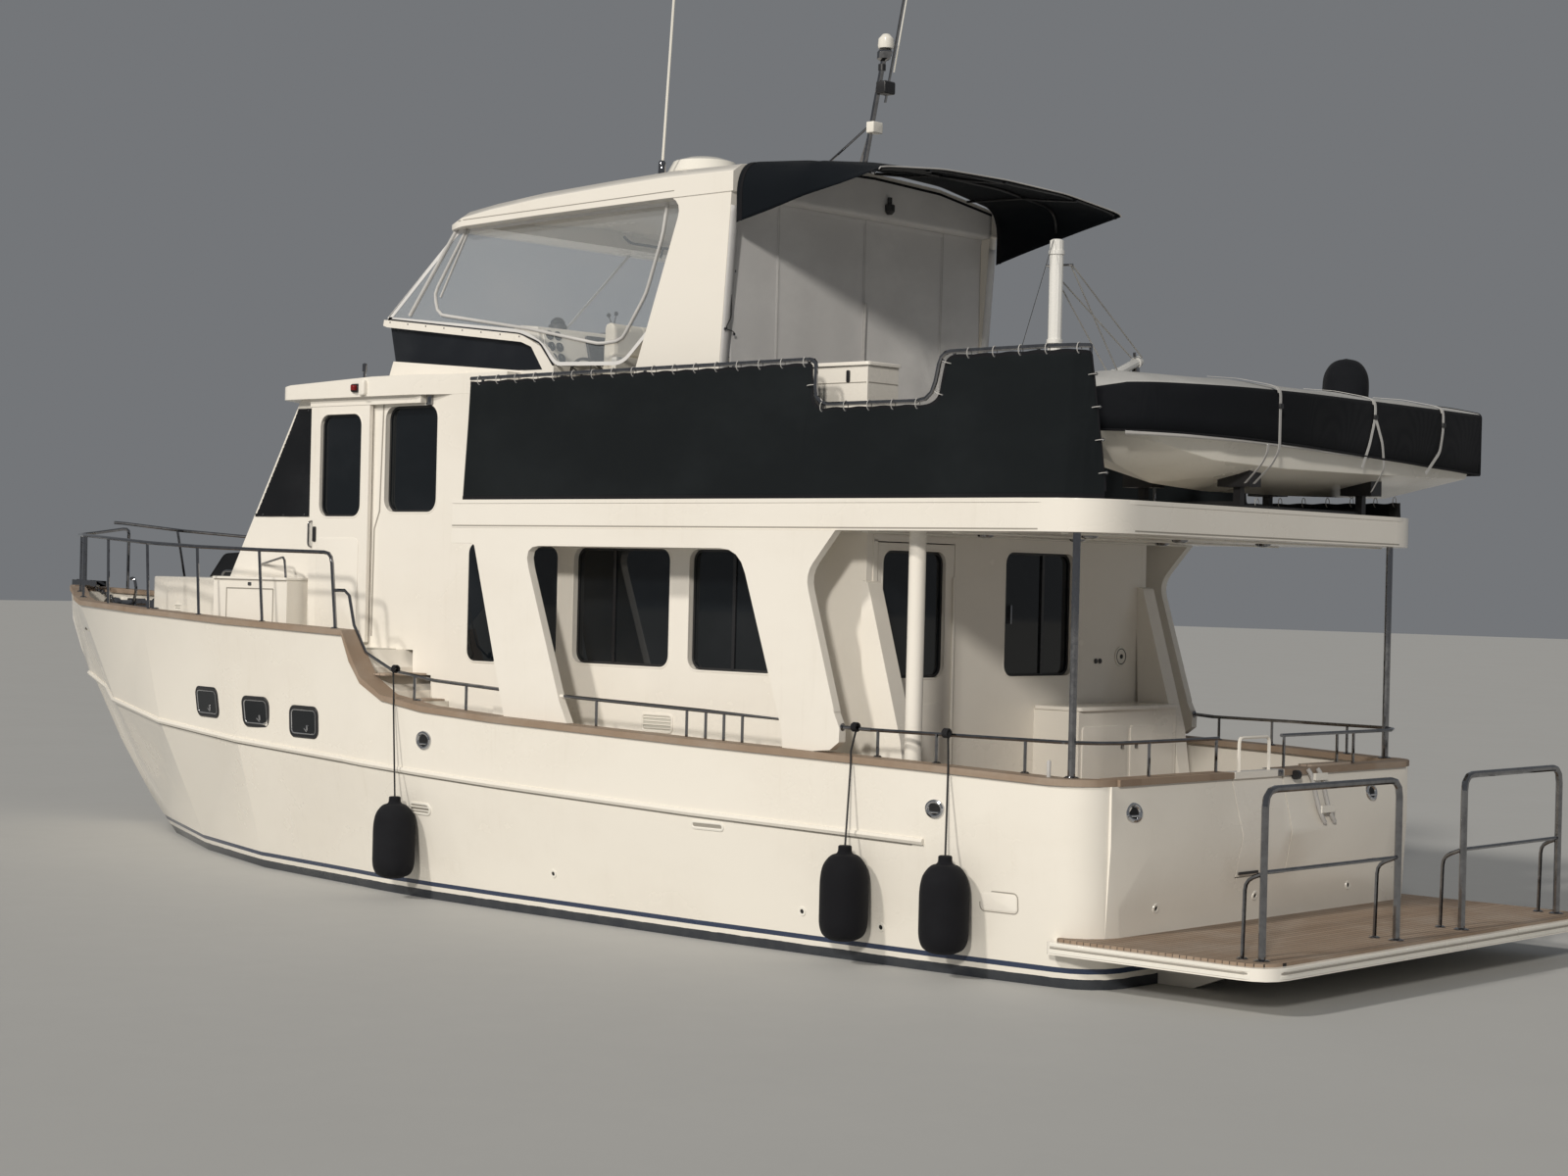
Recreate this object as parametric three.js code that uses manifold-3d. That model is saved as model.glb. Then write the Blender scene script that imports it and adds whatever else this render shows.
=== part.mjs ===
// Raised-pilothouse motor yacht, 14.7 m hull, afloat. Millimetres.
// +X forward, +Y port, +Z up. The origin is on the waterline, on the centreline, 7.3 m forward of the transom.
import * as THREE from 'three';
import { mergeVertices } from 'three/addons/utils/BufferGeometryUtils.js';
import Module from 'manifold-3d';

const wasm = await Module();
wasm.setup();
const { Manifold, Mesh } = wasm;

// Driving dimensions
const gap = 0.3;                 // left between pieces that touch
const transomX = -7300;
const capThickness = 45;
const capOverhang = 22;
const capWidth = 165;
const bulwark = 120;             // wall thickness of the bulwarks
const cockpitSole = 640;
const sideDeck = 950;
const foredeck = 1950;
const stepsAft = -1000;          // the steps from side deck up to foredeck
const stepsFore = -70;
const stepCount = 4;
const bulkheadX = -5030;         // outer face of the saloon's aft bulkhead
const pilothouseX = -1150;       // outer face of the pilothouse's aft wall
const houseHalf = 1720;          // outer half width of the saloon
const pilotHalf = 1650;          // outer half width of the pilothouse
const wall = 55;
const boatDeckUnder = 2950;
const boatDeckTop = 3170;
const boatDeckHalf = 2200;
const roofUnder = 4055;
const rake = 0.62;               // the pilothouse front leans aft this much for each mm of height
const frontFootX = 2800;         // where the raked front meets the foredeck
const gateY = 175;               // transom gate
const gateWidth = 640;
const gateSill = cockpitSole;
const gateHinge = { x: transomX + 75, y: gateY + gateWidth / 2 - 30, z: gateSill + 60, height: 600 };
const skirtFoot = boatDeckTop + gap;
const skirtLean = -0.06;         // the side skirts lean inboard
const hardtopHalf = 1620;

// Colours of the finishes
const finish = {
  gelcoat: { color: 0xefe9dc, roughness: 0.3, metalness: 0 },
  antifoul: { color: 0x2a2f3a, roughness: 0.8, metalness: 0 },
  teak: { color: 0x9a7350, roughness: 0.8, metalness: 0 },
  steel: { color: 0xc8ccd0, roughness: 0.15, metalness: 1 },
  glass: { color: 0x11151c, roughness: 0.05, metalness: 0 },
  clear: { color: 0x9fb4c8, roughness: 0.1, metalness: 0 },
  canvas: { color: 0x15171b, roughness: 0.95, metalness: 0 },
  greyCloth: { color: 0x9b9b9b, roughness: 0.9, metalness: 0 },
  rubber: { color: 0x0d0e10, roughness: 0.7, metalness: 0 },
  bronze: { color: 0x8a6a3a, roughness: 0.4, metalness: 1 },
  vinyl: { color: 0xe6dfd0, roughness: 0.6, metalness: 0 },
  paint: { color: 0x5b636b, roughness: 0.6, metalness: 0.3 },
};

const yacht = new THREE.Group();

// Solids
function solid(geometry) {
  const bare = geometry.clone();
  bare.deleteAttribute('normal');
  bare.deleteAttribute('uv');
  const merged = mergeVertices(bare, 1e-3);
  const index = Array.from(merged.index.array);
  const position = merged.attributes.position.array;
  let volume = 0;
  const corner = [new THREE.Vector3(), new THREE.Vector3(), new THREE.Vector3()];
  const faces = [];
  for (let i = 0; i < index.length; i += 3) {
    const [a, b, c] = index.slice(i, i + 3);
    if (a === b || b === c || c === a) continue;
    faces.push(a, b, c);
    [a, b, c].forEach((vertex, k) => corner[k].fromArray(position, vertex * 3));
    volume += corner[0].dot(corner[1].cross(corner[2]));
  }
  if (volume < 0) {
    for (let i = 0; i < faces.length; i += 3) [faces[i], faces[i + 1]] = [faces[i + 1], faces[i]];
  }
  return new Manifold(new Mesh({
    numProp: 3, vertProperties: new Float32Array(position), triVerts: new Uint32Array(faces),
  }));
}

function place(name, body, look, parent = yacht) {
  const { vertProperties, triVerts } = body.getMesh();
  const geometry = new THREE.BufferGeometry();
  geometry.setAttribute('position', new THREE.BufferAttribute(new Float32Array(vertProperties), 3));
  geometry.setIndex(Array.from(triVerts));
  geometry.computeVertexNormals();
  const mesh = new THREE.Mesh(geometry, new THREE.MeshStandardMaterial(finish[look]));
  mesh.name = name;
  parent.add(mesh);
  return mesh;
}

const join = (first, ...others) => others.reduce((sum, next) => sum.add(next), first);
const cut = (first, ...others) => others.reduce((rest, next) => rest.subtract(next), first);
const moved = (body, x, y, z) => body.translate([x, y, z]);
const mirrored = (body) => body.mirror([0, 1, 0]);

function block(x0, x1, y0, y1, z0, z1) {
  const box = new THREE.BoxGeometry(x1 - x0, y1 - y0, z1 - z0);
  return solid(box.translate((x0 + x1) / 2, (y0 + y1) / 2, (z0 + z1) / 2));
}

// An outline with its corners rounded. Each point is [u, v] or [u, v, radius].
function outline(points, steps = 4) {
  const rounded = [];
  points.forEach(([u, v, radius = 0], i) => {
    if (!radius) {
      rounded.push(new THREE.Vector2(u, v));
      return;
    }
    const here = new THREE.Vector2(u, v);
    const before = points[(i + points.length - 1) % points.length];
    const after = points[(i + 1) % points.length];
    const inward = new THREE.Vector2(before[0] - u, before[1] - v).normalize();
    const onward = new THREE.Vector2(after[0] - u, after[1] - v).normalize();
    const half = Math.acos(THREE.MathUtils.clamp(inward.dot(onward), -1, 1)) / 2;
    const back = Math.min(radius / Math.tan(half), radius * 3);
    const bend = new THREE.QuadraticBezierCurve(
      here.clone().addScaledVector(inward, back), here, here.clone().addScaledVector(onward, back));
    rounded.push(...bend.getPoints(steps));
  });
  return new THREE.Shape(rounded);
}

function extrude(shape, depth) {
  return new THREE.ExtrudeGeometry(shape, { depth, bevelEnabled: false, curveSegments: 6 });
}

// A side profile in X and Z, carried from y0 to y1.
function profileY(points, y0, y1, steps) {
  return solid(extrude(outline(points, steps), y1 - y0).rotateX(Math.PI / 2).translate(0, y1, 0));
}

// A plan in X and Y, carried from z0 to z1.
function planZ(points, z0, z1, steps) {
  return solid(extrude(outline(points, steps), z1 - z0).translate(0, 0, z0));
}

// A section in Y and Z, carried from x0 to x1.
function sectionX(points, x0, x1, steps) {
  const turn = new THREE.Matrix4().makeBasis(
    new THREE.Vector3(0, 1, 0), new THREE.Vector3(0, 0, 1), new THREE.Vector3(1, 0, 0));
  return solid(extrude(outline(points, steps), x1 - x0).applyMatrix4(turn).translate(x0, 0, 0));
}

const rectangle = (u0, u1, v0, v1, radius = 0) => [
  [u0, v0, radius], [u1, v0, radius], [u1, v1, radius], [u0, v1, radius]];

// A skin through rings of points, each ring the same count, closed at both ends. A hollow section, such as
// a crescent, gives the axis that its ends face, so that they are filled inside its outline.
function loft(rings, endAxis) {
  const count = rings[0].length;
  const position = rings.flat(2);
  const index = [];
  for (let ring = 0; ring + 1 < rings.length; ring += 1) {
    for (let i = 0; i < count; i += 1) {
      const a = ring * count + i;
      const b = ring * count + (i + 1) % count;
      index.push(a, b, a + count, b, b + count, a + count);
    }
  }
  [0, rings.length - 1].forEach((ring) => {
    if (endAxis !== undefined) {
      const [u, v] = [0, 1, 2].filter((axis) => axis !== endAxis);
      const contour = rings[ring].map((point) => new THREE.Vector2(point[u], point[v]));
      const turning = Math.sign(THREE.ShapeUtils.area(contour));
      THREE.ShapeUtils.triangulateShape(contour, []).forEach(([a, b, c]) => {
        const along = Math.sign(THREE.ShapeUtils.area([contour[a], contour[b], contour[c]])) === turning;
        const [first, second] = along === (ring === 0) ? [b, a] : [a, b];
        index.push(ring * count + first, ring * count + second, ring * count + c);
      });
      return;
    }
    const centre = position.length / 3;
    for (let axis = 0; axis < 3; axis += 1) {
      position.push(rings[ring].reduce((sum, point) => sum + point[axis], 0) / count);
    }
    for (let i = 0; i < count; i += 1) {
      const a = ring * count + i;
      const b = ring * count + (i + 1) % count;
      if (ring === 0) index.push(b, a, centre);
      else index.push(a, b, centre);
    }
  });
  const geometry = new THREE.BufferGeometry();
  geometry.setAttribute('position', new THREE.Float32BufferAttribute(position, 3));
  geometry.setIndex(index);
  return solid(geometry);
}

// A path through listed corners, sampled at exactly those corners.
class CornerPath extends THREE.Curve {
  constructor(corners) {
    super();
    this.corners = corners.map((corner) => new THREE.Vector3(...corner));
  }

  getPoint(t, target = new THREE.Vector3()) {
    const at = t * (this.corners.length - 1);
    const i = Math.min(Math.floor(at), this.corners.length - 2);
    return target.lerpVectors(this.corners[i], this.corners[i + 1], at - i);
  }

  getPointAt(t, target) {
    return this.getPoint(t, target);
  }

  getTangent(t, target = new THREE.Vector3()) {
    const i = Math.round(t * (this.corners.length - 1));
    const before = this.corners[Math.max(i - 1, 0)];
    const after = this.corners[Math.min(i + 1, this.corners.length - 1)];
    return target.subVectors(after, before).normalize();
  }

  getTangentAt(t, target) {
    return this.getTangent(t, target);
  }
}

// A round tube through the corners. A corner may carry a bend radius as its fourth number.
function tube(points, radius, sides = 8) {
  const corners = [];
  points.forEach((point, i) => {
    const [x, y, z, bend = 0] = point;
    if (!bend) {
      corners.push([x, y, z]);
      return;
    }
    const here = new THREE.Vector3(x, y, z);
    const towards = (other) => new THREE.Vector3(...other.slice(0, 3)).sub(here).setLength(bend);
    const curve = new THREE.QuadraticBezierCurve3(
      here.clone().add(towards(points[i - 1])), here, here.clone().add(towards(points[i + 1])));
    corners.push(...curve.getPoints(3).map((p) => p.toArray()));
  });
  const ring = new THREE.Shape();
  for (let i = 0; i < sides; i += 1) {
    const angle = (i + 0.5) / sides * 2 * Math.PI;
    const [u, v] = [radius * Math.cos(angle), radius * Math.sin(angle)];
    if (i) ring.lineTo(u, v);
    else ring.moveTo(u, v);
  }
  return solid(new THREE.ExtrudeGeometry(ring, {
    steps: corners.length - 1, bevelEnabled: false, extrudePath: new CornerPath(corners),
  }));
}

// A turned piece. The profile is [radius, height] from the axis to the axis, about +Z at x, y.
function turned(profile, x, y, z, sides = 16) {
  const lathe = new THREE.LatheGeometry(profile.map(([r, h]) => new THREE.Vector2(r, h)), sides);
  return solid(lathe.rotateX(Math.PI / 2).translate(x, y, z));
}

// Value of a table's column at x, in straight lines between rows.
function along(rows, x, column) {
  if (x <= rows[0].x) return rows[0][column];
  for (let i = 1; i < rows.length; i += 1) {
    if (x <= rows[i].x) {
      const t = (x - rows[i - 1].x) / (rows[i].x - rows[i - 1].x);
      return rows[i - 1][column] + t * (rows[i][column] - rows[i - 1][column]);
    }
  }
  return rows[rows.length - 1][column];
}

// Hull stations: height of the bottom on the centreline, then half breadth and height of the bilge,
// the waterline, the knuckle and the sheer. The sheer is the top of the cap rail.
const sections = [
  [-6980, -330, 1812, -225, 2065, 95, 2130, 857, 2140, 1361],
  [-6000, -420, 1850, -330, 2120, 80, 2205, 875, 2215, 1395],
  [-3900, -700, 1850, -480, 2160, 50, 2275, 920, 2290, 1445],
  [-1800, -850, 1800, -560, 2140, 20, 2285, 980, 2300, 1500],
  [-950, -880, 1750, -590, 2110, 0, 2270, 1010, 2290, 1540],
  [-450, -880, 1700, -600, 2070, 0, 2255, 1030, 2280, 1605],
  [-180, -880, 1665, -600, 2040, 5, 2240, 1040, 2275, 1730],
  [-30, -875, 1640, -600, 2020, 10, 2230, 1048, 2270, 1900],
  [80, -870, 1610, -595, 2000, 15, 2220, 1055, 2265, 2110],
  [1700, -840, 1350, -550, 1780, 50, 2090, 1120, 2220, 2155],
  [3200, -740, 900, -430, 1310, 110, 1830, 1200, 2060, 2210],
  [4700, -450, 350, -180, 640, 220, 1300, 1310, 1690, 2255],
  [5600, 60, 100, 160, 280, 460, 770, 1385, 1165, 2288],
  [6300, 650, 70, 740, 150, 950, 420, 1435, 710, 2318],
  [6800, 1270, 60, 1320, 90, 1390, 180, 1475, 400, 2345],
  [7150, 1660, 50, 1700, 60, 1760, 85, 1830, 190, 2365],
  [7340, 1990, 40, 2020, 44, 2050, 48, 2080, 60, 2378],
].map(([x, keelZ, bilgeY, bilgeZ, waterY, waterZ, knuckleY, knuckleZ, sheerY, sheerZ]) => (
  { x, keelZ, bilgeY, bilgeZ, waterY, waterZ, knuckleY, knuckleZ, sheerY, sheerZ }));

// The transom's corners are rounded in plan: each section stands this far ahead of the transom, and this far inboard.
const cornerSections = [[0, 300], [30, 185], [100, 88], [200, 23]].map(([ahead, inboard]) => {
  const turn = { ...sections[0], x: transomX + ahead };
  ['bilgeY', 'waterY', 'knuckleY', 'sheerY'].forEach((column) => { turn[column] -= inboard; });
  return turn;
});
const stations = [...cornerSections, ...sections];

// The cap rail keeps its thickness where the sheer steps up, so its top runs a little above the sheer there.
stations.forEach((s, i) => {
  const next = stations[Math.min(i + 1, stations.length - 1)];
  const last = stations[Math.max(i - 1, 0)];
  s.capTop = s.sheerZ - capThickness + capThickness * Math.hypot(1, (next.sheerZ - last.sheerZ) / (next.x - last.x));
});

const transomTop = stations[0].sheerZ;
const sheerHalf = (x) => along(stations, x, 'sheerY');
const sheerTop = (x) => along(stations, x, 'sheerZ');

function hullRing(s) {
  const top = s.sheerZ - capThickness - gap;
  const side = [
    [s.bilgeY * 0.5, s.keelZ * 0.55 + s.bilgeZ * 0.45],
    [s.bilgeY, s.bilgeZ],
    [(s.bilgeY * 0.3 + s.waterY * 0.7), (s.bilgeZ * 0.55 + s.waterZ * 0.45)],
    [s.waterY, s.waterZ],
    [s.knuckleY, s.knuckleZ],
    [s.sheerY, top],
  ];
  return [
    [s.x, 0, s.keelZ],
    ...side.map(([y, z]) => [s.x, y, z]),
    ...side.reverse().map(([y, z]) => [s.x, -y, z]),
  ];
}

// The deck plan inside the bulwarks, from x0 to x1, cut down to z0.
function deckCut(x0, x1, z0) {
  const xs = [x0, ...stations.map((s) => s.x).filter((x) => x > x0 + 20 && x < x1 - 20), x1];
  const port = xs.map((x) => [x, Math.max(sheerHalf(x) - bulwark, 60)]);
  const starboard = xs.slice().reverse().map((x) => [x, -Math.max(sheerHalf(x) - bulwark, 60)]);
  return planZ([...port, ...starboard], z0, 3000);
}

// The steps between side deck and foredeck as [x, z] corners from aft to fore.
const stepRun = (stepsFore - stepsAft) / stepCount;
const stepRise = (foredeck - sideDeck) / (stepCount + 1);
const stairs = [];
for (let i = 0; i <= stepCount; i += 1) {
  const z = sideDeck + stepRise * (i + 1);
  stairs.push([stepsAft + stepRun * i, z - stepRise], [stepsAft + stepRun * i, z]);
}

// Under water
const keelFoot = -1300;
const keelHalf = 90;
const shoeTop = keelFoot + 80;
const propX = -5180;             // the stern tube's aft end, where the hub starts
const propZ = -870;
const propRadius = 300;
const rudderX = -6050;           // the rudder's stock
const stockRadius = 24;
const enginePit = { x0: -3600, x1: -1900, half: 700, z: -420 };

const keelFin = profileY([
  [4300, -400], [3300, keelFoot + 250, 300], [2300, keelFoot], [rudderX - 260, keelFoot],
  [rudderX - 260, shoeTop], [-4980, shoeTop, 60], [-4880, -500], [-4000, -500], [3300, -460],
], -keelHalf, keelHalf, 3);
const sternTube = tube([[-4700, 0, propZ], [propX, 0, propZ]], 70, 10);
const stockBore = turned([[0, 0], [stockRadius + 3, 0], [stockRadius + 3, 300], [0, 300]], rudderX, 0, -550, 12);
const turnedAtGate = (radius, z0, z1, sides) => turned(
  [[0, 0], [radius, 0], [radius, z1 - z0], [0, z1 - z0]], gateHinge.x, gateHinge.y, z0, sides);
const gateLug = join(
  turnedAtGate(13, gateHinge.z - 50, gateHinge.z - gap, 10),
  block(gateHinge.x - 13, gateHinge.x + 13, gateHinge.y, gateHinge.y + 60, gateHinge.z - 50, gateHinge.z - gap));

// The gate's free edge and the slot's are arcs about the hinge, so that the gate swings inboard.
const gateReach = 610;
const gateSlot = turnedAtGate(gateReach + 12, gateSill, 2500, 90).intersect(
  block(transomX - 300, transomX + capWidth, -1000, gateY + gateWidth / 2, gateSill, 2500));

// The transom is folded outwards along a crease. Each row is a place across it and how far the crease stands out.
const creaseZ = 930;
const transomFold = loft([[-1900, 2], [-1500, 78], [-800, 98], [0, 105], [800, 98], [1500, 78], [1900, 2]].map(([y, out]) => [
  [transomX + 30, y, 330], [transomX - out, y, creaseZ], [transomX + 1, y, transomTop - capThickness - gap],
  [transomX + 30, y, transomTop - capThickness - gap]]));

let hull = join(loft(stations.map(hullRing)), transomFold);
hull = cut(hull,
  deckCut(transomX + 120, bulkheadX - 30, cockpitSole),
  deckCut(bulkheadX - 31, stepsAft, sideDeck),
  deckCut(stepsFore, 6950, foredeck),
  ...stairs.filter((_, i) => i % 2 === 1).slice(0, -1).map(([x, z]) => deckCut(x - 1, x + stepRun, z)),
  block(enginePit.x0, enginePit.x1, -enginePit.half, enginePit.half, enginePit.z, 2000),
  gateSlot, stockBore);
hull = join(hull, keelFin, sternTube, gateLug);

// The rub strake along the knuckle, moulded with the hull.
const strakePath = stations.filter((s) => s.x >= -6000 && s.x <= 6800)
  .map((s) => [s.x, s.knuckleY + 4, s.knuckleZ]);
const strake = tube(strakePath, 24, 6);
hull = join(hull, strake, mirrored(strake));
place('hull', hull, 'gelcoat');

// Cap rail, teak, around the bulwarks. A section for each station.
function capRing(s) {
  const outer = s.sheerY + capOverhang;
  const inner = Math.max(s.sheerY - capWidth, -20);
  const under = s.sheerZ - capThickness;
  return [[s.x, inner, under], [s.x, outer, under], [s.x, outer, s.capTop], [s.x, inner, s.capTop]];
}
const capSide = loft(stations.map(capRing));
const capTransom = block(transomX - capOverhang, transomX + capWidth - 20, -1840, 1840, transomTop - capThickness, transomTop);
const stem = stations[stations.length - 1];
const capNose = planZ([
  [stem.x - 200, -160], [stem.x + 10, -50, 20], [stem.x + 10, 50, 20], [stem.x - 200, 160],
], stem.sheerZ - capThickness, stem.sheerZ);
place('cap_rail', join(capSide, mirrored(capSide), capTransom, capNose).subtract(gateSlot), 'teak');

// Transom gate: wall panel, its piece of the cap rail and its short handrail, hinged on the port edge
const gateClear = 8;
const gateThickness = 60;
const gateRoom = turnedAtGate(gateReach, gateSill + gateClear, 2500, 90).intersect(
  block(transomX - 300, transomX + 124, -1000, gateY + gateWidth / 2 - gateClear, gateSill + gateClear, 2500));
const gateWall = block(transomX, transomX + gateThickness, -1000, 1000, gateSill, transomTop - capThickness);
const gateFold = transomFold.subtract(block(transomX + 1, transomX + 50, -3000, 3000, 0, 2000));
const gateCap = block(transomX - capOverhang, transomX + gateThickness + 8, -1000, 1000, transomTop - capThickness - 1, transomTop);
const gatePin = turnedAtGate(14, gateHinge.z, gateHinge.z + gateHinge.height, 10);
const gateKnuckle = block(transomX + gateThickness - 10, gateHinge.x, gateHinge.y - 12, gateHinge.y + 12,
  gateHinge.z + 60, gateHinge.z + gateHinge.height - 60);
const gateRailX = transomX + 30;
const transomRailZ = 1590;
const gateRail = tube([
  [gateRailX, gateY - 190, transomTop - 10], [gateRailX, gateY - 190, transomRailZ, 40],
  [gateRailX, gateY + 190, transomRailZ, 40], [gateRailX, gateY + 190, transomTop - 10]], 13, 6);
place('transom_gate', join(join(gateWall, gateFold, gateCap).intersect(gateRoom), gateKnuckle, gatePin, gateRail), 'gelcoat');

// Engine on its bed, under the saloon sole
place('engine', block(enginePit.x0 + 100, enginePit.x1 - 150, -420, 420, enginePit.z + gap, enginePit.z + 1000), 'paint');
place('saloon_sole', block(bulkheadX + wall + 5, pilothouseX - 5, -houseHalf + wall + 5, houseHalf - wall - 5,
  sideDeck + gap, sideDeck + 30), 'teak');

// Propeller: hub, four blades and its shaft
const bladeCount = 4;
let propeller = turned([[0, 0], [40, 20], [58, 80], [58, 200], [34, 240], [34, 250], [0, 250]], 0, 0, 0, 12);
for (let i = 0; i < bladeCount; i += 1) {
  const blade = new THREE.SphereGeometry(1, 10, 6).scale(propRadius / 2 - 18, 150, 12)
    .rotateX(0.5).translate(propRadius / 2 + 15, 0, 130).rotateZ(i * 2 * Math.PI / bladeCount);
  propeller = join(propeller, solid(blade));
}
propeller = propeller.rotate([0, 90, 0]);
place('propeller', moved(propeller, propX - 250 - gap, 0, propZ), 'bronze');

// Rudder with its stock, stepped in the keel's shoe
const rudderTop = -500;
const rudderBlade = profileY([
  [rudderX + 150, shoeTop + 35], [rudderX - 420, shoeTop + 35, 60], [rudderX - 470, rudderTop, 60],
  [rudderX + 120, rudderTop],
], -32, 32, 2);
const stockTop = -290;
const rudderStock = turned([[0, 0], [stockRadius, 0], [stockRadius, stockTop - shoeTop - gap], [0, stockTop - shoeTop - gap]],
  rudderX, 0, shoeTop + gap, 12);
place('rudder', join(rudderBlade, rudderStock), 'antifoul');

// Swim platform with teak top and two staple rails
const platformAft = -8680;
const platformHalf = 2190;
const platformTop = 335;
const platformFore = -7000;
const platformPlan = (inset) => [
  [platformFore - inset, -platformHalf + inset, 60], [platformFore - inset, platformHalf - inset, 60],
  [platformAft + inset, platformHalf - inset, 230], [platformAft + inset, -platformHalf + inset, 230]];
const bracket = (y) => profileY([
  [transomX - gap, 250], [transomX - gap, -60], [transomX - 120, -60], [transomX - 900, 240], [transomX - 900, 250],
], y - 30, y + 30);
const clearOfHull = (body) => cut(body, moved(hull, -gap, 0, 0), moved(hull, 0, gap, 0), moved(hull, 0, -gap, 0));
place('swim_platform', join(clearOfHull(planZ(platformPlan(0), 235, platformTop - 20)), bracket(-1300), bracket(0), bracket(1300)),
  'gelcoat');
place('platform_teak', clearOfHull(planZ(platformPlan(45), platformTop - 20 + gap, platformTop)), 'teak');

function stapleRail(outer, inner) {
  const foot = platformTop + gap;
  const top = 1385;
  const main = tube([[-8500, outer, foot], [-8500, outer, top, 110], [-8520, inner, top, 110], [-8520, inner, foot]], 24);
  const mid = tube([[-8500, outer, 880], [-8520, inner, 880]], 14, 6);
  const brace = (y) => tube([
    [-8360, y, foot], [-8370, y, 820, 60], [-8515, y, 880]], 14, 6);
  return join(main, mid, brace(outer), brace(inner));
}
place('swim_rail_port', stapleRail(1985, 390), 'steel');
place('swim_rail_starboard', stapleRail(-1930, -490), 'steel');

// Saloon: side walls with three windows each, wings and aft bulkhead
const houseFoot = sideDeck + gap;
const houseTop = boatDeckUnder - gap;
const wallSide = profileY([
  [pilothouseX - gap, houseFoot], [pilothouseX - gap, houseTop], [bulkheadX - 2, houseTop],
  [bulkheadX - 2, 2500], [bulkheadX - 31, 1500], [bulkheadX - 31, houseFoot],
], houseHalf - wall, houseHalf, 3);
const wing = profileY([
  [bulkheadX + 5, 2400], [bulkheadX + 5, 2610], [bulkheadX - 50, 2600, 25], [bulkheadX - 380, 1500],
  [bulkheadX - 510, cockpitSole + gap], [bulkheadX - 31, cockpitSole + gap], [bulkheadX - 31, 1600],
], houseHalf - 110, houseHalf + 40, 3);
// Windows from aft to fore: aft edge, fore edge, sill, head
const saloonWindows = [
  [-4190, -3300, 1915, 2815],
  [-3100, -2050, 1920, 2815],
  [-1870, -1420, 1935, 2820],
];
const windowHole = ([x0, x1, z0, z1]) => profileY(rectangle(x0, x1, z0, z1, 90), houseHalf - 200, houseHalf + 200, 3);
const houseWall = join(cut(wallSide, ...saloonWindows.map(windowHole)), wing);
const doorway = { y0: 720, y1: 1600, top: 2890 };
const doorClear = 8;
const doorHinge = { x: bulkheadX - 12, y: doorway.y0 + 20, z: 1150, height: 1500 };
const doorLug = join(
  block(doorHinge.x - 10, bulkheadX + 5, doorway.y0 - 30, doorway.y0 - 2, doorHinge.z - 45, doorHinge.z - gap),
  block(doorHinge.x - 10, doorHinge.x + 8, doorway.y0 - 30, doorHinge.y + 6, doorHinge.z - 45, doorHinge.z - gap));
const cabinet = block(bulkheadX - 420, bulkheadX + 5, -1570, -280, cockpitSole + gap, 1670).subtract(
  block(bulkheadX - 31, bulkheadX + 10, -1600, -250, 0, houseFoot));
const bulkhead = cut(
  block(bulkheadX, bulkheadX + wall, -houseHalf + 10, houseHalf - 10, houseFoot, houseTop),
  block(bulkheadX - 50, bulkheadX + 150, doorway.y0, doorway.y1, 0, doorway.top),
  sectionX(rectangle(-760, 110, 1915, 2850, 90), bulkheadX - 50, bulkheadX + 150, 3));
place('saloon_house', join(houseWall, mirrored(houseWall), bulkhead, doorLug, cabinet), 'gelcoat');

const paneThickness = 10;
const saloonPane = block(-4300, -1350, houseHalf - wall - gap - paneThickness, houseHalf - wall - gap, 1850, 2880);
place('saloon_glass_port', saloonPane, 'glass');
place('saloon_glass_starboard', mirrored(saloonPane), 'glass');
place('bulkhead_window', block(bulkheadX + wall + gap, bulkheadX + wall + gap + paneThickness, -820, 170, 1850, 2900), 'glass');

// Saloon door, hinged on its inboard edge, with a tall window
const doorLeaf = cut(
  block(bulkheadX, bulkheadX + 40, doorway.y0 + doorClear, doorway.y1 - doorClear, sideDeck + 12, doorway.top - doorClear),
  sectionX(rectangle(doorway.y0 + 105, doorway.y1 - 62, 1915, 2830, 90), bulkheadX - 50, bulkheadX + 100, 3));
const doorPin = join(
  turned([[0, 0], [11, 0], [11, doorHinge.height], [0, doorHinge.height]], doorHinge.x, doorHinge.y, doorHinge.z, 8),
  block(doorHinge.x, bulkheadX + 5, doorHinge.y - 4, doorHinge.y + 4, doorHinge.z + 50, doorHinge.z + doorHinge.height - 50));
place('saloon_door', join(doorLeaf, doorPin), 'gelcoat');
place('saloon_door_glass', block(bulkheadX + 40 + gap, bulkheadX + 48, doorway.y0 + 60, doorway.y1 - 25, 1870, 2865), 'glass');

// Side panels in the plane of the hull, from cap rail to boat deck, with their large openings and the low
// rail that runs between the two pillars
const panelY0 = 2130;
const panelY1 = 2200;
const panelFoot = (x) => sheerTop(x) + gap;
const panelTop = boatDeckUnder - gap;
const lowRailHeight = 200;
const panelOutline = [
  [pilothouseX, panelTop], [pilothouseX, 2830], [-1420, 2830, 40], [-1810, panelFoot(-1800)],
  [-5380, panelFoot(-5380), 200], [-5180, 1700], [-4880, 2640, 200], [-5150, panelTop],
];
const panelHole = profileY([
  [-1990, 2815, 120], [-2430, 1640, 100], [-2620, 1300], [-4720, 1300], [-4690, 1560], [-4250, 2815, 260],
], panelY0 - 50, panelY1 + 50);
const railY = (panelY0 + panelY1) / 2;
const midRailXs = [-2400, -3600, -4710];
const midPostXs = [-2800, -3740, -3930, -4110, -4290];
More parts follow.
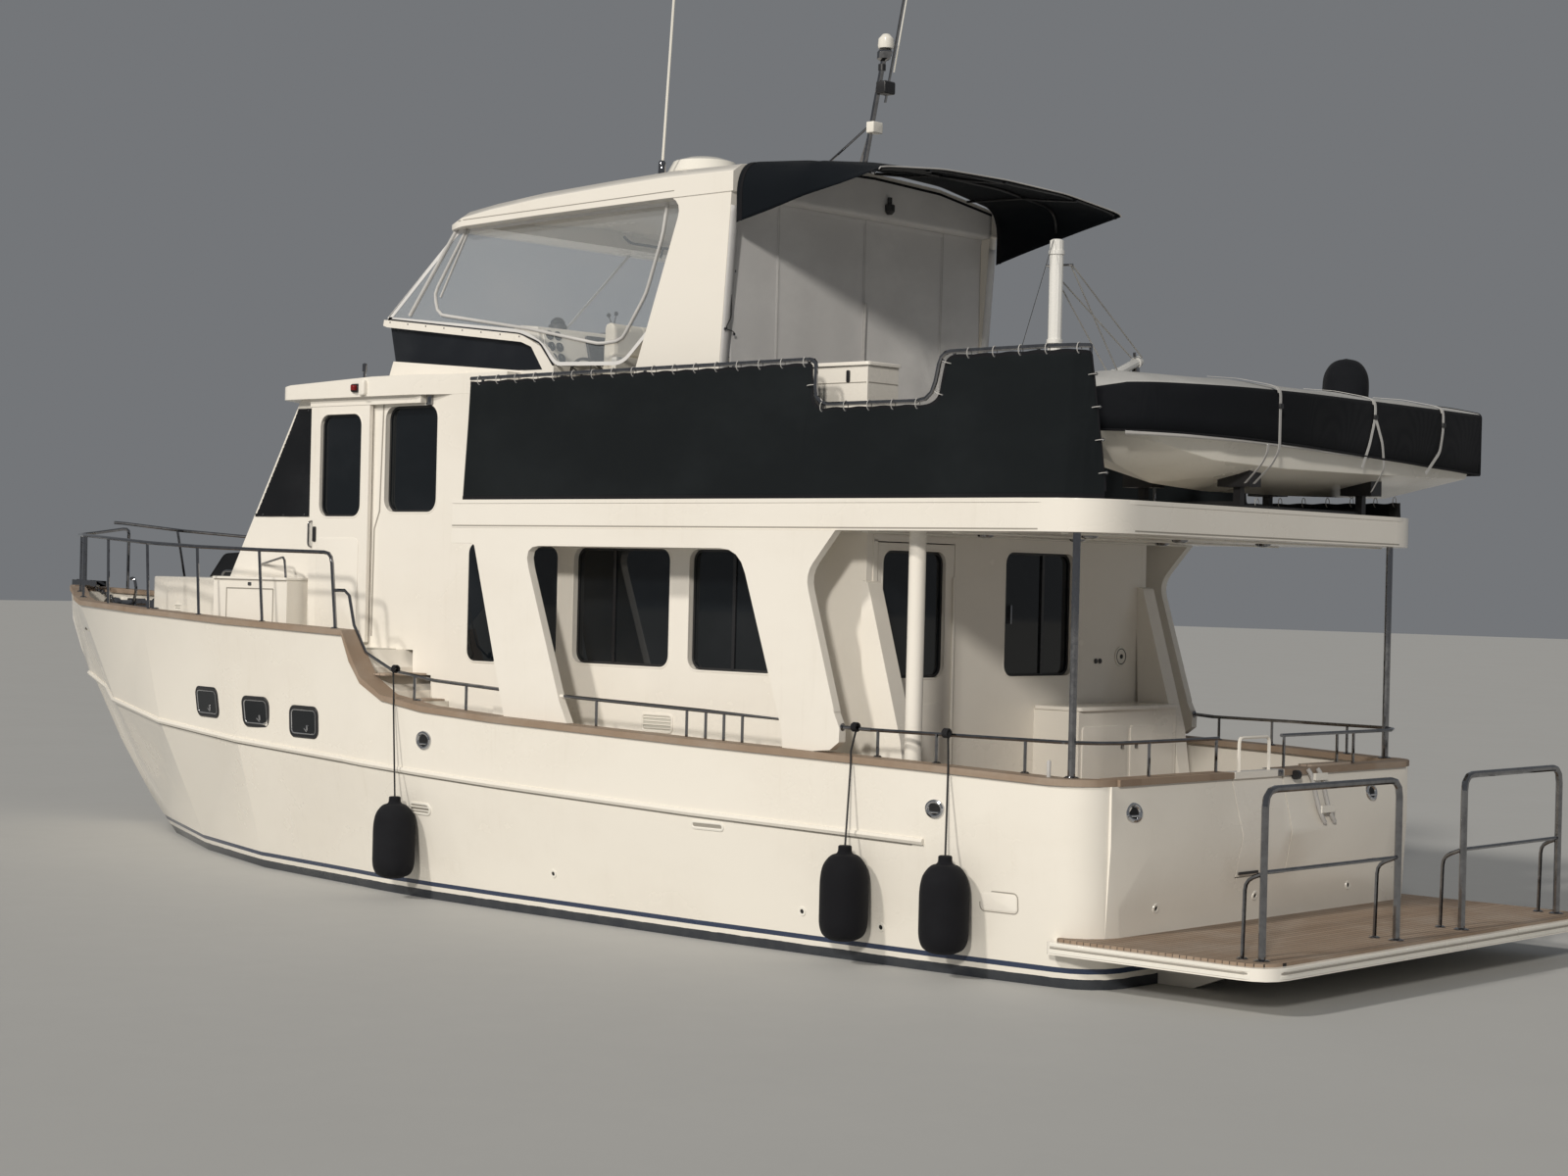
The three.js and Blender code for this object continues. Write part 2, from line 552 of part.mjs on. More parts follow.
const midRail = join(
  tube(midRailXs.map((x) => [x, railY, sheerTop(x) + lowRailHeight]), 14, 6),
  ...midPostXs.map((x) => tube([[x, railY, sheerTop(x + 12) + gap], [x, railY, sheerTop(x) + lowRailHeight]], 12, 6)));
const sidePanel = join(cut(profileY(panelOutline, panelY0, panelY1), panelHole), midRail);
place('side_panel_port', sidePanel, 'gelcoat');
place('side_panel_starboard', mirrored(sidePanel), 'gelcoat');

// Boat deck over saloon and cockpit, with its deep edge, the round post below it, the davit's socket and
// the deck box behind the boarding notch
const mast = { x: -5350, y: 0, radius: 52, length: 1980 };
const socketFloor = boatDeckTop + 25;
const boatDeckPlan = [
  [pilothouseX - gap, -boatDeckHalf], [pilothouseX - gap, boatDeckHalf],
  [transomX, boatDeckHalf - 30, 530], [transomX, -boatDeckHalf + 30, 530]];
const deckPostHeight = boatDeckUnder + 10 - cockpitSole;
const boatDeck = join(
  planZ(boatDeckPlan, boatDeckUnder, boatDeckTop, 7),
  turned([[0, 0], [60, 0], [60, deckPostHeight], [0, deckPostHeight]], -5640, 1900, cockpitSole + gap, 12),
  turned([[0, 0], [120, 0], [120, 25], [75, 45], [75, 270], [0, 270]], mast.x, mast.y, boatDeckTop - 5, 16),
  block(-5070, -4350, 1460, 1800, boatDeckTop - 5, 4120));
place('boat_deck', cut(boatDeck, turned(
  [[0, 0], [mast.radius + 5, 0], [mast.radius + 5, 400], [0, 400]], mast.x, mast.y, socketFloor, 16)), 'gelcoat');

// Pilothouse: a shell with a raked front, side windows and door openings
const frontX = (z) => frontFootX - rake * (z - foredeck);
const pilotTop = roofUnder - gap;
const pilotProfile = (inset) => [
  [pilothouseX + inset, sideDeck + gap - inset * 10],
  ...stairs.map(([x, z]) => [x - gap, z + gap - inset * 10]),
  [frontX(foredeck) - inset, foredeck + gap - inset * 10],
  [frontX(pilotTop) - inset, pilotTop + inset * 10],
  [pilothouseX + inset, pilotTop + inset * 10],
];
const pilotOuter = profileY(pilotProfile(0), -pilotHalf, pilotHalf);
const pilotInner = profileY([
  [pilothouseX + wall, 0], [frontX(0) - wall, 0], [frontX(5000) - wall, 5000], [pilothouseX + wall, 5000],
], -pilotHalf + wall, pilotHalf - wall);
const sideDoor = { x0: 490, x1: 1270, z0: foredeck + 45, z1: 3990, travel: 640 };
const pilotSideWindow = [-320, 345, 3090, 3975];
const frontWindows = [[-1440, -560], [-460, 460], [560, 1440]];
const acrossWindow = (x0, x1, z0, z1, r) => profileY(rectangle(x0, x1, z0, z1, r), -2500, 2500, 3);
const sideLocker = block(1330, 2370, pilotHalf - 10, pilotHalf + 230, foredeck + gap, 2500);
const pilothouse = cut(join(pilotOuter, sideLocker, mirrored(sideLocker)), pilotInner,
  acrossWindow(...pilotSideWindow, 110),
  acrossWindow(sideDoor.x0 + 40, sideDoor.x1 - 40, sideDoor.z0, sideDoor.z1 - 60, 20),
  block(pilothouseX - 50, pilothouseX + 100, -600, 600, 0, 2750),
  ...frontWindows.map(([y0, y1]) => sectionX(rectangle(y0, y1, 3130, 3890, 60), 900, 3000, 3)));
place('pilothouse', pilothouse, 'gelcoat');

const pilotPane = block(-400, 420, pilotHalf - wall - gap - paneThickness, pilotHalf - wall - gap, 3030, 4030);
place('pilothouse_glass_port', pilotPane, 'glass');
place('pilothouse_glass_starboard', mirrored(pilotPane), 'glass');

// Cloth cover over the windscreen and the forward side quarters
const coverFoot = 3050;
const coverHead = 3985;
const coverOut = profileY([
  [frontX(coverFoot) + 8, coverFoot], [frontX(coverHead) + 8, coverHead], [1290, coverHead], [1290, coverFoot],
], -pilotHalf - 8, pilotHalf + 8);
const coverIn = profileY([
  [frontX(0) + 0.5, 0], [frontX(5000) + 0.5, 5000], [0, 5000], [0, 0],
], -pilotHalf - 0.5, pilotHalf + 0.5);
place('windscreen_cover', cut(coverOut, coverIn), 'canvas');

// Sliding side doors, outside the pilothouse wall, and the tracks that carry them
const doorY0 = pilotHalf + 16;
const doorY1 = doorY0 + 40;
const sideDoorLeaf = cut(
  block(sideDoor.x0, sideDoor.x1, doorY0, doorY1, sideDoor.z0, sideDoor.z1),
  profileY(rectangle(sideDoor.x0 + 100, sideDoor.x1 - 130, 3050, 3920, 100), 1000, 2500, 3));
const sideDoorGlass = block(sideDoor.x0 + 50, sideDoor.x1 - 80, doorY0 - 9, doorY0 - gap, 3010, 3960);
const doorTrack = block(sideDoor.x0 - sideDoor.travel - 20, sideDoor.x1 + 10, pilotHalf + gap, doorY1 + 6,
  sideDoor.z1 + gap, roofUnder + 10);
place('side_door_port', sideDoorLeaf, 'gelcoat');
place('side_door_starboard', mirrored(sideDoorLeaf), 'gelcoat');
place('side_door_glass_port', sideDoorGlass, 'glass');
place('side_door_glass_starboard', mirrored(sideDoorGlass), 'glass');

// Pilothouse roof with its brow, the tracks of the side doors and the flybridge's plinth
const roofPlan = [
  [pilothouseX, -pilotHalf], [pilothouseX, pilotHalf], [-500, pilotHalf], [-100, 1760], [1600, 1760, 120],
  [1950, 1200, 300], [1950, -1200, 300], [1600, -1760, 120], [-100, -1760], [-500, -pilotHalf]];
const roofProfile = profileY([
  [pilothouseX - 10, roofUnder], [1960, roofUnder], [1960, 4110, 30], [1500, 4180, 100], [400, 4220], [pilothouseX - 10, 4220],
], -2000, 2000);
const roofTop = 4220;
const plinthTop = (x) => roofTop + 20 + 0.0828 * (x + 1100);
const plinth = profileY([
  [560, 4150], [470, plinthTop(470)], [-1100, plinthTop(-1100)], [pilothouseX, plinthTop(-1100)], [pilothouseX, 4150],
], -1480, 1480);
place('pilothouse_roof', join(
  planZ(roofPlan, roofUnder, 4400).intersect(roofProfile), plinth, doorTrack, mirrored(doorTrack)), 'gelcoat');

// Flybridge fairing on the roof: dark low windscreen and white coaming
const coamingTop = (x) => 4725 - 0.115 * (580 - x);
const coamingDepth = 60;
const bandSide = profileY([
  [475, plinthTop(475) + gap], [545, coamingTop(545) - coamingDepth - gap],
  [-1140, coamingTop(-1140) - coamingDepth - gap], [-1250, 4412], [-1380, 4242], [-1100, plinthTop(-1100) + gap],
], 1440, 1450);
const bandFront = profileY([
  [466, plinthTop(466) + gap], [476, plinthTop(476) + gap], [548, coamingTop(548) - coamingDepth - gap],
  [538, coamingTop(538) - coamingDepth - gap],
], -1449, 1449);
place('flybridge_glass', join(bandSide, mirrored(bandSide), bandFront), 'glass');
const coamingSide = profileY([
  [590, coamingTop(590) - 50], [580, coamingTop(580)], [-1140, coamingTop(-1140)], [-1370, coamingTop(-1370) - 80, 60],
  [-1530, 4250], [-1530, boatDeckTop + gap], [pilothouseX - gap, boatDeckTop + gap], [pilothouseX - gap, 4235],
  [-1400, 4235], [-1262, 4424, 40], [-1140, coamingTop(-1140) - coamingDepth], [540, coamingTop(540) - coamingDepth],
], 1400, 1500, 3);
const dash = profileY([
  [590, coamingTop(590) - 50], [580, coamingTop(580)], [-700, coamingTop(-700)], [-700, coamingTop(-700) - 40],
  [540, coamingTop(540) - coamingDepth],
], -1410, 1410);
place('flybridge_coaming', join(coamingSide, mirrored(coamingSide), dash), 'gelcoat');

// Helm console and seat, to port
place('helm_console', profileY([
  [-1330, boatDeckTop + gap], [-1300, 4280], [-1210, 4600], [-1000, 4620], [-720, 4540],
  [-720, plinthTop(-720) + gap], [pilothouseX - gap, plinthTop(-720) + gap], [pilothouseX - gap, boatDeckTop + gap],
], 350, 1390), 'gelcoat');
const seatX = -1960;             // the lower aft corner of the seat
place('helm_seat_base', join(
  block(seatX, seatX + 390, 620, 1300, boatDeckTop + gap, 3560),
  profileY([[seatX - 20, 3540], [seatX + 420, 3540], [seatX + 420, 3620], [seatX + 20, 3620], [seatX - 40, 4330],
    [seatX - 100, 4330]], 600, 1320)), 'gelcoat');
place('helm_seat_cushion', profileY([
  [seatX + 30, 3620 + gap], [seatX + 430, 3620 + gap], [seatX + 440, 3720, 40], [seatX + 130, 3740], [seatX + 80, 4620, 50],
  [seatX - 25, 4620, 40], [seatX - 25, 4345], [seatX + 29, 3700],
], 620, 1300, 2), 'vinyl');

// Hardtop over the helm, on two broad legs
const hardtopStations = [
  [-140, 5440, 5468, 330, 10], [-185, 5428, 5495, 200, 25], [-300, 5421, 5525, 90, 60], [-520, 5425, 5555, 0, 95],
  [-860, 5435, 5595, 0, 120], [-1420, 5450, 5640, 0, 120], [-2230, 5465, 5675, 0, 120], [-2850, 5475, 5695, 0, 120],
  [-3560, 5480, 5690, 0, 120],
].map(([x, under, top, inset, crown]) => ({ x, under, top, inset, crown }));
const crown = 120;
function hardtopRing(s) {
  const half = hardtopHalf - s.inset;
  const side = [
    [half - 110, s.under], [half, s.under], [half, Math.max(s.top - 60, s.under + 10)], [half - 90, s.top],
    [half * 0.5, s.top + s.crown * 0.8],
  ];
  return [...side.map(([y, z]) => [s.x, y, z]), [s.x, 0, s.top + s.crown],
    ...side.reverse().map(([y, z]) => [s.x, -y, z])];
}
const hardtopSolid = loft(hardtopStations.map(hardtopRing));
const hardtopUp = [...hardtopStations].reverse();
const hardtopTop = (x) => along(hardtopUp, x, 'top');
const hardtopUnder = (x) => along(hardtopUp, x, 'under');
const hardtopInside = loft([-600, -1420, -2230, -3300].map((x) => {
  const half = hardtopHalf - 150;
  const roof = hardtopTop(x) - 90;
  return [[x, half, 5300], [x, half, roof], [x, 0, roof + crown - 20], [x, -half, roof], [x, -half, 5300]];
}));
const hardtopLeg = profileY([
  [-3380, boatDeckTop + gap], [-2200, boatDeckTop + gap], [-2560, 4190], [-3020, 5430, 120],
  [-2820, 5520], [-3540, 5520], [-3450, 4200],
], hardtopHalf - 110, hardtopHalf - 10);
place('hardtop', join(cut(hardtopSolid, hardtopInside), hardtopLeg, mirrored(hardtopLeg)), 'gelcoat');

// Clear enclosure between coaming and hardtop: front and two sides
const clearHeadX = -340;
const clearSide = profileY([
  [540, coamingTop(540) + gap], [clearHeadX, hardtopUnder(clearHeadX) - gap],
  ...hardtopStations.filter(({ x }) => x < clearHeadX && x > -2900).map(({ x, under }) => [x, under - gap]),
  [-2960, hardtopUnder(-2960) - gap], [-2600, 4500], [-2300, 4240, 100], [-1545, 4262],
  [-1380, coamingTop(-1370) - 70], [-1140, coamingTop(-1140) + 6],
], 1484, 1490, 3);
const clearFront = profileY([
  [534, coamingTop(534) + gap], [540, coamingTop(540) + gap], [clearHeadX, hardtopUnder(clearHeadX) - gap],
  [clearHeadX - 6, hardtopUnder(clearHeadX) - gap],
], -1489, 1489);
place('clear_enclosure', join(clearSide, mirrored(clearSide), clearFront), 'clear');

// Black awning behind the hardtop, and the grey curtain below it
const awningFore = -3560 - gap;
const awningAft = -4870;
function awningRing(x, points, thickness) {
  const upper = [...points.map(([y, z]) => [x, y, z]), ...points.slice(0, -1).reverse().map(([y, z]) => [x, -y, z])];
  const lower = upper.slice().reverse().map(([px, y, z]) => [px, y * (1 - thickness / 1600), z - thickness]);
  return [...upper, ...lower];
}
const awningSections = [
  [awningFore, [[1575, 5250], [1580, 5560], [1495, 5705], [800, 5810], [0, 5835]]],
  [-4200, [[1540, 5405], [1540, 5570], [1450, 5670], [780, 5745], [0, 5765]]],
  [awningAft, [[1495, 5550], [1490, 5565], [1400, 5580], [760, 5640], [0, 5655]]],
];
place('awning', loft(awningSections.map(([x, points]) => awningRing(x, points, 14)), 0), 'canvas');
const curtainX = -3460;
place('aft_curtain', block(curtainX - 6, curtainX + 6, -1500, 1500, boatDeckTop + 30, hardtopUnder(curtainX) - gap), 'greyCloth');

// Side skirts of black canvas, laced to the boat deck's rails. The port one has the boarding notch.
const leaning = (geometryBody, y) => geometryBody.transform([
  1, 0, 0, 0, 0, 1, 0, 0, 0, skirtLean, 1, 0, 0, -skirtLean * skirtFoot + y, 0, 1]);
const railLine = (x) => 4130 - 0.0055 * (x + 1190);
const turnFrom = -6790;          // where the deck's edge starts to turn
// The edge's turn at the aft corners as [x, distance inboard]
const turnLine = [[turnFrom, 0], [-6990, -32], [-7085, -105], [-7185, -205]];
const skirtFore = -1180;
const notch = [[-5930, 4130], [-5870, 3830], [-4820, 3830], [-4810, 4130]];
const skirtTop = (x) => railLine(x) - 22;
const skirtSheet = profileY([
  [skirtFore, skirtFoot], [skirtFore + 10, skirtTop(skirtFore)], [notch[3][0] + 40, skirtTop(notch[3][0]), 20],
  [notch[2][0] + 40, notch[2][1] - 22, 110], [notch[1][0] - 60, notch[1][1] - 22, 110], [notch[0][0] - 60, skirtTop(notch[0][0]), 40],
  [turnFrom, skirtTop(turnFrom)], [turnFrom, skirtFoot],
], -4, 4, 3);
const skirtTurn = loft(turnLine.map(([x, y], i) => {
  const top = i < turnLine.length - 1 ? skirtTop(x) : skirtFoot + 60;
  return [[x, y - 4, skirtFoot], [x, y + 4, skirtFoot], [x, y + 4, top], [x, y - 4, top]];
}));
const portSkirt = join(skirtSheet, skirtTurn);
const starboardRailEnd = -5690;  // the tender's stern passes over the low part aft of this
const lowSkirtTop = 3290;
const starboardSkirt = join(profileY([
  [skirtFore, skirtFoot], [skirtFore + 10, skirtTop(skirtFore)], [starboardRailEnd + 20, skirtTop(starboardRailEnd)],
  [starboardRailEnd - 20, lowSkirtTop], [turnFrom, lowSkirtTop], [turnFrom, skirtFoot],
], -4, 4), loft(turnLine.map(([x, y]) => [
  [x, y - 4, skirtFoot], [x, y + 4, skirtFoot], [x, y + 4, lowSkirtTop], [x, y - 4, lowSkirtTop]])));
const skirtY = 2110;
place('side_skirt_port', leaning(portSkirt, skirtY), 'canvas');
place('side_skirt_starboard', mirrored(leaning(starboardSkirt, skirtY)), 'canvas');

const stanchionY = -4 - gap - 13;
function deckRail(corners, postXs) {
  return join(tube(corners, 16, 8), ...postXs.map((x) => tube([
    [x, stanchionY, boatDeckTop + gap], [x, stanchionY, railLine(x) - 4], [x, 0, railLine(x)]], 13, 6)));
}
const [turnStart, turnMiddle, turnEnd] = turnLine;
const portRail = join(deckRail([
  [skirtFore, 0, railLine(skirtFore)], [notch[3][0], 0, railLine(notch[3][0]), 60], [notch[2][0], 0, notch[2][1], 130],
  [notch[1][0], 0, notch[1][1], 130], [notch[0][0], 0, railLine(notch[0][0]), 80], [turnStart[0], 0, railLine(turnStart[0])],
  [turnMiddle[0], turnMiddle[1], railLine(turnMiddle[0])], [turnEnd[0], turnEnd[1], railLine(turnEnd[0])],
], [-1300, -2200, -3100, -4000, -4730, -6030, -6730]), tube([
  [turnEnd[0] + 12, turnEnd[1] + stanchionY, boatDeckTop + gap], [turnEnd[0] + 12, turnEnd[1] + stanchionY, railLine(turnEnd[0]) - 4],
  [turnEnd[0] + 2, turnEnd[1], railLine(turnEnd[0])]], 13, 6));
const starboardRail = deckRail([[skirtFore, 0, railLine(skirtFore)], [starboardRailEnd, 0, railLine(starboardRailEnd)]],
  [-1300, -2200, -3100, -4000, -4850, -5660]);
place('deck_rail_port', leaning(portRail, skirtY), 'steel');
place('deck_rail_starboard', mirrored(leaning(starboardRail, skirtY)), 'steel');

// Davit: a mast that turns in the socket and a boom that lifts on it
const boomPivot = { z: 3950, y: -110 };
const boomLength = 1690;
const boomRise = THREE.MathUtils.degToRad(16);
const davitTurn = 13.6;          // degrees that the stowed boom points forward of square across
const atRest = (body) => moved(moved(body, -mast.x, -mast.y, 0).rotate([0, 0, davitTurn]), mast.x, mast.y, 0);
const mastPost = turned([[0, 0], [mast.radius, 0], [mast.radius, mast.length - 10], [34, mast.length], [0, mast.length]],
  mast.x, mast.y, socketFloor + gap, 12);
const ear = (x) => block(x - 7, x + 7, boomPivot.y - 45, 0, boomPivot.z - 45, boomPivot.z + 45);
const acrossPivot = (half, radius, sides) => tube(
  [[mast.x - half, boomPivot.y, boomPivot.z], [mast.x + half, boomPivot.y, boomPivot.z]], radius, sides);
place('davit_mast', join(mastPost, atRest(join(ear(mast.x - 50), ear(mast.x + 50), acrossPivot(56, 11, 8)))), 'gelcoat');
const boomAt = (reach) => [mast.x, boomPivot.y - reach * Math.cos(boomRise), boomPivot.z + reach * Math.sin(boomRise)];
const boomTube = tube([boomAt(20), boomAt(boomLength)], 36, 10);
place('davit_boom', atRest(cut(join(boomTube, acrossPivot(36, 34, 12)), acrossPivot(60, 12, 12))), 'gelcoat');

// Tender, stowed athwartships with its bow to port, on two chocks
const tenderX = -6680;
const tenderStations = [
  [1420, 30, 3840, 60, 4010], [1310, 170, 3650, 300, 3985], [1080, 330, 3440, 500, 3960], [650, 520, 3330, 690, 3920],
  [0, 680, 3300, 790, 3880], [-1200, 720, 3310, 800, 3860], [-2540, 700, 3340, 780, 3860],
].map(([y, chineHalf, keelZ, gunwaleHalf, gunwaleZ]) => ({ y, chineHalf, keelZ, gunwaleHalf, gunwaleZ }));
function tenderRing({ y, chineHalf, keelZ, gunwaleHalf, gunwaleZ }) {
  const chineZ = Math.min(keelZ + 150, gunwaleZ - 160);
  return [
    [tenderX, y, keelZ], [tenderX + chineHalf, y, chineZ], [tenderX + gunwaleHalf, y, gunwaleZ - 130],
    [tenderX, y, gunwaleZ - 110], [tenderX - gunwaleHalf, y, gunwaleZ - 130], [tenderX - chineHalf, y, chineZ]];
}
place('tender_hull', loft(tenderStations.map(tenderRing)), 'gelcoat');
const coverThickness = 24;
const coverStations = tenderStations.map((s, i) => ({
  ...s, y: s.y + (i === 0 ? coverThickness : 0) - (i === tenderStations.length - 1 ? coverThickness : 0),
}));
function coverRing({ y, gunwaleHalf }) {
  const half = gunwaleHalf + coverThickness;
  const foot = 3520 + 0.034 * (y + 2500);
  return [
    [tenderX - half, y, foot], [tenderX - half, y, 3985], [tenderX - half * 0.6, y, 4055], [tenderX, y, 4090],
    [tenderX + half * 0.6, y, 4055], [tenderX + half, y, 3985], [tenderX + half, y, foot]];
}
const roomFoot = 3200;
const coverRoom = loft(tenderStations.map((s, i) => {
  const half = s.gunwaleHalf + gap;
  const y = s.y + (i === 0 ? gap : 0) - (i === tenderStations.length - 1 ? gap : 0);
  const [, , starboard, crest, port] = tenderRing({ ...s, y, gunwaleHalf: half, gunwaleZ: s.gunwaleZ + gap });
  return [[tenderX, y, roomFoot], [tenderX + half, y, roomFoot], starboard, crest, port, [tenderX - half, y, roomFoot]];
}));
const cowl = turned([[0, 0], [150, 0], [180, 80], [175, 240], [110, 345], [0, 370]], tenderX + 20, -1960, 4020, 14);
place('tender_cover', join(cut(loft(coverStations.map(coverRing)), coverRoom), cowl), 'canvas');
const tenderBed = loft(tenderStations.map((s) => tenderRing(s).map(([x, y, z]) => [x, y, z - gap])));
const chockPost = (x, y) => join(
  block(x - 28, x + 28, y - 28, y + 28, boatDeckTop + gap, 3330), block(x - 130, x + 130, y - 75, y + 75, 3320, 3480));
const chock = (y) => join(chockPost(tenderX - 400, y), chockPost(tenderX + 400, y),
  block(tenderX - 400, tenderX + 400, y - 25, y + 25, boatDeckTop + gap, boatDeckTop + 50));
const chockBar = (x) => block(x - 20, x + 20, -1500, 150, boatDeckTop + gap, boatDeckTop + 30);
place('tender_chocks', cut(join(chock(150), chock(-1500), chockBar(tenderX - 380), chockBar(tenderX + 380)), tenderBed),
  'rubber');

// Trunk cabin on the foredeck with its skylight and the hatch's coaming
const trunkTop = 2500;
const trunkPlan = planZ([
  [frontX(3600), -1380], [3600, -1300], [4550, -1000, 200], [5050, 0, 500], [4550, 1000, 200], [3600, 1300], [frontX(3600), 1380],
], foredeck + gap, trunkTop + 200, 4);
const trunkProfile = profileY([
  [frontX(foredeck) + gap, foredeck], [frontX(trunkTop) + gap, trunkTop], [4650, trunkTop, 120], [5060, foredeck],
], -2000, 2000);
const hatch = { x0: 2650, x1: 3300, half: 330, rise: 30 };
const hatchCoaming = block(hatch.x0, hatch.x1 - 10, -hatch.half + 10, hatch.half - 10, trunkTop - 10, trunkTop + hatch.rise - gap);
const skylight = profileY([
  [3620, trunkTop - 10], [3660, 2740, 60], [4090, 2720, 60], [4310, trunkTop - 10],
], -500, 500, 3);
place('trunk_cabin', join(trunkPlan.intersect(trunkProfile), hatchCoaming, skylight), 'gelcoat');

// Fore hatch, hinged on its aft edge
const hatchHinge = { x: hatch.x0 - 14, z: trunkTop + hatch.rise + 12 };
place('fore_hatch', join(
  planZ(rectangle(hatch.x0, hatch.x1, -hatch.half, hatch.half, 60), trunkTop + hatch.rise, trunkTop + hatch.rise + 34, 3),
  tube([[hatchHinge.x, -hatch.half + 60, hatchHinge.z], [hatchHinge.x, hatch.half - 60, hatchHinge.z]], 9, 8),
  block(hatchHinge.x, hatch.x0 + 30, -hatch.half + 70, hatch.half - 70, hatchHinge.z - 4, hatchHinge.z + 4)), 'glass');

// Windlass on the foredeck
place('windlass', join(
  block(6050, 6500, -170, 170, foredeck + gap, foredeck + 120),
  tube([[6260, -230, 2160], [6260, 230, 2160]], 85, 12),
  block(6180, 6340, -60, 60, foredeck + 60, 2260)), 'steel');

// Rails. They stand on the cap: near its outer edge at the bow, in line with the side panels aft.
const railInset = (x) => THREE.MathUtils.mapLinear(THREE.MathUtils.clamp(x, -1000, 500), -1000, 500, 125, 65);
const capY = (x) => sheerHalf(x) - railInset(x);
const onCap = (x, z, side = 1, bend = 0) => [x, side * capY(x), z, bend];
const capFoot = (x) => Math.max(...[x - 14, x, x + 14].map((at) => along(stations, at, 'capTop'))) + gap;
const foot = (x, side) => onCap(x, capFoot(x), side);
// Height of the bow rails at x. The starboard one stands higher at the stem, where the port one runs under it.
const bowRail = [
  [350, 2740, 2740], [1300, 2752, 2752], [2300, 2772, 2775], [3200, 2802, 2808], [4200, 2845, 2850], [5300, 2878, 2892],
  [5800, 2885, 2925], [6350, 2893, 2970], [6900, 2900, 3035], [7240, 2910, 3045],
].map(([x, port, starboard]) => ({ x, port, starboard }));
const railRun = (xs, side) => xs.map((x) => onCap(x, along(bowRail, x, side > 0 ? 'port' : 'starboard'), side));
const uprightFoot = (x, side) => [foot(x, side), onCap(x, capFoot(x) + 25, side)];
const bowPost = (side) => ([x, footX]) => tube([...uprightFoot(footX, side), ...railRun([x], side)], 13, 6);
const bowXs = bowRail.map(({ x }) => x);
const aftPost = (side) => [...uprightFoot(280, side), [...railRun([350], side)[0].slice(0, 3), 90]];
// From the bow rail's aft post down the sheer's step to the side panel
const sweepLine = [
  [-1740, 1704], [-950, 1740], [-450, 1800], [-120, 1930], [40, 2150], [110, 2390], [170, 2430], [320, 2430],
].map(([x, z]) => ({ x, z }));
const sweep = (side) => join(
  tube(sweepLine.map(({ x, z }) => onCap(x, z, side)), 14, 6),
  ...[-720, -1340].map((x) => tube([foot(x, side), onCap(x, along(sweepLine, x, 'z'), side)], 12, 6)));
const noseFoot = { x: 6860, z: 2985 };
const noseRail = tube([
  ...aftPost(1), ...railRun(bowXs.slice(1, -1), 1), [7150, 95, 2905], [7195, 0, 2915], [7150, -95, 2930],
  [...onCap(noseFoot.x, noseFoot.z, -1).slice(0, 3), 60], foot(noseFoot.x, -1)], 17, 8);
// Posts as [x at the rail, x at the foot]
const bowPosts = [[1350, 1290], [2340, 2290], [3230, 3180], [4190, 4160], [5270, 5270]];
const nosePost = tube([[7185, 0, stem.sheerZ + gap], [7190, 0, 2915]], 13, 6);
place('bow_rail_port', join(noseRail, ...[...bowPosts, [6300, 6300]].map(bowPost(1)), nosePost, sweep(1)), 'steel');
const starboardBowRail = tube([...aftPost(-1), ...railRun(bowXs.slice(1, -2), -1), ...railRun([6900], -1), [7000, -215, 3042]], 17, 8);
place('bow_rail_starboard', join(starboardBowRail, ...[...bowPosts, [6400, 6300]].map(bowPost(-1)), sweep(-1)), 'steel');

// Cockpit rails, from the side panels round the corner posts to the gate
const cornerPost = { x: -7048, y: 2000, radius: 26 };
const transomRailX = transomX + 62;
const cockpitPosts = [-5500, -6000, -6700];
const transomPosts = { port: [1400, gateY + gateWidth / 2 + 105], starboard: [-1210, -980, gateY - gateWidth / 2 - 115] };
[['port', 1], ['starboard', -1]].forEach(([name, side]) => {
  const run = tube([
    onCap(-5440, transomRailZ, side), onCap(-6300, transomRailZ, side), onCap(-6950, transomRailZ, side),
    [cornerPost.x, side * cornerPost.y, transomRailZ], [-7180, side * 1880, transomRailZ],
    [transomRailX, side * 1740, transomRailZ], [transomRailX, gateY + side * (gateWidth / 2 + 80), transomRailZ]], 14, 6);
  const post = turned([[0, 0], [cornerPost.radius, 0], [cornerPost.radius, boatDeckUnder - transomTop - 2 * gap],
    [0, boatDeckUnder - transomTop - 2 * gap]], cornerPost.x, side * cornerPost.y, transomTop + gap, 10);
  place(`cockpit_rail_${name}`, join(run, post,
    ...cockpitPosts.map((x) => tube([foot(x, side), onCap(x, transomRailZ, side)], 12, 6)),
    ...transomPosts[name].map((y) => tube([
      [transomRailX, y, transomTop + gap], [transomRailX, y, transomRailZ]], 12, 6))), 'steel');
});

// Fenders hanging on their lanyards from the port rails
const fenderRadius = 165;
const fenderZ = 170;
const fenderHeight = 640;
const lanyard = 7;
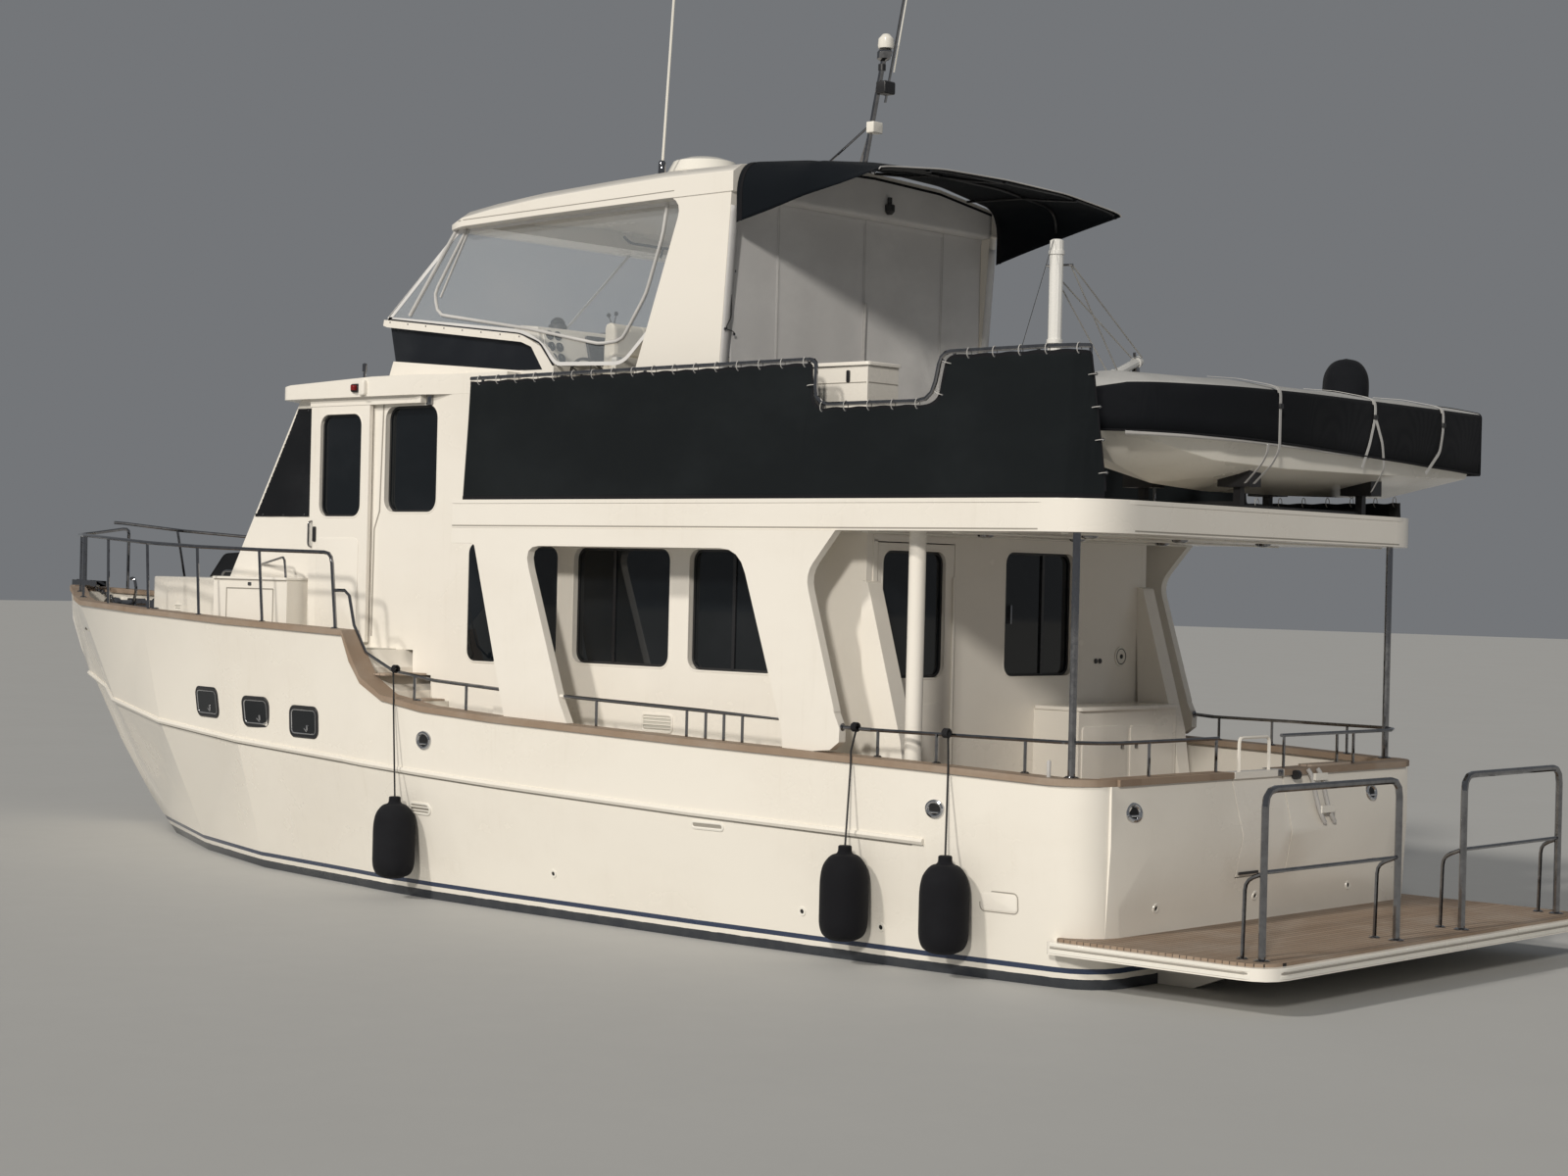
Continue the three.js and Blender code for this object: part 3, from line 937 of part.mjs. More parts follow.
// Each hangs at x, and its lanyard is tied to the rail ahead of it.
[['fore', -730, 240, along(sweepLine, -490, 'z')], ['middle', -5440, 110, transomRailZ], ['aft', -6280, 170, transomRailZ],
].forEach(([name, x, ahead, railZ]) => {
  const [waterY, waterZ, knuckleY, knuckleZ] = ['waterY', 'waterZ', 'knuckleY', 'knuckleZ']
    .map((column) => along(stations, x, column));
  const hullY = THREE.MathUtils.mapLinear(fenderZ + 420, waterZ, knuckleZ, waterY, knuckleY);
  const centreY = hullY + fenderRadius + 1;
  const body = turned([
    [0, 0], [90, 15], [150, 80], [fenderRadius, 200], [fenderRadius, 400], [120, 520], [45, 580], [40, fenderHeight],
    [0, fenderHeight]], x, centreY, fenderZ, 14);
  const tieX = x + ahead;
  const edgeX = x + ahead * 0.4;
  const edgeY = Math.max(sheerHalf(edgeX - lanyard), sheerHalf(edgeX + lanyard)) + capOverhang + lanyard * Math.cos(Math.PI / 8)
    + gap;
  const line = tube([
    [tieX, capY(tieX) - 5, railZ + 15 + lanyard], [tieX, capY(tieX) + 24, railZ + 15 + lanyard],
    [tieX, capY(tieX) + 27, railZ - 10], [edgeX, edgeY, sheerTop(edgeX) + 40],
    [edgeX, edgeY, sheerTop(edgeX) - 60], [x, centreY, fenderZ + fenderHeight - 10]], lanyard, 8);
  place(`fender_${name}`, join(body, line), 'rubber');
});

// Radar with the whip antenna beside it, and the light mast with the second whip, on the hardtop
const radarX = -1700;
const radarZ = hardtopTop(radarX) + crown;
const hardtopBed = moved(hardtopSolid, 0, 0, gap);
const radome = turned([
  [0, -20], [150, -20], [150, 90], [300, 120], [310, 190], [260, 280], [150, 315], [0, 320]], radarX, 0, radarZ, 20);
const whipFoot = { x: -1620, y: 420 };
const whipPort = join(
  block(whipFoot.x - 40, whipFoot.x + 20, 0, whipFoot.y + 30, radarZ + 20, radarZ + 40),
  tube([[whipFoot.x, whipFoot.y, radarZ + 20], [whipFoot.x, whipFoot.y, radarZ + 190]], 26, 8),
  tube([[whipFoot.x, whipFoot.y, radarZ + 150], [whipFoot.x - 140, whipFoot.y, radarZ + 2300]], 11, 6));
place('radar_dome', cut(join(radome, whipPort), hardtopBed), 'gelcoat');
const mastFoot = { x: -3490, y: 60 };
const mastLean = -0.21;
const lightZ = hardtopTop(mastFoot.x) + crown;
const leaned = (body) => moved(moved(body, -mastFoot.x, 0, -lightZ).transform([
  1, 0, 0, 0, 0, 1, 0, 0, mastLean, 0, 1, 0, 0, 0, 0, 1]), mastFoot.x, 0, lightZ);
const lightPost = leaned(join(
  turned([[0, 10], [22, 10], [22, 860], [55, 880], [62, 930], [40, 965], [0, 975]], mastFoot.x, mastFoot.y, lightZ, 12),
  block(mastFoot.x - 20, mastFoot.x + 20, mastFoot.y - 130, mastFoot.y, lightZ + 620, lightZ + 650),
  tube([[mastFoot.x, mastFoot.y - 110, lightZ + 560], [mastFoot.x, mastFoot.y - 110, lightZ + 2350]], 11, 6)));
const lightFlange = turned([[0, -12], [70, -12], [70, 14], [0, 14]], mastFoot.x, mastFoot.y, lightZ, 12);
place('light_mast', cut(join(lightPost, lightFlange), hardtopBed), 'steel');

export default yacht;
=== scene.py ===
"""A motor yacht afloat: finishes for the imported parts, sewn cloth in place of the plain solids, and fittings."""
import math

import bmesh
import bpy
import numpy as np
from mathutils import Matrix, Vector
from mathutils.bvhtree import BVHTree


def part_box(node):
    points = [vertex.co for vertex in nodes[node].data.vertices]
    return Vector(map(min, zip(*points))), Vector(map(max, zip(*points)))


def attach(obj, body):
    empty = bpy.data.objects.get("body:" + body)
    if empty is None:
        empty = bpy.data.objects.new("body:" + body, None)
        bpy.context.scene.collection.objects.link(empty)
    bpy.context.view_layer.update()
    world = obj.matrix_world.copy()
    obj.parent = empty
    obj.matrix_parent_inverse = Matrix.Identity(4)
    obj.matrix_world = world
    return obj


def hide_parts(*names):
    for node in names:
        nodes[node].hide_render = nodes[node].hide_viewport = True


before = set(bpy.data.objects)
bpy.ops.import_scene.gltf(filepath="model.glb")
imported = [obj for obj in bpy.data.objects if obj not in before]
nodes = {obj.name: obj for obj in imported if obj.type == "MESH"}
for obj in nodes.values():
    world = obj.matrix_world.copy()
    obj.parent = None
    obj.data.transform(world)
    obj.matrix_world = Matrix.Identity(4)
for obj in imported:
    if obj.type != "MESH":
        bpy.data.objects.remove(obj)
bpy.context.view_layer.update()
scene = bpy.context.scene

# In degrees: flatter edges are shaded smoothly, and sharper ones are rounded
SMOOTH_ANGLE = 28
BEVEL_ANGLE = 32


# Camera, floor and light

def stand_camera():
    """The camera on the quay off the port quarter. Its right hand is turned by the roll."""
    yaw, pitch, roll = (math.radians(angle) for angle in (-47.918, -0.144, 1.344))
    forward = Vector((math.cos(pitch) * math.cos(yaw), math.cos(pitch) * math.sin(yaw), math.sin(pitch)))
    level = Vector((math.sin(yaw), -math.cos(yaw), 0))
    rise = level.cross(forward)
    right = math.cos(roll) * level + math.sin(roll) * rise
    up = math.cos(roll) * rise - math.sin(roll) * level
    data = bpy.data.cameras.new("quay_camera")
    data.sensor_fit = "HORIZONTAL"
    data.sensor_width = 36
    data.lens = 36 * 2782.2 / 1600
    data.clip_end = 500
    camera = bpy.data.objects.new("quay_camera", data)
    scene.collection.objects.link(camera)
    camera.matrix_world = Matrix.Translation((-17.462, 16.346, 2.591)) @ Matrix(
        (right, up, -forward)).transposed().to_4x4()
    scene.camera = camera


def light_studio():
    """A broad warm light high to port, a lower one from the port quarter, and an even pale surround."""
    for name, energy, toward in (("high_light", 1.50, (0.09, 0.79, 0.60)), ("low_light", 1.60, (-0.46, 0.81, 0.37))):
        data = bpy.data.lights.new(name, "SUN")
        data.energy = energy
        data.angle = math.radians(5)
        data.color = (1.0, 0.95, 0.87)
        light = bpy.data.objects.new(name, data)
        scene.collection.objects.link(light)
        light.matrix_world = Vector(toward).to_track_quat("Z", "Y").to_matrix().to_4x4()
    world = bpy.data.worlds.new("surround")
    world.use_nodes = True
    background = world.node_tree.nodes["Background"]
    background.inputs["Color"].default_value = (0.60, 0.625, 0.66, 1)
    background.inputs["Strength"].default_value = 0.29
    scene.world = world
    scene.view_settings.view_transform = "Standard"


stand_camera()
light_studio()


# Node kit

def node(tree, kind, inputs=None, **settings):
    """A node with its settings, and its sockets by name or number, each a value or another node's output."""
    made = tree.nodes.new(kind)
    for key, value in settings.items():
        setattr(made, key, value)
    for key, value in (inputs or {}).items():
        if isinstance(value, bpy.types.NodeSocket):
            tree.links.new(value, made.inputs[key])
        else:
            made.inputs[key].default_value = value
    return made


def maths(tree, operation, *values):
    """One Math node's output."""
    return node(tree, "ShaderNodeMath", dict(enumerate(values)), operation=operation).outputs[0]


def blended(tree, factor, first, second):
    """A colour between first and second."""
    return node(tree, "ShaderNodeMix", {0: factor, 6: first, 7: second}, data_type="RGBA").outputs[2]


def between(tree, value, low, high, out_low=0.0, out_high=1.0):
    """value, mapped from low..high to out_low..out_high with soft ends."""
    return node(tree, "ShaderNodeMapRange", {0: value, 1: low, 2: high, 3: out_low, 4: out_high},
                interpolation_type="SMOOTHSTEP").outputs[0]


def split(tree, vector):
    """The three parts of a vector."""
    return node(tree, "ShaderNodeSeparateXYZ", {0: vector}).outputs


def stretched(tree, vector, scale):
    """vector times scale, part by part."""
    return node(tree, "ShaderNodeVectorMath", {0: vector, 1: scale}, operation="MULTIPLY").outputs[0]


def noise(tree, vector, scale, detail=4.0, roughness=0.55):
    """A noise texture's value."""
    return node(tree, "ShaderNodeTexNoise", {"Vector": vector, "Scale": scale, "Detail": detail,
                                             "Roughness": roughness}).outputs[0]


def effect(name, inputs, outputs, build):
    """A shader node group with (name, kind, default) inputs and (name, kind) outputs, which build returns in order."""
    tree = bpy.data.node_groups.new(name, "ShaderNodeTree")
    kinds = {"vector": "NodeSocketVector", "value": "NodeSocketFloat", "colour": "NodeSocketColor"}
    for socket, kind, default in inputs:
        made = tree.interface.new_socket(socket, in_out="INPUT", socket_type=kinds[kind])
        if default is not None:
            made.default_value = default
    for socket, kind in outputs:
        tree.interface.new_socket(socket, in_out="OUTPUT", socket_type=kinds[kind])
    entry = tree.nodes.new("NodeGroupInput")
    leave = tree.nodes.new("NodeGroupOutput")
    results = build(tree, *(entry.outputs[socket] for socket, _, _ in inputs))
    for (socket, _), result in zip(outputs, results):
        tree.links.new(result, leave.inputs[socket])
    return tree


def build_weather(tree, place, size):
    """Dust lies in broad soft clouds, and rain leaves thin upright runs."""
    clouds = between(tree, noise(tree, stretched(tree, place, (1, 1, 1.6)), size, 6.0, 0.62), 0.40, 0.72)
    runs = between(tree, noise(tree, stretched(tree, place, (9, 9, 0.7)), 2.2, 5.0, 0.6), 0.52, 0.78)
    return clouds, maths(tree, "MULTIPLY", runs, clouds)


def build_peel(tree, place, size):
    """A moulded skin's slow waves with a fine ripple on them."""
    waves = noise(tree, place, 1.3, 2.0)
    ripple = noise(tree, place, size, 2.0)
    return (maths(tree, "ADD", waves, maths(tree, "MULTIPLY", ripple, 0.008)),)


def build_planks(tree, along, across, width, seam):
    """Planks side by side: a dark seam on each edge, a tone for each plank, and grain drawn out along it."""
    count = maths(tree, "DIVIDE", across, width)
    inside = maths(tree, "FRACT", count)
    edge = maths(tree, "MINIMUM", inside, maths(tree, "SUBTRACT", 1.0, inside))
    caulk = maths(tree, "LESS_THAN", maths(tree, "MULTIPLY", edge, width), maths(tree, "MULTIPLY", seam, 0.5))
    number = maths(tree, "FLOOR", count)
    tone = node(tree, "ShaderNodeTexWhiteNoise", {"W": number}, noise_dimensions="1D").outputs[0]
    place = node(tree, "ShaderNodeCombineXYZ", {0: maths(tree, "MULTIPLY", along, 5.0),
                                               1: maths(tree, "MULTIPLY", across, 160.0), 2: number}).outputs[0]
    return caulk, tone, noise(tree, place, 1.0, 5.0, 0.65)


def build_weave(tree, along, across, pitch):
    """Threads that pass over and under each other, once each pitch both ways."""
    turn = maths(tree, "DIVIDE", 2 * math.pi, pitch)
    warp = maths(tree, "SINE", maths(tree, "MULTIPLY", along, turn))
    weft = maths(tree, "SINE", maths(tree, "MULTIPLY", across, turn))
    crossing = maths(tree, "MULTIPLY", warp, weft)
    return (maths(tree, "ADD", maths(tree, "MULTIPLY", crossing, 0.5), 0.5),)


def build_handling(tree, place, size):
    """Water marks and finger marks: small rounded patches, half of them clear."""
    marks = noise(tree, place, size, 3.0, 0.7)
    return (between(tree, marks, 0.35, 0.7),)


weather = effect("rain_and_dust", [("Place", "vector", None), ("Size", "value", 0.6)],
                 [("Dust", "value"), ("Runs", "value")], build_weather)
peel = effect("moulded_skin", [("Place", "vector", None), ("Size", "value", 60.0)], [("Height", "value")], build_peel)
planks = effect("laid_planks", [("Along", "value", 0.0), ("Across", "value", 0.0), ("Width", "value", 0.05),
                                ("Seam", "value", 0.005)],
                [("Seam", "value"), ("Tone", "value"), ("Grain", "value")], build_planks)
weave = effect("woven_thread", [("Along", "value", 0.0), ("Across", "value", 0.0), ("Pitch", "value", 0.004)],
               [("Height", "value")], build_weave)
handling = effect("water_marks", [("Place", "vector", None), ("Size", "value", 14.0)], [("Mask", "value")],
                  build_handling)


class Finish:
    """A material with its Principled shader, object coordinates and the few ways in which these finishes vary."""

    def __init__(self, name, **constants):
        self.material = bpy.data.materials.new(name)
        self.material.use_nodes = True
        self.tree = self.material.node_tree
        self.shader = self.tree.nodes["Principled BSDF"]
        for socket, value in constants.items():
            self.shader.inputs[socket.replace("_", " ").title().replace("Ior", "IOR")].default_value = value
        self.place = node(self.tree, "ShaderNodeTexCoord").outputs["Object"]

    def use(self, group, **inputs):
        """That effect's outputs in this material."""
        return node(self.tree, "ShaderNodeGroup", inputs, node_tree=group).outputs

    def colour(self, socket):
        self.tree.links.new(socket, self.shader.inputs["Base Color"])

    def rough(self, mask, low, high):
        self.tree.links.new(between(self.tree, mask, 0.0, 1.0, low, high), self.shader.inputs["Roughness"])

    def bump(self, height, distance, strength=1.0):
        made = node(self.tree, "ShaderNodeBump", {"Height": height, "Distance": distance, "Strength": strength})
        self.tree.links.new(made.outputs[0], self.shader.inputs["Normal"])


def opaque(red, green, blue):
    return (red, green, blue, 1.0)


def moulded(name, light, dusty, rough=(0.16, 0.34)):
    """Gelcoat or gloss paint: clean colour, dust in clouds, rain runs, and a moulded skin's slow waves."""
    made = Finish(name, specular_ior_level=0.5)
    dust, runs = made.use(weather, Place=made.place, Size=0.55)[:2]
    worn = maths(made.tree, "ADD", maths(made.tree, "MULTIPLY", dust, 0.30), maths(made.tree, "MULTIPLY", runs, 0.35))
    made.colour(blended(made.tree, worn, opaque(*light), opaque(*dusty)))
    made.rough(dust, *rough)
    made.bump(made.use(peel, Place=made.place)[0], 0.004, 0.35)
    return made


def timber(name, along, across, width, seam, pale=(0.36, 0.275, 0.205), dark=(0.235, 0.165, 0.115)):
    """Weathered teak, laid along one axis. along and across are 0, 1 or 2 for X, Y or Z."""
    made = Finish(name, specular_ior_level=0.25)
    parts = split(made.tree, made.place)
    lines, tone, grain = made.use(planks, Along=parts[along], Across=parts[across], Width=width, Seam=seam)[:3]
    dust = made.use(weather, Place=made.place, Size=1.6)[0]
    wood = blended(made.tree, maths(made.tree, "ADD", maths(made.tree, "MULTIPLY", tone, 0.4),
                                    maths(made.tree, "MULTIPLY", grain, 0.55)), opaque(*dark), opaque(*pale))
    silvered = blended(made.tree, maths(made.tree, "MULTIPLY", dust, 0.35), wood, opaque(0.44, 0.39, 0.34))
    made.colour(blended(made.tree, lines, silvered, opaque(0.025, 0.022, 0.02)))
    made.rough(grain, 0.5, 0.8)
    made.bump(maths(made.tree, "SUBTRACT", grain, maths(made.tree, "MULTIPLY", lines, 1.5)), 0.0012)
    return made


def cloth(name, thread, shaded, uv=True):
    """Woven cloth that follows the piece's own UV map in metres, faded in soft clouds. Its low threads are drawn
    towards the shaded colour and its raised threads towards the thread colour: painted shade and painted highlight in
    the weave.
    """
    made = Finish(name, specular_ior_level=0.12, sheen_weight=0.03, sheen_roughness=0.5)
    where = node(made.tree, "ShaderNodeUVMap", uv_map="cloth").outputs[0] if uv else made.place
    parts = split(made.tree, where)
    height = made.use(weave, Along=parts[0], Across=parts[1], Pitch=0.003)[0]
    dust = made.use(weather, Place=made.place, Size=0.9)[0]
    # Dust fades the cloth, and the weave's height adds painted shade in its dips and painted highlight on its raised
    # threads
    dust_fade_and_weave_shade = maths(made.tree, "ADD", maths(made.tree, "MULTIPLY", dust, 0.65), maths(made.tree, "MULTIPLY", height, 0.25))
    made.colour(blended(made.tree, dust_fade_and_weave_shade, opaque(*shaded), opaque(*thread)))
    made.rough(height, 0.7, 0.95)
    made.bump(height, 0.0004)
    return made


def bright(name, base, rough=(0.06, 0.24), dull=(0.42, 0.42, 0.43)):
    """Polished or cast metal with water marks."""
    made = Finish(name, metallic=1.0)
    marks = made.use(handling, Place=made.place)[0]
    made.colour(blended(made.tree, maths(made.tree, "MULTIPLY", marks, 0.5), opaque(*base), opaque(*dull)))
    made.rough(marks, *rough)
    return made


def tinted(name, base, streak, rough=(0.03, 0.09), **constants):
    """Glass or film: nearly one colour, with faint dust clouds."""
    made = Finish(name, specular_ior_level=0.4, **constants)
    dust, runs = made.use(weather, Place=made.place, Size=1.1)[:2]
    made.colour(blended(made.tree, maths(made.tree, "MULTIPLY", dust, 0.6), opaque(*base), opaque(*streak)))
    made.rough(runs, *rough)
    return made


def railed_panel():
    """The side panels' gelcoat. The low rail in the panel's opening belongs to the same part: inside the opening and
    below the rail's top, which rises forward, the finish is polished steel."""
    made = moulded("side_panel_gelcoat", (0.85, 0.81, 0.740), (0.72, 0.67, 0.59))
    x, _, z = split(made.tree, made.place)
    slant = maths(made.tree, "ADD", -3.208, maths(made.tree, "MULTIPLY", z, 0.45))
    rail_top = maths(made.tree, "ADD", 1.802, maths(made.tree, "MULTIPLY", x, 0.0365))
    inside = maths(made.tree, "MULTIPLY", maths(made.tree, "LESS_THAN", z, rail_top),
                   maths(made.tree, "MULTIPLY", maths(made.tree, "GREATER_THAN", x, -4.655),
                         maths(made.tree, "LESS_THAN", x, slant)))
    clean = made.shader.inputs["Base Color"].links[0].from_socket
    # The rail's darkened steel colour stands in for the dark surroundings it mirrors: a painted reflection
    made.colour(blended(made.tree, inside, clean, opaque(0.28, 0.28, 0.29)))
    made.tree.links.new(inside, made.shader.inputs["Metallic"])
    made.rough(inside, 0.24, 0.09)
    return made


def painted_hull():
    """The hull's gelcoat, with the bottom paint below the waterline and its thin boot top."""
    made = moulded("hull_gelcoat", (0.84, 0.80, 0.725), (0.72, 0.67, 0.585))
    height = split(made.tree, made.place)[2]
    clean = made.shader.inputs["Base Color"].links[0].from_socket
    scum = noise(made.tree, made.place, 7.0)
    edge = maths(made.tree, "ADD", height, maths(made.tree, "MULTIPLY", scum, 0.012))
    bottom = blended(made.tree, scum, opaque(0.02, 0.024, 0.035), opaque(0.06, 0.065, 0.07))
    topped = blended(made.tree, maths(made.tree, "LESS_THAN", edge, 0.075), clean, bottom)
    stripe = maths(made.tree, "MULTIPLY", maths(made.tree, "GREATER_THAN", height, 0.105),
                   maths(made.tree, "LESS_THAN", height, 0.14))
    made.colour(blended(made.tree, stripe, topped, opaque(0.03, 0.045, 0.09)))
    return made


finish = {
    "hull": painted_hull(),
    "panel": railed_panel(),
    "gelcoat": moulded("gelcoat", (0.85, 0.81, 0.740), (0.72, 0.67, 0.59)),
    "pale_gelcoat": moulded("pale_gelcoat", (0.83, 0.80, 0.73), (0.66, 0.63, 0.56)),
    "alloy": moulded("white_alloy", (0.80, 0.79, 0.76), (0.66, 0.64, 0.60), rough=(0.3, 0.45)),
    "engine": moulded("engine_paint", (0.28, 0.31, 0.34), (0.16, 0.17, 0.18), rough=(0.4, 0.6)),
    "antifoul": moulded("bottom_paint", (0.03, 0.035, 0.045), (0.075, 0.08, 0.08), rough=(0.6, 0.85)),
    "cap": timber("teak_cap", 0, 1, width=0.4, seam=0.0),
    "platform": timber("teak_platform", 1, 0, width=0.052, seam=0.005),
    "sole": timber("teak_sole", 0, 1, width=0.052, seam=0.005),
    # The polished steel's colours are darkened to stand in for the dark surroundings it mirrors: a painted reflection
    "steel": bright("polished_steel", (0.30, 0.30, 0.31), rough=(0.04, 0.13), dull=(0.15, 0.15, 0.16)),
    "bronze": bright("cast_bronze", (0.50, 0.36, 0.18), rough=(0.3, 0.5), dull=(0.20, 0.16, 0.09)),
    "glass": tinted("dark_glass", (0.006, 0.008, 0.010), (0.013, 0.015, 0.018)),
    "smoked": tinted("smoked_screen", (0.012, 0.014, 0.018), (0.030, 0.033, 0.038), alpha=0.86),
    "film": tinted("clear_film", (0.70, 0.77, 0.84), (0.80, 0.84, 0.88), rough=(0.04, 0.16), alpha=0.11),
    "canvas": cloth("black_canvas", (0.0125, 0.0155, 0.0175), (0.0065, 0.0085, 0.010)),
    "rubber": moulded("black_vinyl", (0.010, 0.010, 0.012), (0.030, 0.030, 0.032), rough=(0.35, 0.6)),
    "vinyl": moulded("cream_vinyl", (0.74, 0.69, 0.59), (0.58, 0.53, 0.45), rough=(0.4, 0.55)),
}


for cloth_name, thread, shaded in [("awning", (0.0065, 0.0095, 0.0135), (0.0030, 0.0048, 0.0075)),
                                   ("binding", (0.016, 0.017, 0.020), (0.008, 0.008, 0.010)),
                                   ("mesh_cloth", (0.017, 0.018, 0.021), (0.006, 0.007, 0.009)),
                                   ("curtain", (0.80, 0.79, 0.78), (0.66, 0.65, 0.645)),
                                   ("cover_top", (0.50, 0.50, 0.49), (0.33, 0.33, 0.325)),
                                   ("cover_side", (0.012, 0.013, 0.016), (0.005, 0.006, 0.008)),
                                   ("white_webbing", (0.66, 0.65, 0.63), (0.44, 0.43, 0.42)),
                                   ("zip", (0.72, 0.71, 0.69), (0.50, 0.49, 0.48)),
                                   ("line", (0.70, 0.69, 0.66), (0.42, 0.41, 0.40)),
                                   ("cord", (0.035, 0.035, 0.038), (0.012, 0.012, 0.014))]:
    on_sheet = cloth_name in ("awning", "mesh_cloth", "curtain", "cover_top")
    finish[cloth_name] = cloth(cloth_name, thread, shaded, on_sheet)
finish["chrome"] = bright("chromed_brass", (0.70, 0.70, 0.71), rough=(0.05, 0.18))
finish["frame"] = moulded("dark_frame", (0.012, 0.012, 0.014), (0.035, 0.035, 0.036), rough=(0.25, 0.45))
finish["gasket"] = moulded("black_gasket", (0.010, 0.010, 0.011), (0.035, 0.035, 0.035), rough=(0.5, 0.7))
# The mouths of pipes and outlets are plates painted near black: painted shade inside them
finish["hole"] = moulded("mouth_painted_shade", (0.006, 0.006, 0.007), (0.014, 0.014, 0.014), rough=(0.6, 0.8))
finish["seam"] = moulded("seam_shadow", (0.34, 0.315, 0.275), (0.24, 0.22, 0.195), rough=(0.5, 0.7))
finish["nonskid"] = moulded("nonskid_deck", (0.58, 0.56, 0.50), (0.44, 0.42, 0.37), rough=(0.6, 0.85))
finish["pale_teak"] = timber("pale_teak", 1, 0, width=0.060, seam=0.004, pale=(0.47, 0.38, 0.30),
                             dark=(0.34, 0.26, 0.20))
finish["lens"] = tinted("frosted_lens", (0.80, 0.80, 0.76), (0.66, 0.66, 0.62), rough=(0.15, 0.3))
finish["red_lens"] = tinted("red_lens", (0.20, 0.008, 0.008), (0.14, 0.012, 0.012), rough=(0.08, 0.2))
finish["green_lens"] = tinted("green_lens", (0.006, 0.11, 0.045), (0.012, 0.08, 0.035), rough=(0.08, 0.2))
finish["black_plastic"] = moulded("black_plastic", (0.018, 0.018, 0.020), (0.06, 0.06, 0.06), rough=(0.35, 0.55))


def crease_shading():
    """A geometry node group that shades smoothly over every edge flatter than the given angle."""
    tree = bpy.data.node_groups.new("crease_shading", "GeometryNodeTree")
    tree.is_modifier = True
    tree.interface.new_socket("Geometry", in_out="INPUT", socket_type="NodeSocketGeometry")
    tree.interface.new_socket("Geometry", in_out="OUTPUT", socket_type="NodeSocketGeometry")
    entry = tree.nodes.new("NodeGroupInput")
    leave = tree.nodes.new("NodeGroupOutput")
    flat = node(tree, "FunctionNodeCompare", {1: math.radians(SMOOTH_ANGLE)}, data_type="FLOAT", operation="LESS_THAN")
    tree.links.new(node(tree, "GeometryNodeInputMeshEdgeAngle").outputs[0], flat.inputs[0])
    faces = node(tree, "GeometryNodeSetShadeSmooth", {"Geometry": entry.outputs[0], "Shade Smooth": True},
                 domain="FACE")
    edges = node(tree, "GeometryNodeSetShadeSmooth", {"Geometry": faces.outputs[0], "Shade Smooth": flat.outputs[0]},
                 domain="EDGE")
    tree.links.new(edges.outputs[0], leave.inputs[0])
    return tree


creases = crease_shading()


def dress(name, look, edge):
    """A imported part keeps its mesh. Its loose triangles are merged, its flats made whole, its edges rounded."""
    part = nodes[name]
    part.data.materials.clear()
    part.data.materials.append(finish[look].material)
    weld = part.modifiers.new("merged", "WELD")
    weld.merge_threshold = 0.0001
    if edge:
        flats = part.modifiers.new("flats", "DECIMATE")
        flats.decimate_type = "DISSOLVE"
        flats.angle_limit = math.radians(0.4)
        rounding = part.modifiers.new("rounded", "BEVEL")
        rounding.width = edge
        rounding.segments = 2
        rounding.limit_method = "ANGLE"
        rounding.angle_limit = math.radians(BEVEL_ANGLE)
        rounding.harden_normals = False
    shading = part.modifiers.new("shading", "NODES")
    shading.node_group = creases
    weighted = part.modifiers.new("weighted", "WEIGHTED_NORMAL")
    weighted.keep_sharp = True


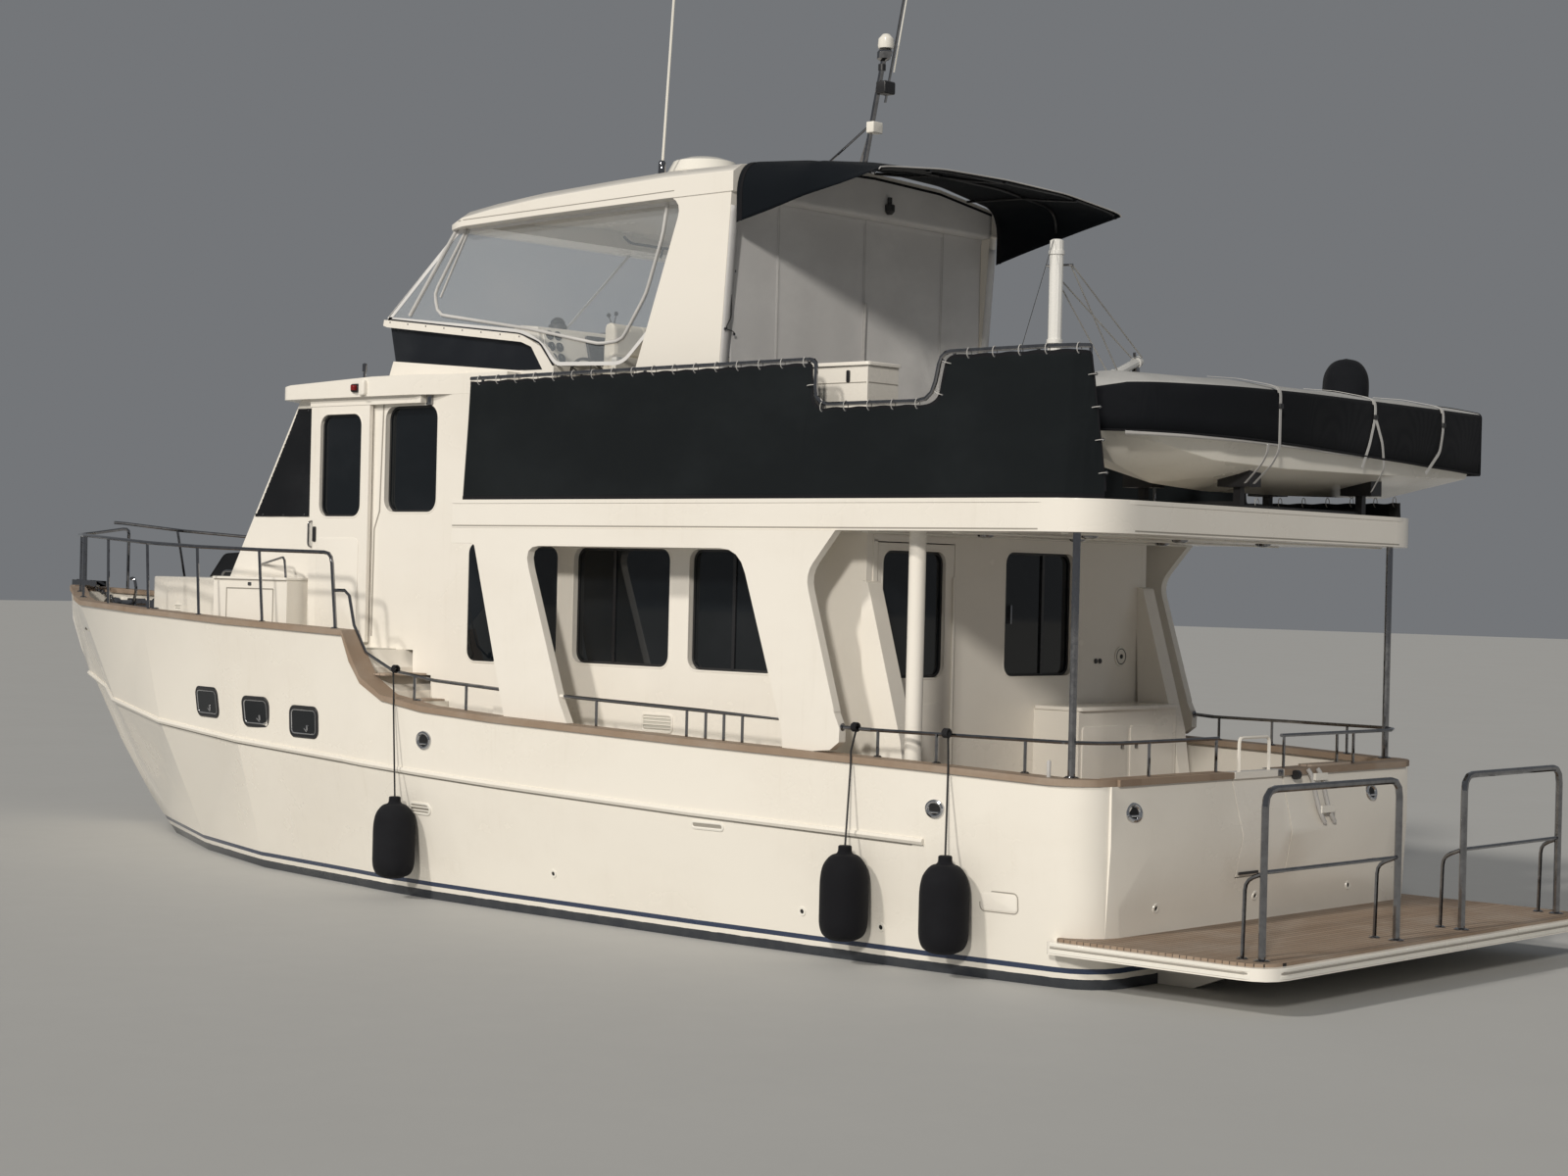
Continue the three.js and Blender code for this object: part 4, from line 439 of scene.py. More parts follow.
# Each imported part, its finish and the radius of its edges
for part_name, look, edge in [
        ("hull", "hull", 0), ("cap_rail", "cap", 0.010), ("transom_gate", "gelcoat", 0.005),
        ("engine", "engine", 0.02), ("saloon_sole", "sole", 0), ("propeller", "bronze", 0.002),
        ("rudder", "antifoul", 0.004), ("swim_platform", "gelcoat", 0.012), ("platform_teak", "platform", 0.004),
        ("swim_rail_port", "steel", 0), ("swim_rail_starboard", "steel", 0), ("saloon_house", "gelcoat", 0.006),
        ("saloon_glass_port", "glass", 0), ("saloon_glass_starboard", "glass", 0), ("bulkhead_window", "glass", 0),
        ("saloon_door", "gelcoat", 0.006), ("saloon_door_glass", "glass", 0), ("side_panel_port", "panel", 0.008),
        ("side_panel_starboard", "panel", 0.008), ("boat_deck", "gelcoat", 0.012), ("pilothouse", "gelcoat", 0.008),
        ("pilothouse_glass_port", "glass", 0), ("pilothouse_glass_starboard", "glass", 0),
        ("side_door_port", "gelcoat", 0.005), ("side_door_starboard", "gelcoat", 0.005),
        ("side_door_glass_port", "glass", 0), ("side_door_glass_starboard", "glass", 0),
        ("pilothouse_roof", "gelcoat", 0.012), ("flybridge_glass", "smoked", 0.002),
        ("flybridge_coaming", "gelcoat", 0.012), ("helm_console", "gelcoat", 0.02),
        ("helm_seat_base", "pale_gelcoat", 0.012), ("hardtop", "gelcoat", 0.012),
        ("deck_rail_port", "steel", 0), ("deck_rail_starboard", "steel", 0), ("davit_mast", "alloy", 0.003),
        ("davit_boom", "alloy", 0.003), ("tender_hull", "pale_gelcoat", 0.01), ("tender_chocks", "rubber", 0.006),
        ("trunk_cabin", "gelcoat", 0.015), ("fore_hatch", "smoked", 0.004), ("windlass", "steel", 0.008),
        ("bow_rail_port", "steel", 0), ("bow_rail_starboard", "steel", 0), ("cockpit_rail_port", "steel", 0),
        ("cockpit_rail_starboard", "steel", 0), ("fender_fore", "rubber", 0), ("fender_middle", "rubber", 0),
        ("fender_aft", "rubber", 0), ("radar_dome", "pale_gelcoat", 0.006), ("light_mast", "steel", 0.002),
        ("windscreen_cover", "canvas", 0.004), ("helm_seat_cushion", "vinyl", 0.02), ("clear_enclosure", "film", 0),
        ("awning", "canvas", 0), ("aft_curtain", "canvas", 0), ("side_skirt_port", "canvas", 0),
        ("side_skirt_starboard", "canvas", 0), ("tender_cover", "canvas", 0)]:
    dress(part_name, look, edge)
# The hull's long faces blend evenly without face weights
nodes["hull"].modifiers.remove(nodes["hull"].modifiers["weighted"])


# Mesh kit. A part is (points, faces, finish number), and a piece joins several of them.

X, Y, Z = np.eye(3)


def unit(vectors):
    """vectors over their lengths."""
    vectors = np.asarray(vectors, float)
    return vectors / np.linalg.norm(vectors, axis=-1, keepdims=True)


def eased(path, radius, steps=6):
    """A path whose inner corners are circular arcs that begin and end radius away from them, as rational quadratics:
    the corner's weight is the sine of half its angle."""
    path = np.asarray(path, float)
    before, corner, after = path[:-2, None], path[1:-1, None], path[2:, None]
    reach = np.broadcast_to(radius, len(corner))[:, None, None]

    def leg(other):
        length = np.linalg.norm(other - corner, axis=2, keepdims=True)
        return corner + (other - corner) * np.minimum(reach / length, 0.48)

    cosine = (unit(before - corner) * unit(after - corner)).sum(2, keepdims=True)
    pull = np.sqrt((1 - cosine) / 2)
    t = np.linspace(0, 1, steps)[None, :, None]
    first, middle, last = (1 - t) ** 2, 2 * t * (1 - t) * pull, t ** 2
    curves = (first * leg(before) + middle * corner + last * leg(after)) / (first + middle + last)
    return np.concatenate([path[:1], curves.reshape(-1, path.shape[1]), path[-1:]])


def run_of(path):
    """The distance along a path at each of its points."""
    return np.concatenate([[0], np.cumsum(np.linalg.norm(np.diff(path, axis=0), axis=1))])


def spaced(path, count):
    """count points at even distances along a path."""
    path = np.asarray(path, float)
    run = run_of(path)
    return np.stack([np.interp(np.linspace(0, run[-1], count), run, column) for column in path.T], -1)


def skin(rings, number=0, closed=True, ends=True):
    """Quads between rings of equal count. A closed ring meets itself, and ends fills the first and last ring."""
    rings = np.asarray(rings, float)
    count, around = rings.shape[:2]
    first = np.arange(count - 1)[:, None] * around
    step = np.arange(around if closed else around - 1)[None, :]
    following = (step + 1) % around
    quads = np.stack([first + step, first + following, first + around + following, first + around + step], -1)
    faces = quads.reshape(-1, 4).tolist()
    if closed and ends:
        faces += [list(range(around))[::-1], list(range((count - 1) * around, count * around))]
    return rings.reshape(-1, 3), faces, number


def looped(rings):
    """Rings that come back to the first one."""
    return np.concatenate([rings, rings[:1]])


def carried(path, profile, out=None, number=0, loop=False):
    """A profile of (side, out) offsets carried along a path: point + side offset * side + out offset * out."""
    path = np.asarray(path, float)
    along = unit(np.roll(path, -1, 0) - np.roll(path, 1, 0) if loop else np.gradient(path, axis=0))
    if out is None:
        side = unit(np.cross(along, np.linalg.svd(along)[2][-1]))
        out = np.cross(side, along)
    else:
        side = unit(np.cross(along, out))
        out = np.cross(side, along)
    profile = np.asarray(profile, float)
    rings = path[:, None] + profile[..., 0, None] * side[:, None] + profile[..., 1, None] * out[:, None]
    return skin(looped(rings), number, ends=False) if loop else skin(rings, number)


def circle(around, radius=1.0):
    """Points of a circle."""
    angle = np.linspace(0, 2 * np.pi, around, endpoint=False)
    return np.stack([np.cos(angle), np.sin(angle)], -1) * radius


def tube(path, radius, around=8, number=0, loop=False):
    """A circle carried along a path. radius is a number, or one for each point."""
    radius = np.broadcast_to(radius, len(path))[:, None, None]
    return carried(path, radius * circle(around)[None], number=number, loop=loop)


def strap(path, width, thickness, out, number=0):
    """A flat band carried along a path, with its broad face to out."""
    half, deep = width / 2, thickness / 2
    return carried(path, [(-half, -deep), (half, -deep), (half, deep), (-half, deep)], out, number)


def turned(profile, base, axis=Z, around=24, number=0):
    """A profile of (radius, height) turned about an axis: base + height * axis + radius * (cos a, sin a) spoke."""
    axis = unit(axis)
    first = unit(np.cross(axis, X if abs(axis[0]) < 0.9 else Y))
    spoke = circle(around) @ np.stack([first, np.cross(axis, first)])
    profile = np.asarray(profile, float)
    return skin(np.asarray(base, float) + profile[:, 1, None, None] * axis + profile[:, 0, None, None] * spoke, number)


def rectangle(width, height, radius=0.0, steps=5, at=(0, 0)):
    """A rounded rectangle's outline, counter-clockwise: four quarter circles of the radius."""
    half = np.array([width, height]) / 2 - radius
    quarter = np.linspace(0, np.pi / 2, steps if radius else 1)
    turns = (quarter[None] + np.arange(4)[:, None] * np.pi / 2).reshape(-1)
    corner = np.repeat([[1, 1], [-1, 1], [-1, -1], [1, -1]], len(quarter), 0) * half
    return np.asarray(at) + corner + radius * np.stack([np.cos(turns), np.sin(turns)], -1)


def moved_out(outline, distance):
    """A counter-clockwise outline, each point moved along its outward normal."""
    outline = np.asarray(outline, float)
    step = unit(np.roll(outline, -1, 0) - np.roll(outline, 1, 0))
    return outline + distance * np.stack([step[:, 1], -step[:, 0]], -1)


def lifted(outline, height):
    """An outline at a height above its plane."""
    return np.column_stack([outline, np.full(len(outline), height)])


def plate(outline, thickness, ease=0.0, number=0):
    """An outline raised by a thickness. Its upper edge is a quarter circle of radius ease."""
    angle = np.linspace(0, np.pi / 2, 4 if ease else 1)
    rings = [lifted(outline, 0)] + [
        lifted(moved_out(outline, -ease * (1 - math.cos(a))), thickness - ease * (1 - math.sin(a))) for a in angle]
    return skin(rings, number)


def moulding(outline, profile, number=0):
    """A profile of (outward, height) carried round a closed outline."""
    rings = np.stack([lifted(moved_out(outline, away), height) for away, height in profile], 1)
    return skin(looped(rings), number, ends=False)


def bent(points, radius, count, steps=6):
    """count points at even distances along a path with eased corners."""
    return spaced(eased(points, radius, steps), count)


def placed(part, origin, right=-X, up=Z):
    """A part drawn in its own plane, set in the yacht's frame: origin + right * u + up * v + out * w."""
    points, faces, number = part
    right, up = unit(right), unit(up)
    return np.asarray(origin, float) + points @ np.stack([right, up, np.cross(right, up)]), faces, number


def block(size, thickness, ease, number, *where):
    """A rounded rectangle of (width, height, radius), raised by a thickness and set in the yacht's frame."""
    return placed(plate(rectangle(*size), thickness, ease, number), *where)


def both_sides(parts):
    """Parts and their mirror images across the centreline."""
    return parts + [(points * (1, -1, 1), faces, number) for points, faces, number in parts]


def joined(name, parts, looks, body="yacht", sharp=35, solid=0.0, uv=None):
    """One piece from parts, riding on body. Every edge sharper than the angle stays crisp."""
    points, faces, numbers, start = [], [], [], 0
    for part_points, part_faces, number in parts:
        points.append(part_points)
        faces += [[start + corner for corner in face] for face in part_faces]
        numbers += [number] * len(part_faces) if isinstance(number, int) else number
        start += len(part_points)
    mesh = bpy.data.meshes.new(name)
    mesh.from_pydata(np.concatenate(points).tolist(), [], faces)
    mesh.polygons.foreach_set("material_index", numbers)
    for look in looks:
        mesh.materials.append(finish[look].material)
    if uv is not None:
        layer = mesh.uv_layers.new(name="cloth")
        corners = np.empty(len(mesh.loops), np.int32)
        mesh.loops.foreach_get("vertex_index", corners)
        layer.data.foreach_set("uv", np.asarray(uv, np.float32).reshape(-1, 2)[corners].ravel())
    tidy = bmesh.new()
    tidy.from_mesh(mesh)
    bmesh.ops.remove_doubles(tidy, verts=tidy.verts, dist=2e-6)
    bmesh.ops.dissolve_degenerate(tidy, edges=tidy.edges, dist=2e-6)
    bmesh.ops.recalc_face_normals(tidy, faces=tidy.faces)
    tidy.to_mesh(mesh)
    tidy.free()
    mesh.shade_smooth()
    mesh.set_sharp_from_angle(angle=math.radians(sharp))
    piece = bpy.data.objects.new(name, mesh)
    scene.collection.objects.link(piece)
    if solid:
        wall = piece.modifiers.new("thickness", "SOLIDIFY")
        wall.thickness = solid
        wall.offset = 0
    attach(piece, body)
    return piece


def sewn(name, grid, looks, replaced, thickness=0.0016, numbers=0, caps=()):
    """A sheet of cloth from a grid of points, with its UV map in metres along both ways of the grid. caps are further
    faces over the grid's points."""
    along = np.cumsum(np.linalg.norm(np.diff(grid, axis=1, prepend=grid[:, :1]), axis=2), axis=1)
    across = np.cumsum(np.linalg.norm(np.diff(grid, axis=0, prepend=grid[:1]), axis=2), axis=0)
    points, faces, _ = skin(grid, closed=False)
    piece = joined(name, [(points, faces + list(caps), numbers)], looks, sharp=60, solid=thickness,
                   uv=np.stack([along, across], -1))
    for node_name in replaced:
        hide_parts(node_name)
    return piece


def ray_tree(*names):
    """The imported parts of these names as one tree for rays."""
    points, faces, start = [], [], 0
    for name in names:
        mesh = nodes[name].data
        points += [vertex.co.copy() for vertex in mesh.vertices]
        faces += [[start + corner for corner in polygon.vertices] for polygon in mesh.polygons]
        start = len(points)
    return BVHTree.FromPolygons(points, faces)


def met(tree, start, direction):
    """Where a ray first meets the tree, and the normal there."""
    place, normal = tree.ray_cast(Vector(start), Vector(direction))[:2]
    return np.array(place), np.array(normal)


# Cloth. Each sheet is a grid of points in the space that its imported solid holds.

# The boat deck's top, and its rails: their distance from the centreline at the foot and their lean inboard
boat_deck_top, rail_y, lean = 3.1703, 2.110, -0.06
lacing_step = 0.215


def rail_height(x):
    """The boat deck's rails fall slightly towards the stern."""
    return 4.130 - 0.0055 * (x + 1.190)


def rail_inboard(x):
    """How far the rails have turned inboard at x, near the stern."""
    return np.interp(x, [-7.185, -7.085, -6.99, -6.79], [-0.205, -0.105, -0.032, 0.0])


def hang_skirt(name, side, top, ease, replaced):
    """The skirt hangs between its laced top edge and the deck. Between two laces the edge sags by a sine arch, and
    like ripples die away below it: y = rail + lean * height + ripple * cos(2 pi run / step) * height^2."""
    edge = bent(top, ease, 420)
    run = run_of(edge)
    level = np.abs(np.gradient(edge[:, 0], run))
    sag = 0.007 * level * np.sin(np.pi * run / lacing_step) ** 2
    foot_x = 0.85 * edge[:, 0] + 0.15 * np.linspace(edge[0, 0], edge[-1, 0], len(edge))
    share = np.linspace(0, 1, 26)[:, None]
    x = foot_x + share * (edge[:, 0] - foot_x)
    z = boat_deck_top + 0.004 + share * (edge[:, 1] - sag - boat_deck_top - 0.004)
    ripple = 0.0014 * share ** 2 * np.cos(2 * np.pi * run / lacing_step) + 0.005 * np.sin(2.1 * x + 1.7 * z) * np.sin(
        np.pi * share)
    y = rail_y + rail_inboard(x) + lean * (z - boat_deck_top) + ripple
    grid = np.stack([x, side * y, z], -1)
    hem = strap(grid[-1] - (0, 0, 0.010), 0.022, 0.0042, side * Y)
    foot_hem = strap(grid[0] + (0, 0, 0.012), 0.030, 0.0042, side * Y)
    hems = joined(name + "_hems", [hem, foot_hem], ["binding"])
    eyes = np.linspace(0.5 * lacing_step, run[-1] - 0.5 * lacing_step, round(run[-1] / lacing_step))
    place = np.stack([np.interp(eyes, run, edge[:, 0]), np.interp(eyes, run, edge[:, 1])], -1)
    along = unit(np.stack([np.gradient(edge[:, 0], run), np.gradient(edge[:, 1], run)], -1))
    away = np.stack([np.interp(eyes, run, -along[:, 1]), np.interp(eyes, run, along[:, 0])], -1)
    away *= np.where(away[:, 1:] + 0.3 * np.abs(away[:, :1]) < 0, -1, 1)
    laces = []
    for (x, z), (out_x, out_z) in zip(place, away):
        y = rail_y + rail_inboard(x) + lean * (z - boat_deck_top)
        out = np.array([out_x, 0, out_z])
        centre = np.array([x, side * y, z]) + 0.006 * out
        turn = circle(12)
        laces.append(tube(centre + 0.036 * turn[:, :1] * out + 0.026 * turn[:, 1:] * Y, 0.0032, 5, loop=True))
        laces.append(turned([(0.006, 0), (0.011, 0), (0.011, 0.003), (0.006, 0.003), (0.006, 0)],
                            centre - 0.030 * out + side * Y * 0.001, side * Y, 10, 1))
    lacing = joined(name + "_lacing", laces, ["line", "steel"])
    sewn(name + "_cloth", grid, ["canvas"], [replaced])


port_top = [(-1.175, rail_height(-1.175) - 0.022), (-4.77, rail_height(-4.77) - 0.022), (-4.80, 3.808), (-5.93, 3.808),
            (-5.985, rail_height(-5.99) - 0.022), (-7.085, rail_height(-7.085) - 0.022), (-7.19, boat_deck_top + 0.06)]
starboard_top = [port_top[0], (-5.66, rail_height(-5.66) - 0.022), (-5.70, 3.29), (-7.185, 3.29)]
hang_skirt("port_skirt", 1, port_top, [0.02, 0.10, 0.10, 0.05, 0.03], "side_skirt_port")
hang_skirt("starboard_skirt", -1, starboard_top, [0.02, 0.03], "side_skirt_starboard")


def between_sections(sections, places, at):
    """Cross-sections at each of the places in at, straight from one given section to the next."""
    sections = np.asarray(sections)
    flat = sections.reshape(len(places), -1)
    return np.stack([np.interp(at, places, column) for column in flat.T], -1).reshape(len(at), *sections.shape[1:])


def stretch_awning():
    """The awning is one sheet over two hoops: straight from hoop to hoop but for a shallow sine sag in each bay."""
    halves = {-4.868: [(1.495, 5.548), (1.490, 5.562), (1.400, 5.580), (0.760, 5.640), (0, 5.655)],
              -4.200: [(1.540, 5.405), (1.540, 5.570), (1.450, 5.670), (0.780, 5.745), (0, 5.765)],
              -3.562: [(1.575, 5.250), (1.580, 5.560), (1.495, 5.705), (0.800, 5.810), (0, 5.835)]}

    hub = 5.2  # The height from which the sections bulge

    def section(half):
        whole = half + [(-y, z) for y, z in half[-2::-1]]
        return bent(whole, [min(0.10, 0.7 * (half[1][1] - half[0][1]))] + [0.09] * 5 + [0.10], 121, 8)

    places = np.array(list(halves))
    sections = [section(half) for half in halves.values()]
    at = np.linspace(places[0], places[-1], 41)
    profile = between_sections(sections, places, at)
    bay = np.where(at < -4.2, (at + 4.868) / 0.668, (at + 4.2) / 0.638)
    outward = profile - np.array([0, hub])
    profile = profile - 0.009 * np.sin(np.pi * bay)[:, None, None] ** 2 * unit(outward)
    grid = np.concatenate([np.broadcast_to(at[:, None, None], profile.shape[:2] + (1,)), profile], -1)
    piping = [tube(grid[0] + (-0.002, 0, 0), 0.0055, 8)]
    for row, lift in ((2, 0.002), (39, 0.002)):
        piping.append(carried(grid[row], [(-0.02, lift), (0.02, lift), (0.02, -lift), (-0.02, -lift)],
                              unit(grid[row] * (0, 1, 1) - (0, 0, hub)), 1))
    edging = joined("awning_edging", piping, ["white_webbing", "binding"])
    hoops = []
    for row in (1, 20):
        inner = grid[row, 2:-2] - 0.020 * unit(grid[row, 2:-2] * (0, 1, 1) - (0, 0, hub))
        hoops.append(tube(inner, 0.0125, 10))
    ridge = grid[::4, 60] - (0, 0, 0.024)
    hoops += [tube(ridge, 0.011, 8), tube(grid[::4, 24] - (0, 0, 0.024), 0.011, 8),
              tube(grid[::4, 96] - (0, 0, 0.024), 0.011, 8)]
    # The hoops take the dark frame finish as painted shade: under the awning they stand in shadow
    joined("awning_hoops", hoops, ["frame"])
    sewn("awning_cloth", grid, ["awning"], ["awning"], thickness=0.002)


stretch_awning()


def hang_curtain():
    """The curtain closes the flybridge's aft end. It hangs in shallow upright folds, which fade out at its top edge."""
    y = np.linspace(1.498, -1.498, 161)[None, :]
    drop = np.linspace(0, 1, 71)[:, None]
    head = 5.474
    z = head - drop * (head - 3.205) + 0 * y
    fold = 0.006 * np.sin(5.3 * y + 0.6) + 0.004 * np.sin(13.0 * y + 2.0 * drop) + 0.005 * np.sin(2.2 * y - 3.4 * drop)
    x = -3.460 + (0.25 + 0.75 * drop) * fold - 0.004 * np.exp(-((y + 0.9 + 1.2 * (drop - 0.55)) / 0.05) ** 2)
    grid = np.stack([x, y + 0 * drop, z], -1)
    trims = []
    for across in (-0.020, -0.985, 0.985):
        column = int(np.argmin(np.abs(y[0] - across)))
        line = grid[:, column] - (0.004, 0, 0)
        trims.append(strap(line, 0.030, 0.003, -X))
        trims.append(strap(line - (0.003, 0, 0), 0.007, 0.003, -X, 1))
    trims.append(strap(grid[-3] - (0.004, 0, 0), 0.045, 0.003, -X))
    trims.append(strap(grid[1] - (0.004, 0, 0), 0.040, 0.003, -X))
    roll = [(-3.478, -0.012, 4.14), (-3.482, -0.006, 4.45), (-3.478, -0.022, 4.80)]
    trims.append(tube(bent(roll, 0.1, 16), 0.012, 8, 2))
    trims.append(strap(spaced([(-3.474, 0.22, 3.95), (-3.474, -0.20, 3.93)], 8), 0.022, 0.003, -X, 3))
    trims.append(strap(spaced([(-3.474, -0.62, 3.93), (-3.474, -1.05, 3.91)], 8), 0.022, 0.003, -X, 3))
    laced = joined("curtain_trims", trims, ["curtain", "zip", "white_webbing", "binding"])
    cord = [(-3.480, 1.535, 5.12), (-3.484, 1.512, 5.02), (-3.484, 1.560, 4.93), (-3.486, 1.530, 4.72),
            (-3.486, 1.528, 4.55), (-3.486, 1.590, 4.46), (-3.484, 1.50, 4.45), (-3.482, 1.480, 4.43)]
    eyes = [turned([(0.006, 0), (0.012, 0), (0.012, 0.004), (0.006, 0.004), (0.006, 0)], place, -X, 10, 1)
            for place in ((-3.476, 1.512, 5.02), (-3.478, 1.585, 4.46), (-3.476, 1.482, 4.43), (-3.476, 1.490, 4.90))]
    bungee = joined("curtain_bungee", [tube(eased(cord, 0.03), 0.004, 6)] + eyes, ["cord", "steel"])
    sewn("curtain_cloth", grid, ["curtain"], ["aft_curtain"])


hang_curtain()


def head_curtain():
    """The curtain's head wraps under the hardtop's aft edge and is stretched up its face to just below the crown. Its
    side laps lie on the legs' aft faces."""
    hardtop_skin = ray_tree("hardtop")
    rows = []
    for y in np.linspace(1.50, -1.50, 75):
        top = met(hardtop_skin, (-3.55, y, 7), -Z)[0][2] - 0.030
        rows.append(bent([(-3.474, y, 5.455), (-3.5625, y, 5.468), (-3.5635, y, top)], 0.02, 24))
    grid = np.stack(rows)
    hem = joined("curtain_head_hem", [strap(grid[:, -1] - (0.002, 0, 0.010), 0.020, 0.003, -X)], ["binding"])
    sewn("curtain_head_cloth", grid, ["curtain"], [])
    for side, label in ((1, "port"), (-1, "starboard")):
        face = [met(hardtop_skin, (-7, side * 1.560, z), X)[0] for z in np.linspace(3.25, 5.38, 40)]
        lap = np.array(face)[:, None] + [(-0.003, shift, 0) for shift in (-0.046, 0.0, 0.046)]
        sewn("curtain_lap_" + label, lap, ["curtain"], [])


head_curtain()


def front_at(z):
    """The windscreen's rake."""
    return 2.800 - 0.62 * (z - 1.950)


def wrap_windscreen():
    """The mesh cover is stretched round the raked front and both forward quarters: one plan path for each height, with
    small pull ripples between its snaps."""
    heights = np.linspace(3.053, 3.982, 34)
    rows = []
    for z in heights:
        corner = front_at(z) + 0.004
        rows.append(bent([(1.292, 1.6545), (corner, 1.6545), (corner, -1.6545), (1.292, -1.6545)], 0.045, 221, 8))
    plan = np.stack(rows)
    run = run_of(plan[0])
    edge = np.abs(np.linspace(-1, 1, len(heights)))[:, None]
    pull = 0.0022 * edge ** 2 * (1 + np.cos(2 * np.pi * run / 0.29))[None, :]
    plan = plan + 0.8 * pull[..., None] * unit(plan - np.array([1.0, 0.0]))
    grid = np.concatenate([plan, np.broadcast_to(heights[:, None, None], plan.shape[:2] + (1,))], -1)
    wrap = [carried(grid[row] + (0, 0, shift), [(-0.013, 0.0030), (0.013, 0.0030), (0.013, -0.001), (-0.013, -0.001)],
                    np.concatenate([unit(plan[row] - np.array([1.0, 0.0])), np.zeros((len(run), 1))], -1))
            for row, shift in ((0, 0.012), (-1, -0.012))]
    snaps = []
    for row, shift in ((0, 0.014), (-1, -0.014)):
        for distance in np.arange(0.12, run[-1], 0.29):
            column = int(np.argmin(np.abs(run - distance)))
            side = Y * np.sign(plan[row, column, 1]) if abs(plan[row, column, 1]) > 1.64 else unit((1, 0, 0.62))
            snaps.append(turned([(0, 0.0045), (0.004, 0.004), (0.007, 0.002), (0.0075, 0)],
                                grid[row, column] + (0, 0, shift) + 0.001 * side, side, 10, 1))
    binding = joined("windscreen_cover_binding", wrap + snaps, ["binding", "steel"])
    sewn("windscreen_cover_cloth", grid, ["mesh_cloth"], ["windscreen_cover"])


wrap_windscreen()


def close_flybridge():
    """Clear film between the coaming and the hardtop: on each side a grid between its lower and its upper edge, and in
    front one raked sheet. Each bellies slightly. The zips and tubes that part the windows lie on it."""
    lower = [(0.540, 4.722), (-1.140, 4.541), (-1.375, 4.434), (-1.545, 4.264), (-2.300, 4.242), (-2.600, 4.500),
             (-2.958, 5.470)]
    upper = [(0.540, 4.722), (-0.340, 5.420), (-0.520, 5.4245), (-0.860, 5.4345), (-1.420, 5.4495), (-2.230, 5.4645),
             (-2.958, 5.4745)]
    low = bent(lower, [0.05, 0.08, 0.05, 0.09, 0.05], 121, 6)
    high = bent(upper, 0.03, 121, 4)
    share = np.linspace(0, 1, 25)[:, None, None]
    flat = low + share * (high - low)
    belly = 0.007 * np.sin(np.pi * share[..., 0]) * np.sin(np.pi * np.linspace(0, 1, 121)) ** 0.5
    lines = {"tube": ([(-0.325, 5.425), (0.247, 4.745)], 0.016),
             "first": ([(-0.447, 5.420), (-0.060, 4.912), (-0.116, 4.737), (-1.225, 4.570), (-2.043, 4.414),
                        (-2.293, 4.430), (-2.551, 4.779), (-2.717, 5.221), (-2.761, 5.460)], 0.0135),
             "second": ([(-0.475, 5.415), (-0.140, 4.880)], 0.009)}
    for side, label in ((1, "port"), (-1, "starboard")):
        grid = np.concatenate([flat[..., :1], side * (1.4865 + belly)[..., None], flat[..., 1:]], -1)
        parts = []
        for path, radius in lines.values():
            line = bent([(x, side * 1.498, z) for x, z in path], 0.06, 60, 6)
            parts.append(tube(line, radius, 8))
        border = np.concatenate([grid[0], grid[-1][::-1]])
        border[:, 1] = side * 1.4905
        parts.append(strap(border[:121] + (0, 0, 0.012), 0.030, 0.003, side * Y, 1))
        parts.append(strap(border[121:] - (0, 0, 0.012), 0.030, 0.003, side * Y, 1))
        zips = joined("enclosure_zips_" + label, parts, ["zip", "curtain"])
        sewn("enclosure_film_" + label, grid, ["film"], ["clear_enclosure"] if side > 0 else [],
             thickness=0.001)
    across = np.linspace(1.484, -1.484, 61)[None, :]
    rise = np.linspace(0, 1, 25)[:, None]
    lift = 0.007 * np.sin(np.pi * rise) * np.abs(np.cos(1.5 * np.pi * across / 1.484))
    front = np.stack([0.536 - 0.879 * rise + 0.62 * lift + 0 * across, across + 0 * rise,
                      4.723 + 0.697 * rise + 0.78 * lift], -1)
    posts = []
    for y in (-1.470, -0.50, 1.470):
        line = spaced([(0.546, y, 4.735), (-0.330, y, 5.415)], 20)
        posts.append(strap(line + (0.004, 0, 0.005), 0.034, 0.004, unit((0.62, 0, 0.78)), 1))
        posts.append(tube(line + (0.007, 0, 0.009), 0.005, 6))
    seams = joined("enclosure_zips_front", posts, ["zip", "curtain"])
    sewn("enclosure_film_front", front, ["film"], [], thickness=0.001)


close_flybridge()

tender_x = -6.680
tender_side = tender_x - 0.829
tender_plan = bent([(1.444, 0.03), (1.42, 0.084), (1.31, 0.324), (1.08, 0.524), (0.65, 0.714), (0, 0.814),
                            (-1.2, 0.824), (-2.564, 0.804)], 0.18, 97, 8)
cover_straps = (0.335, -0.93, -1.92)


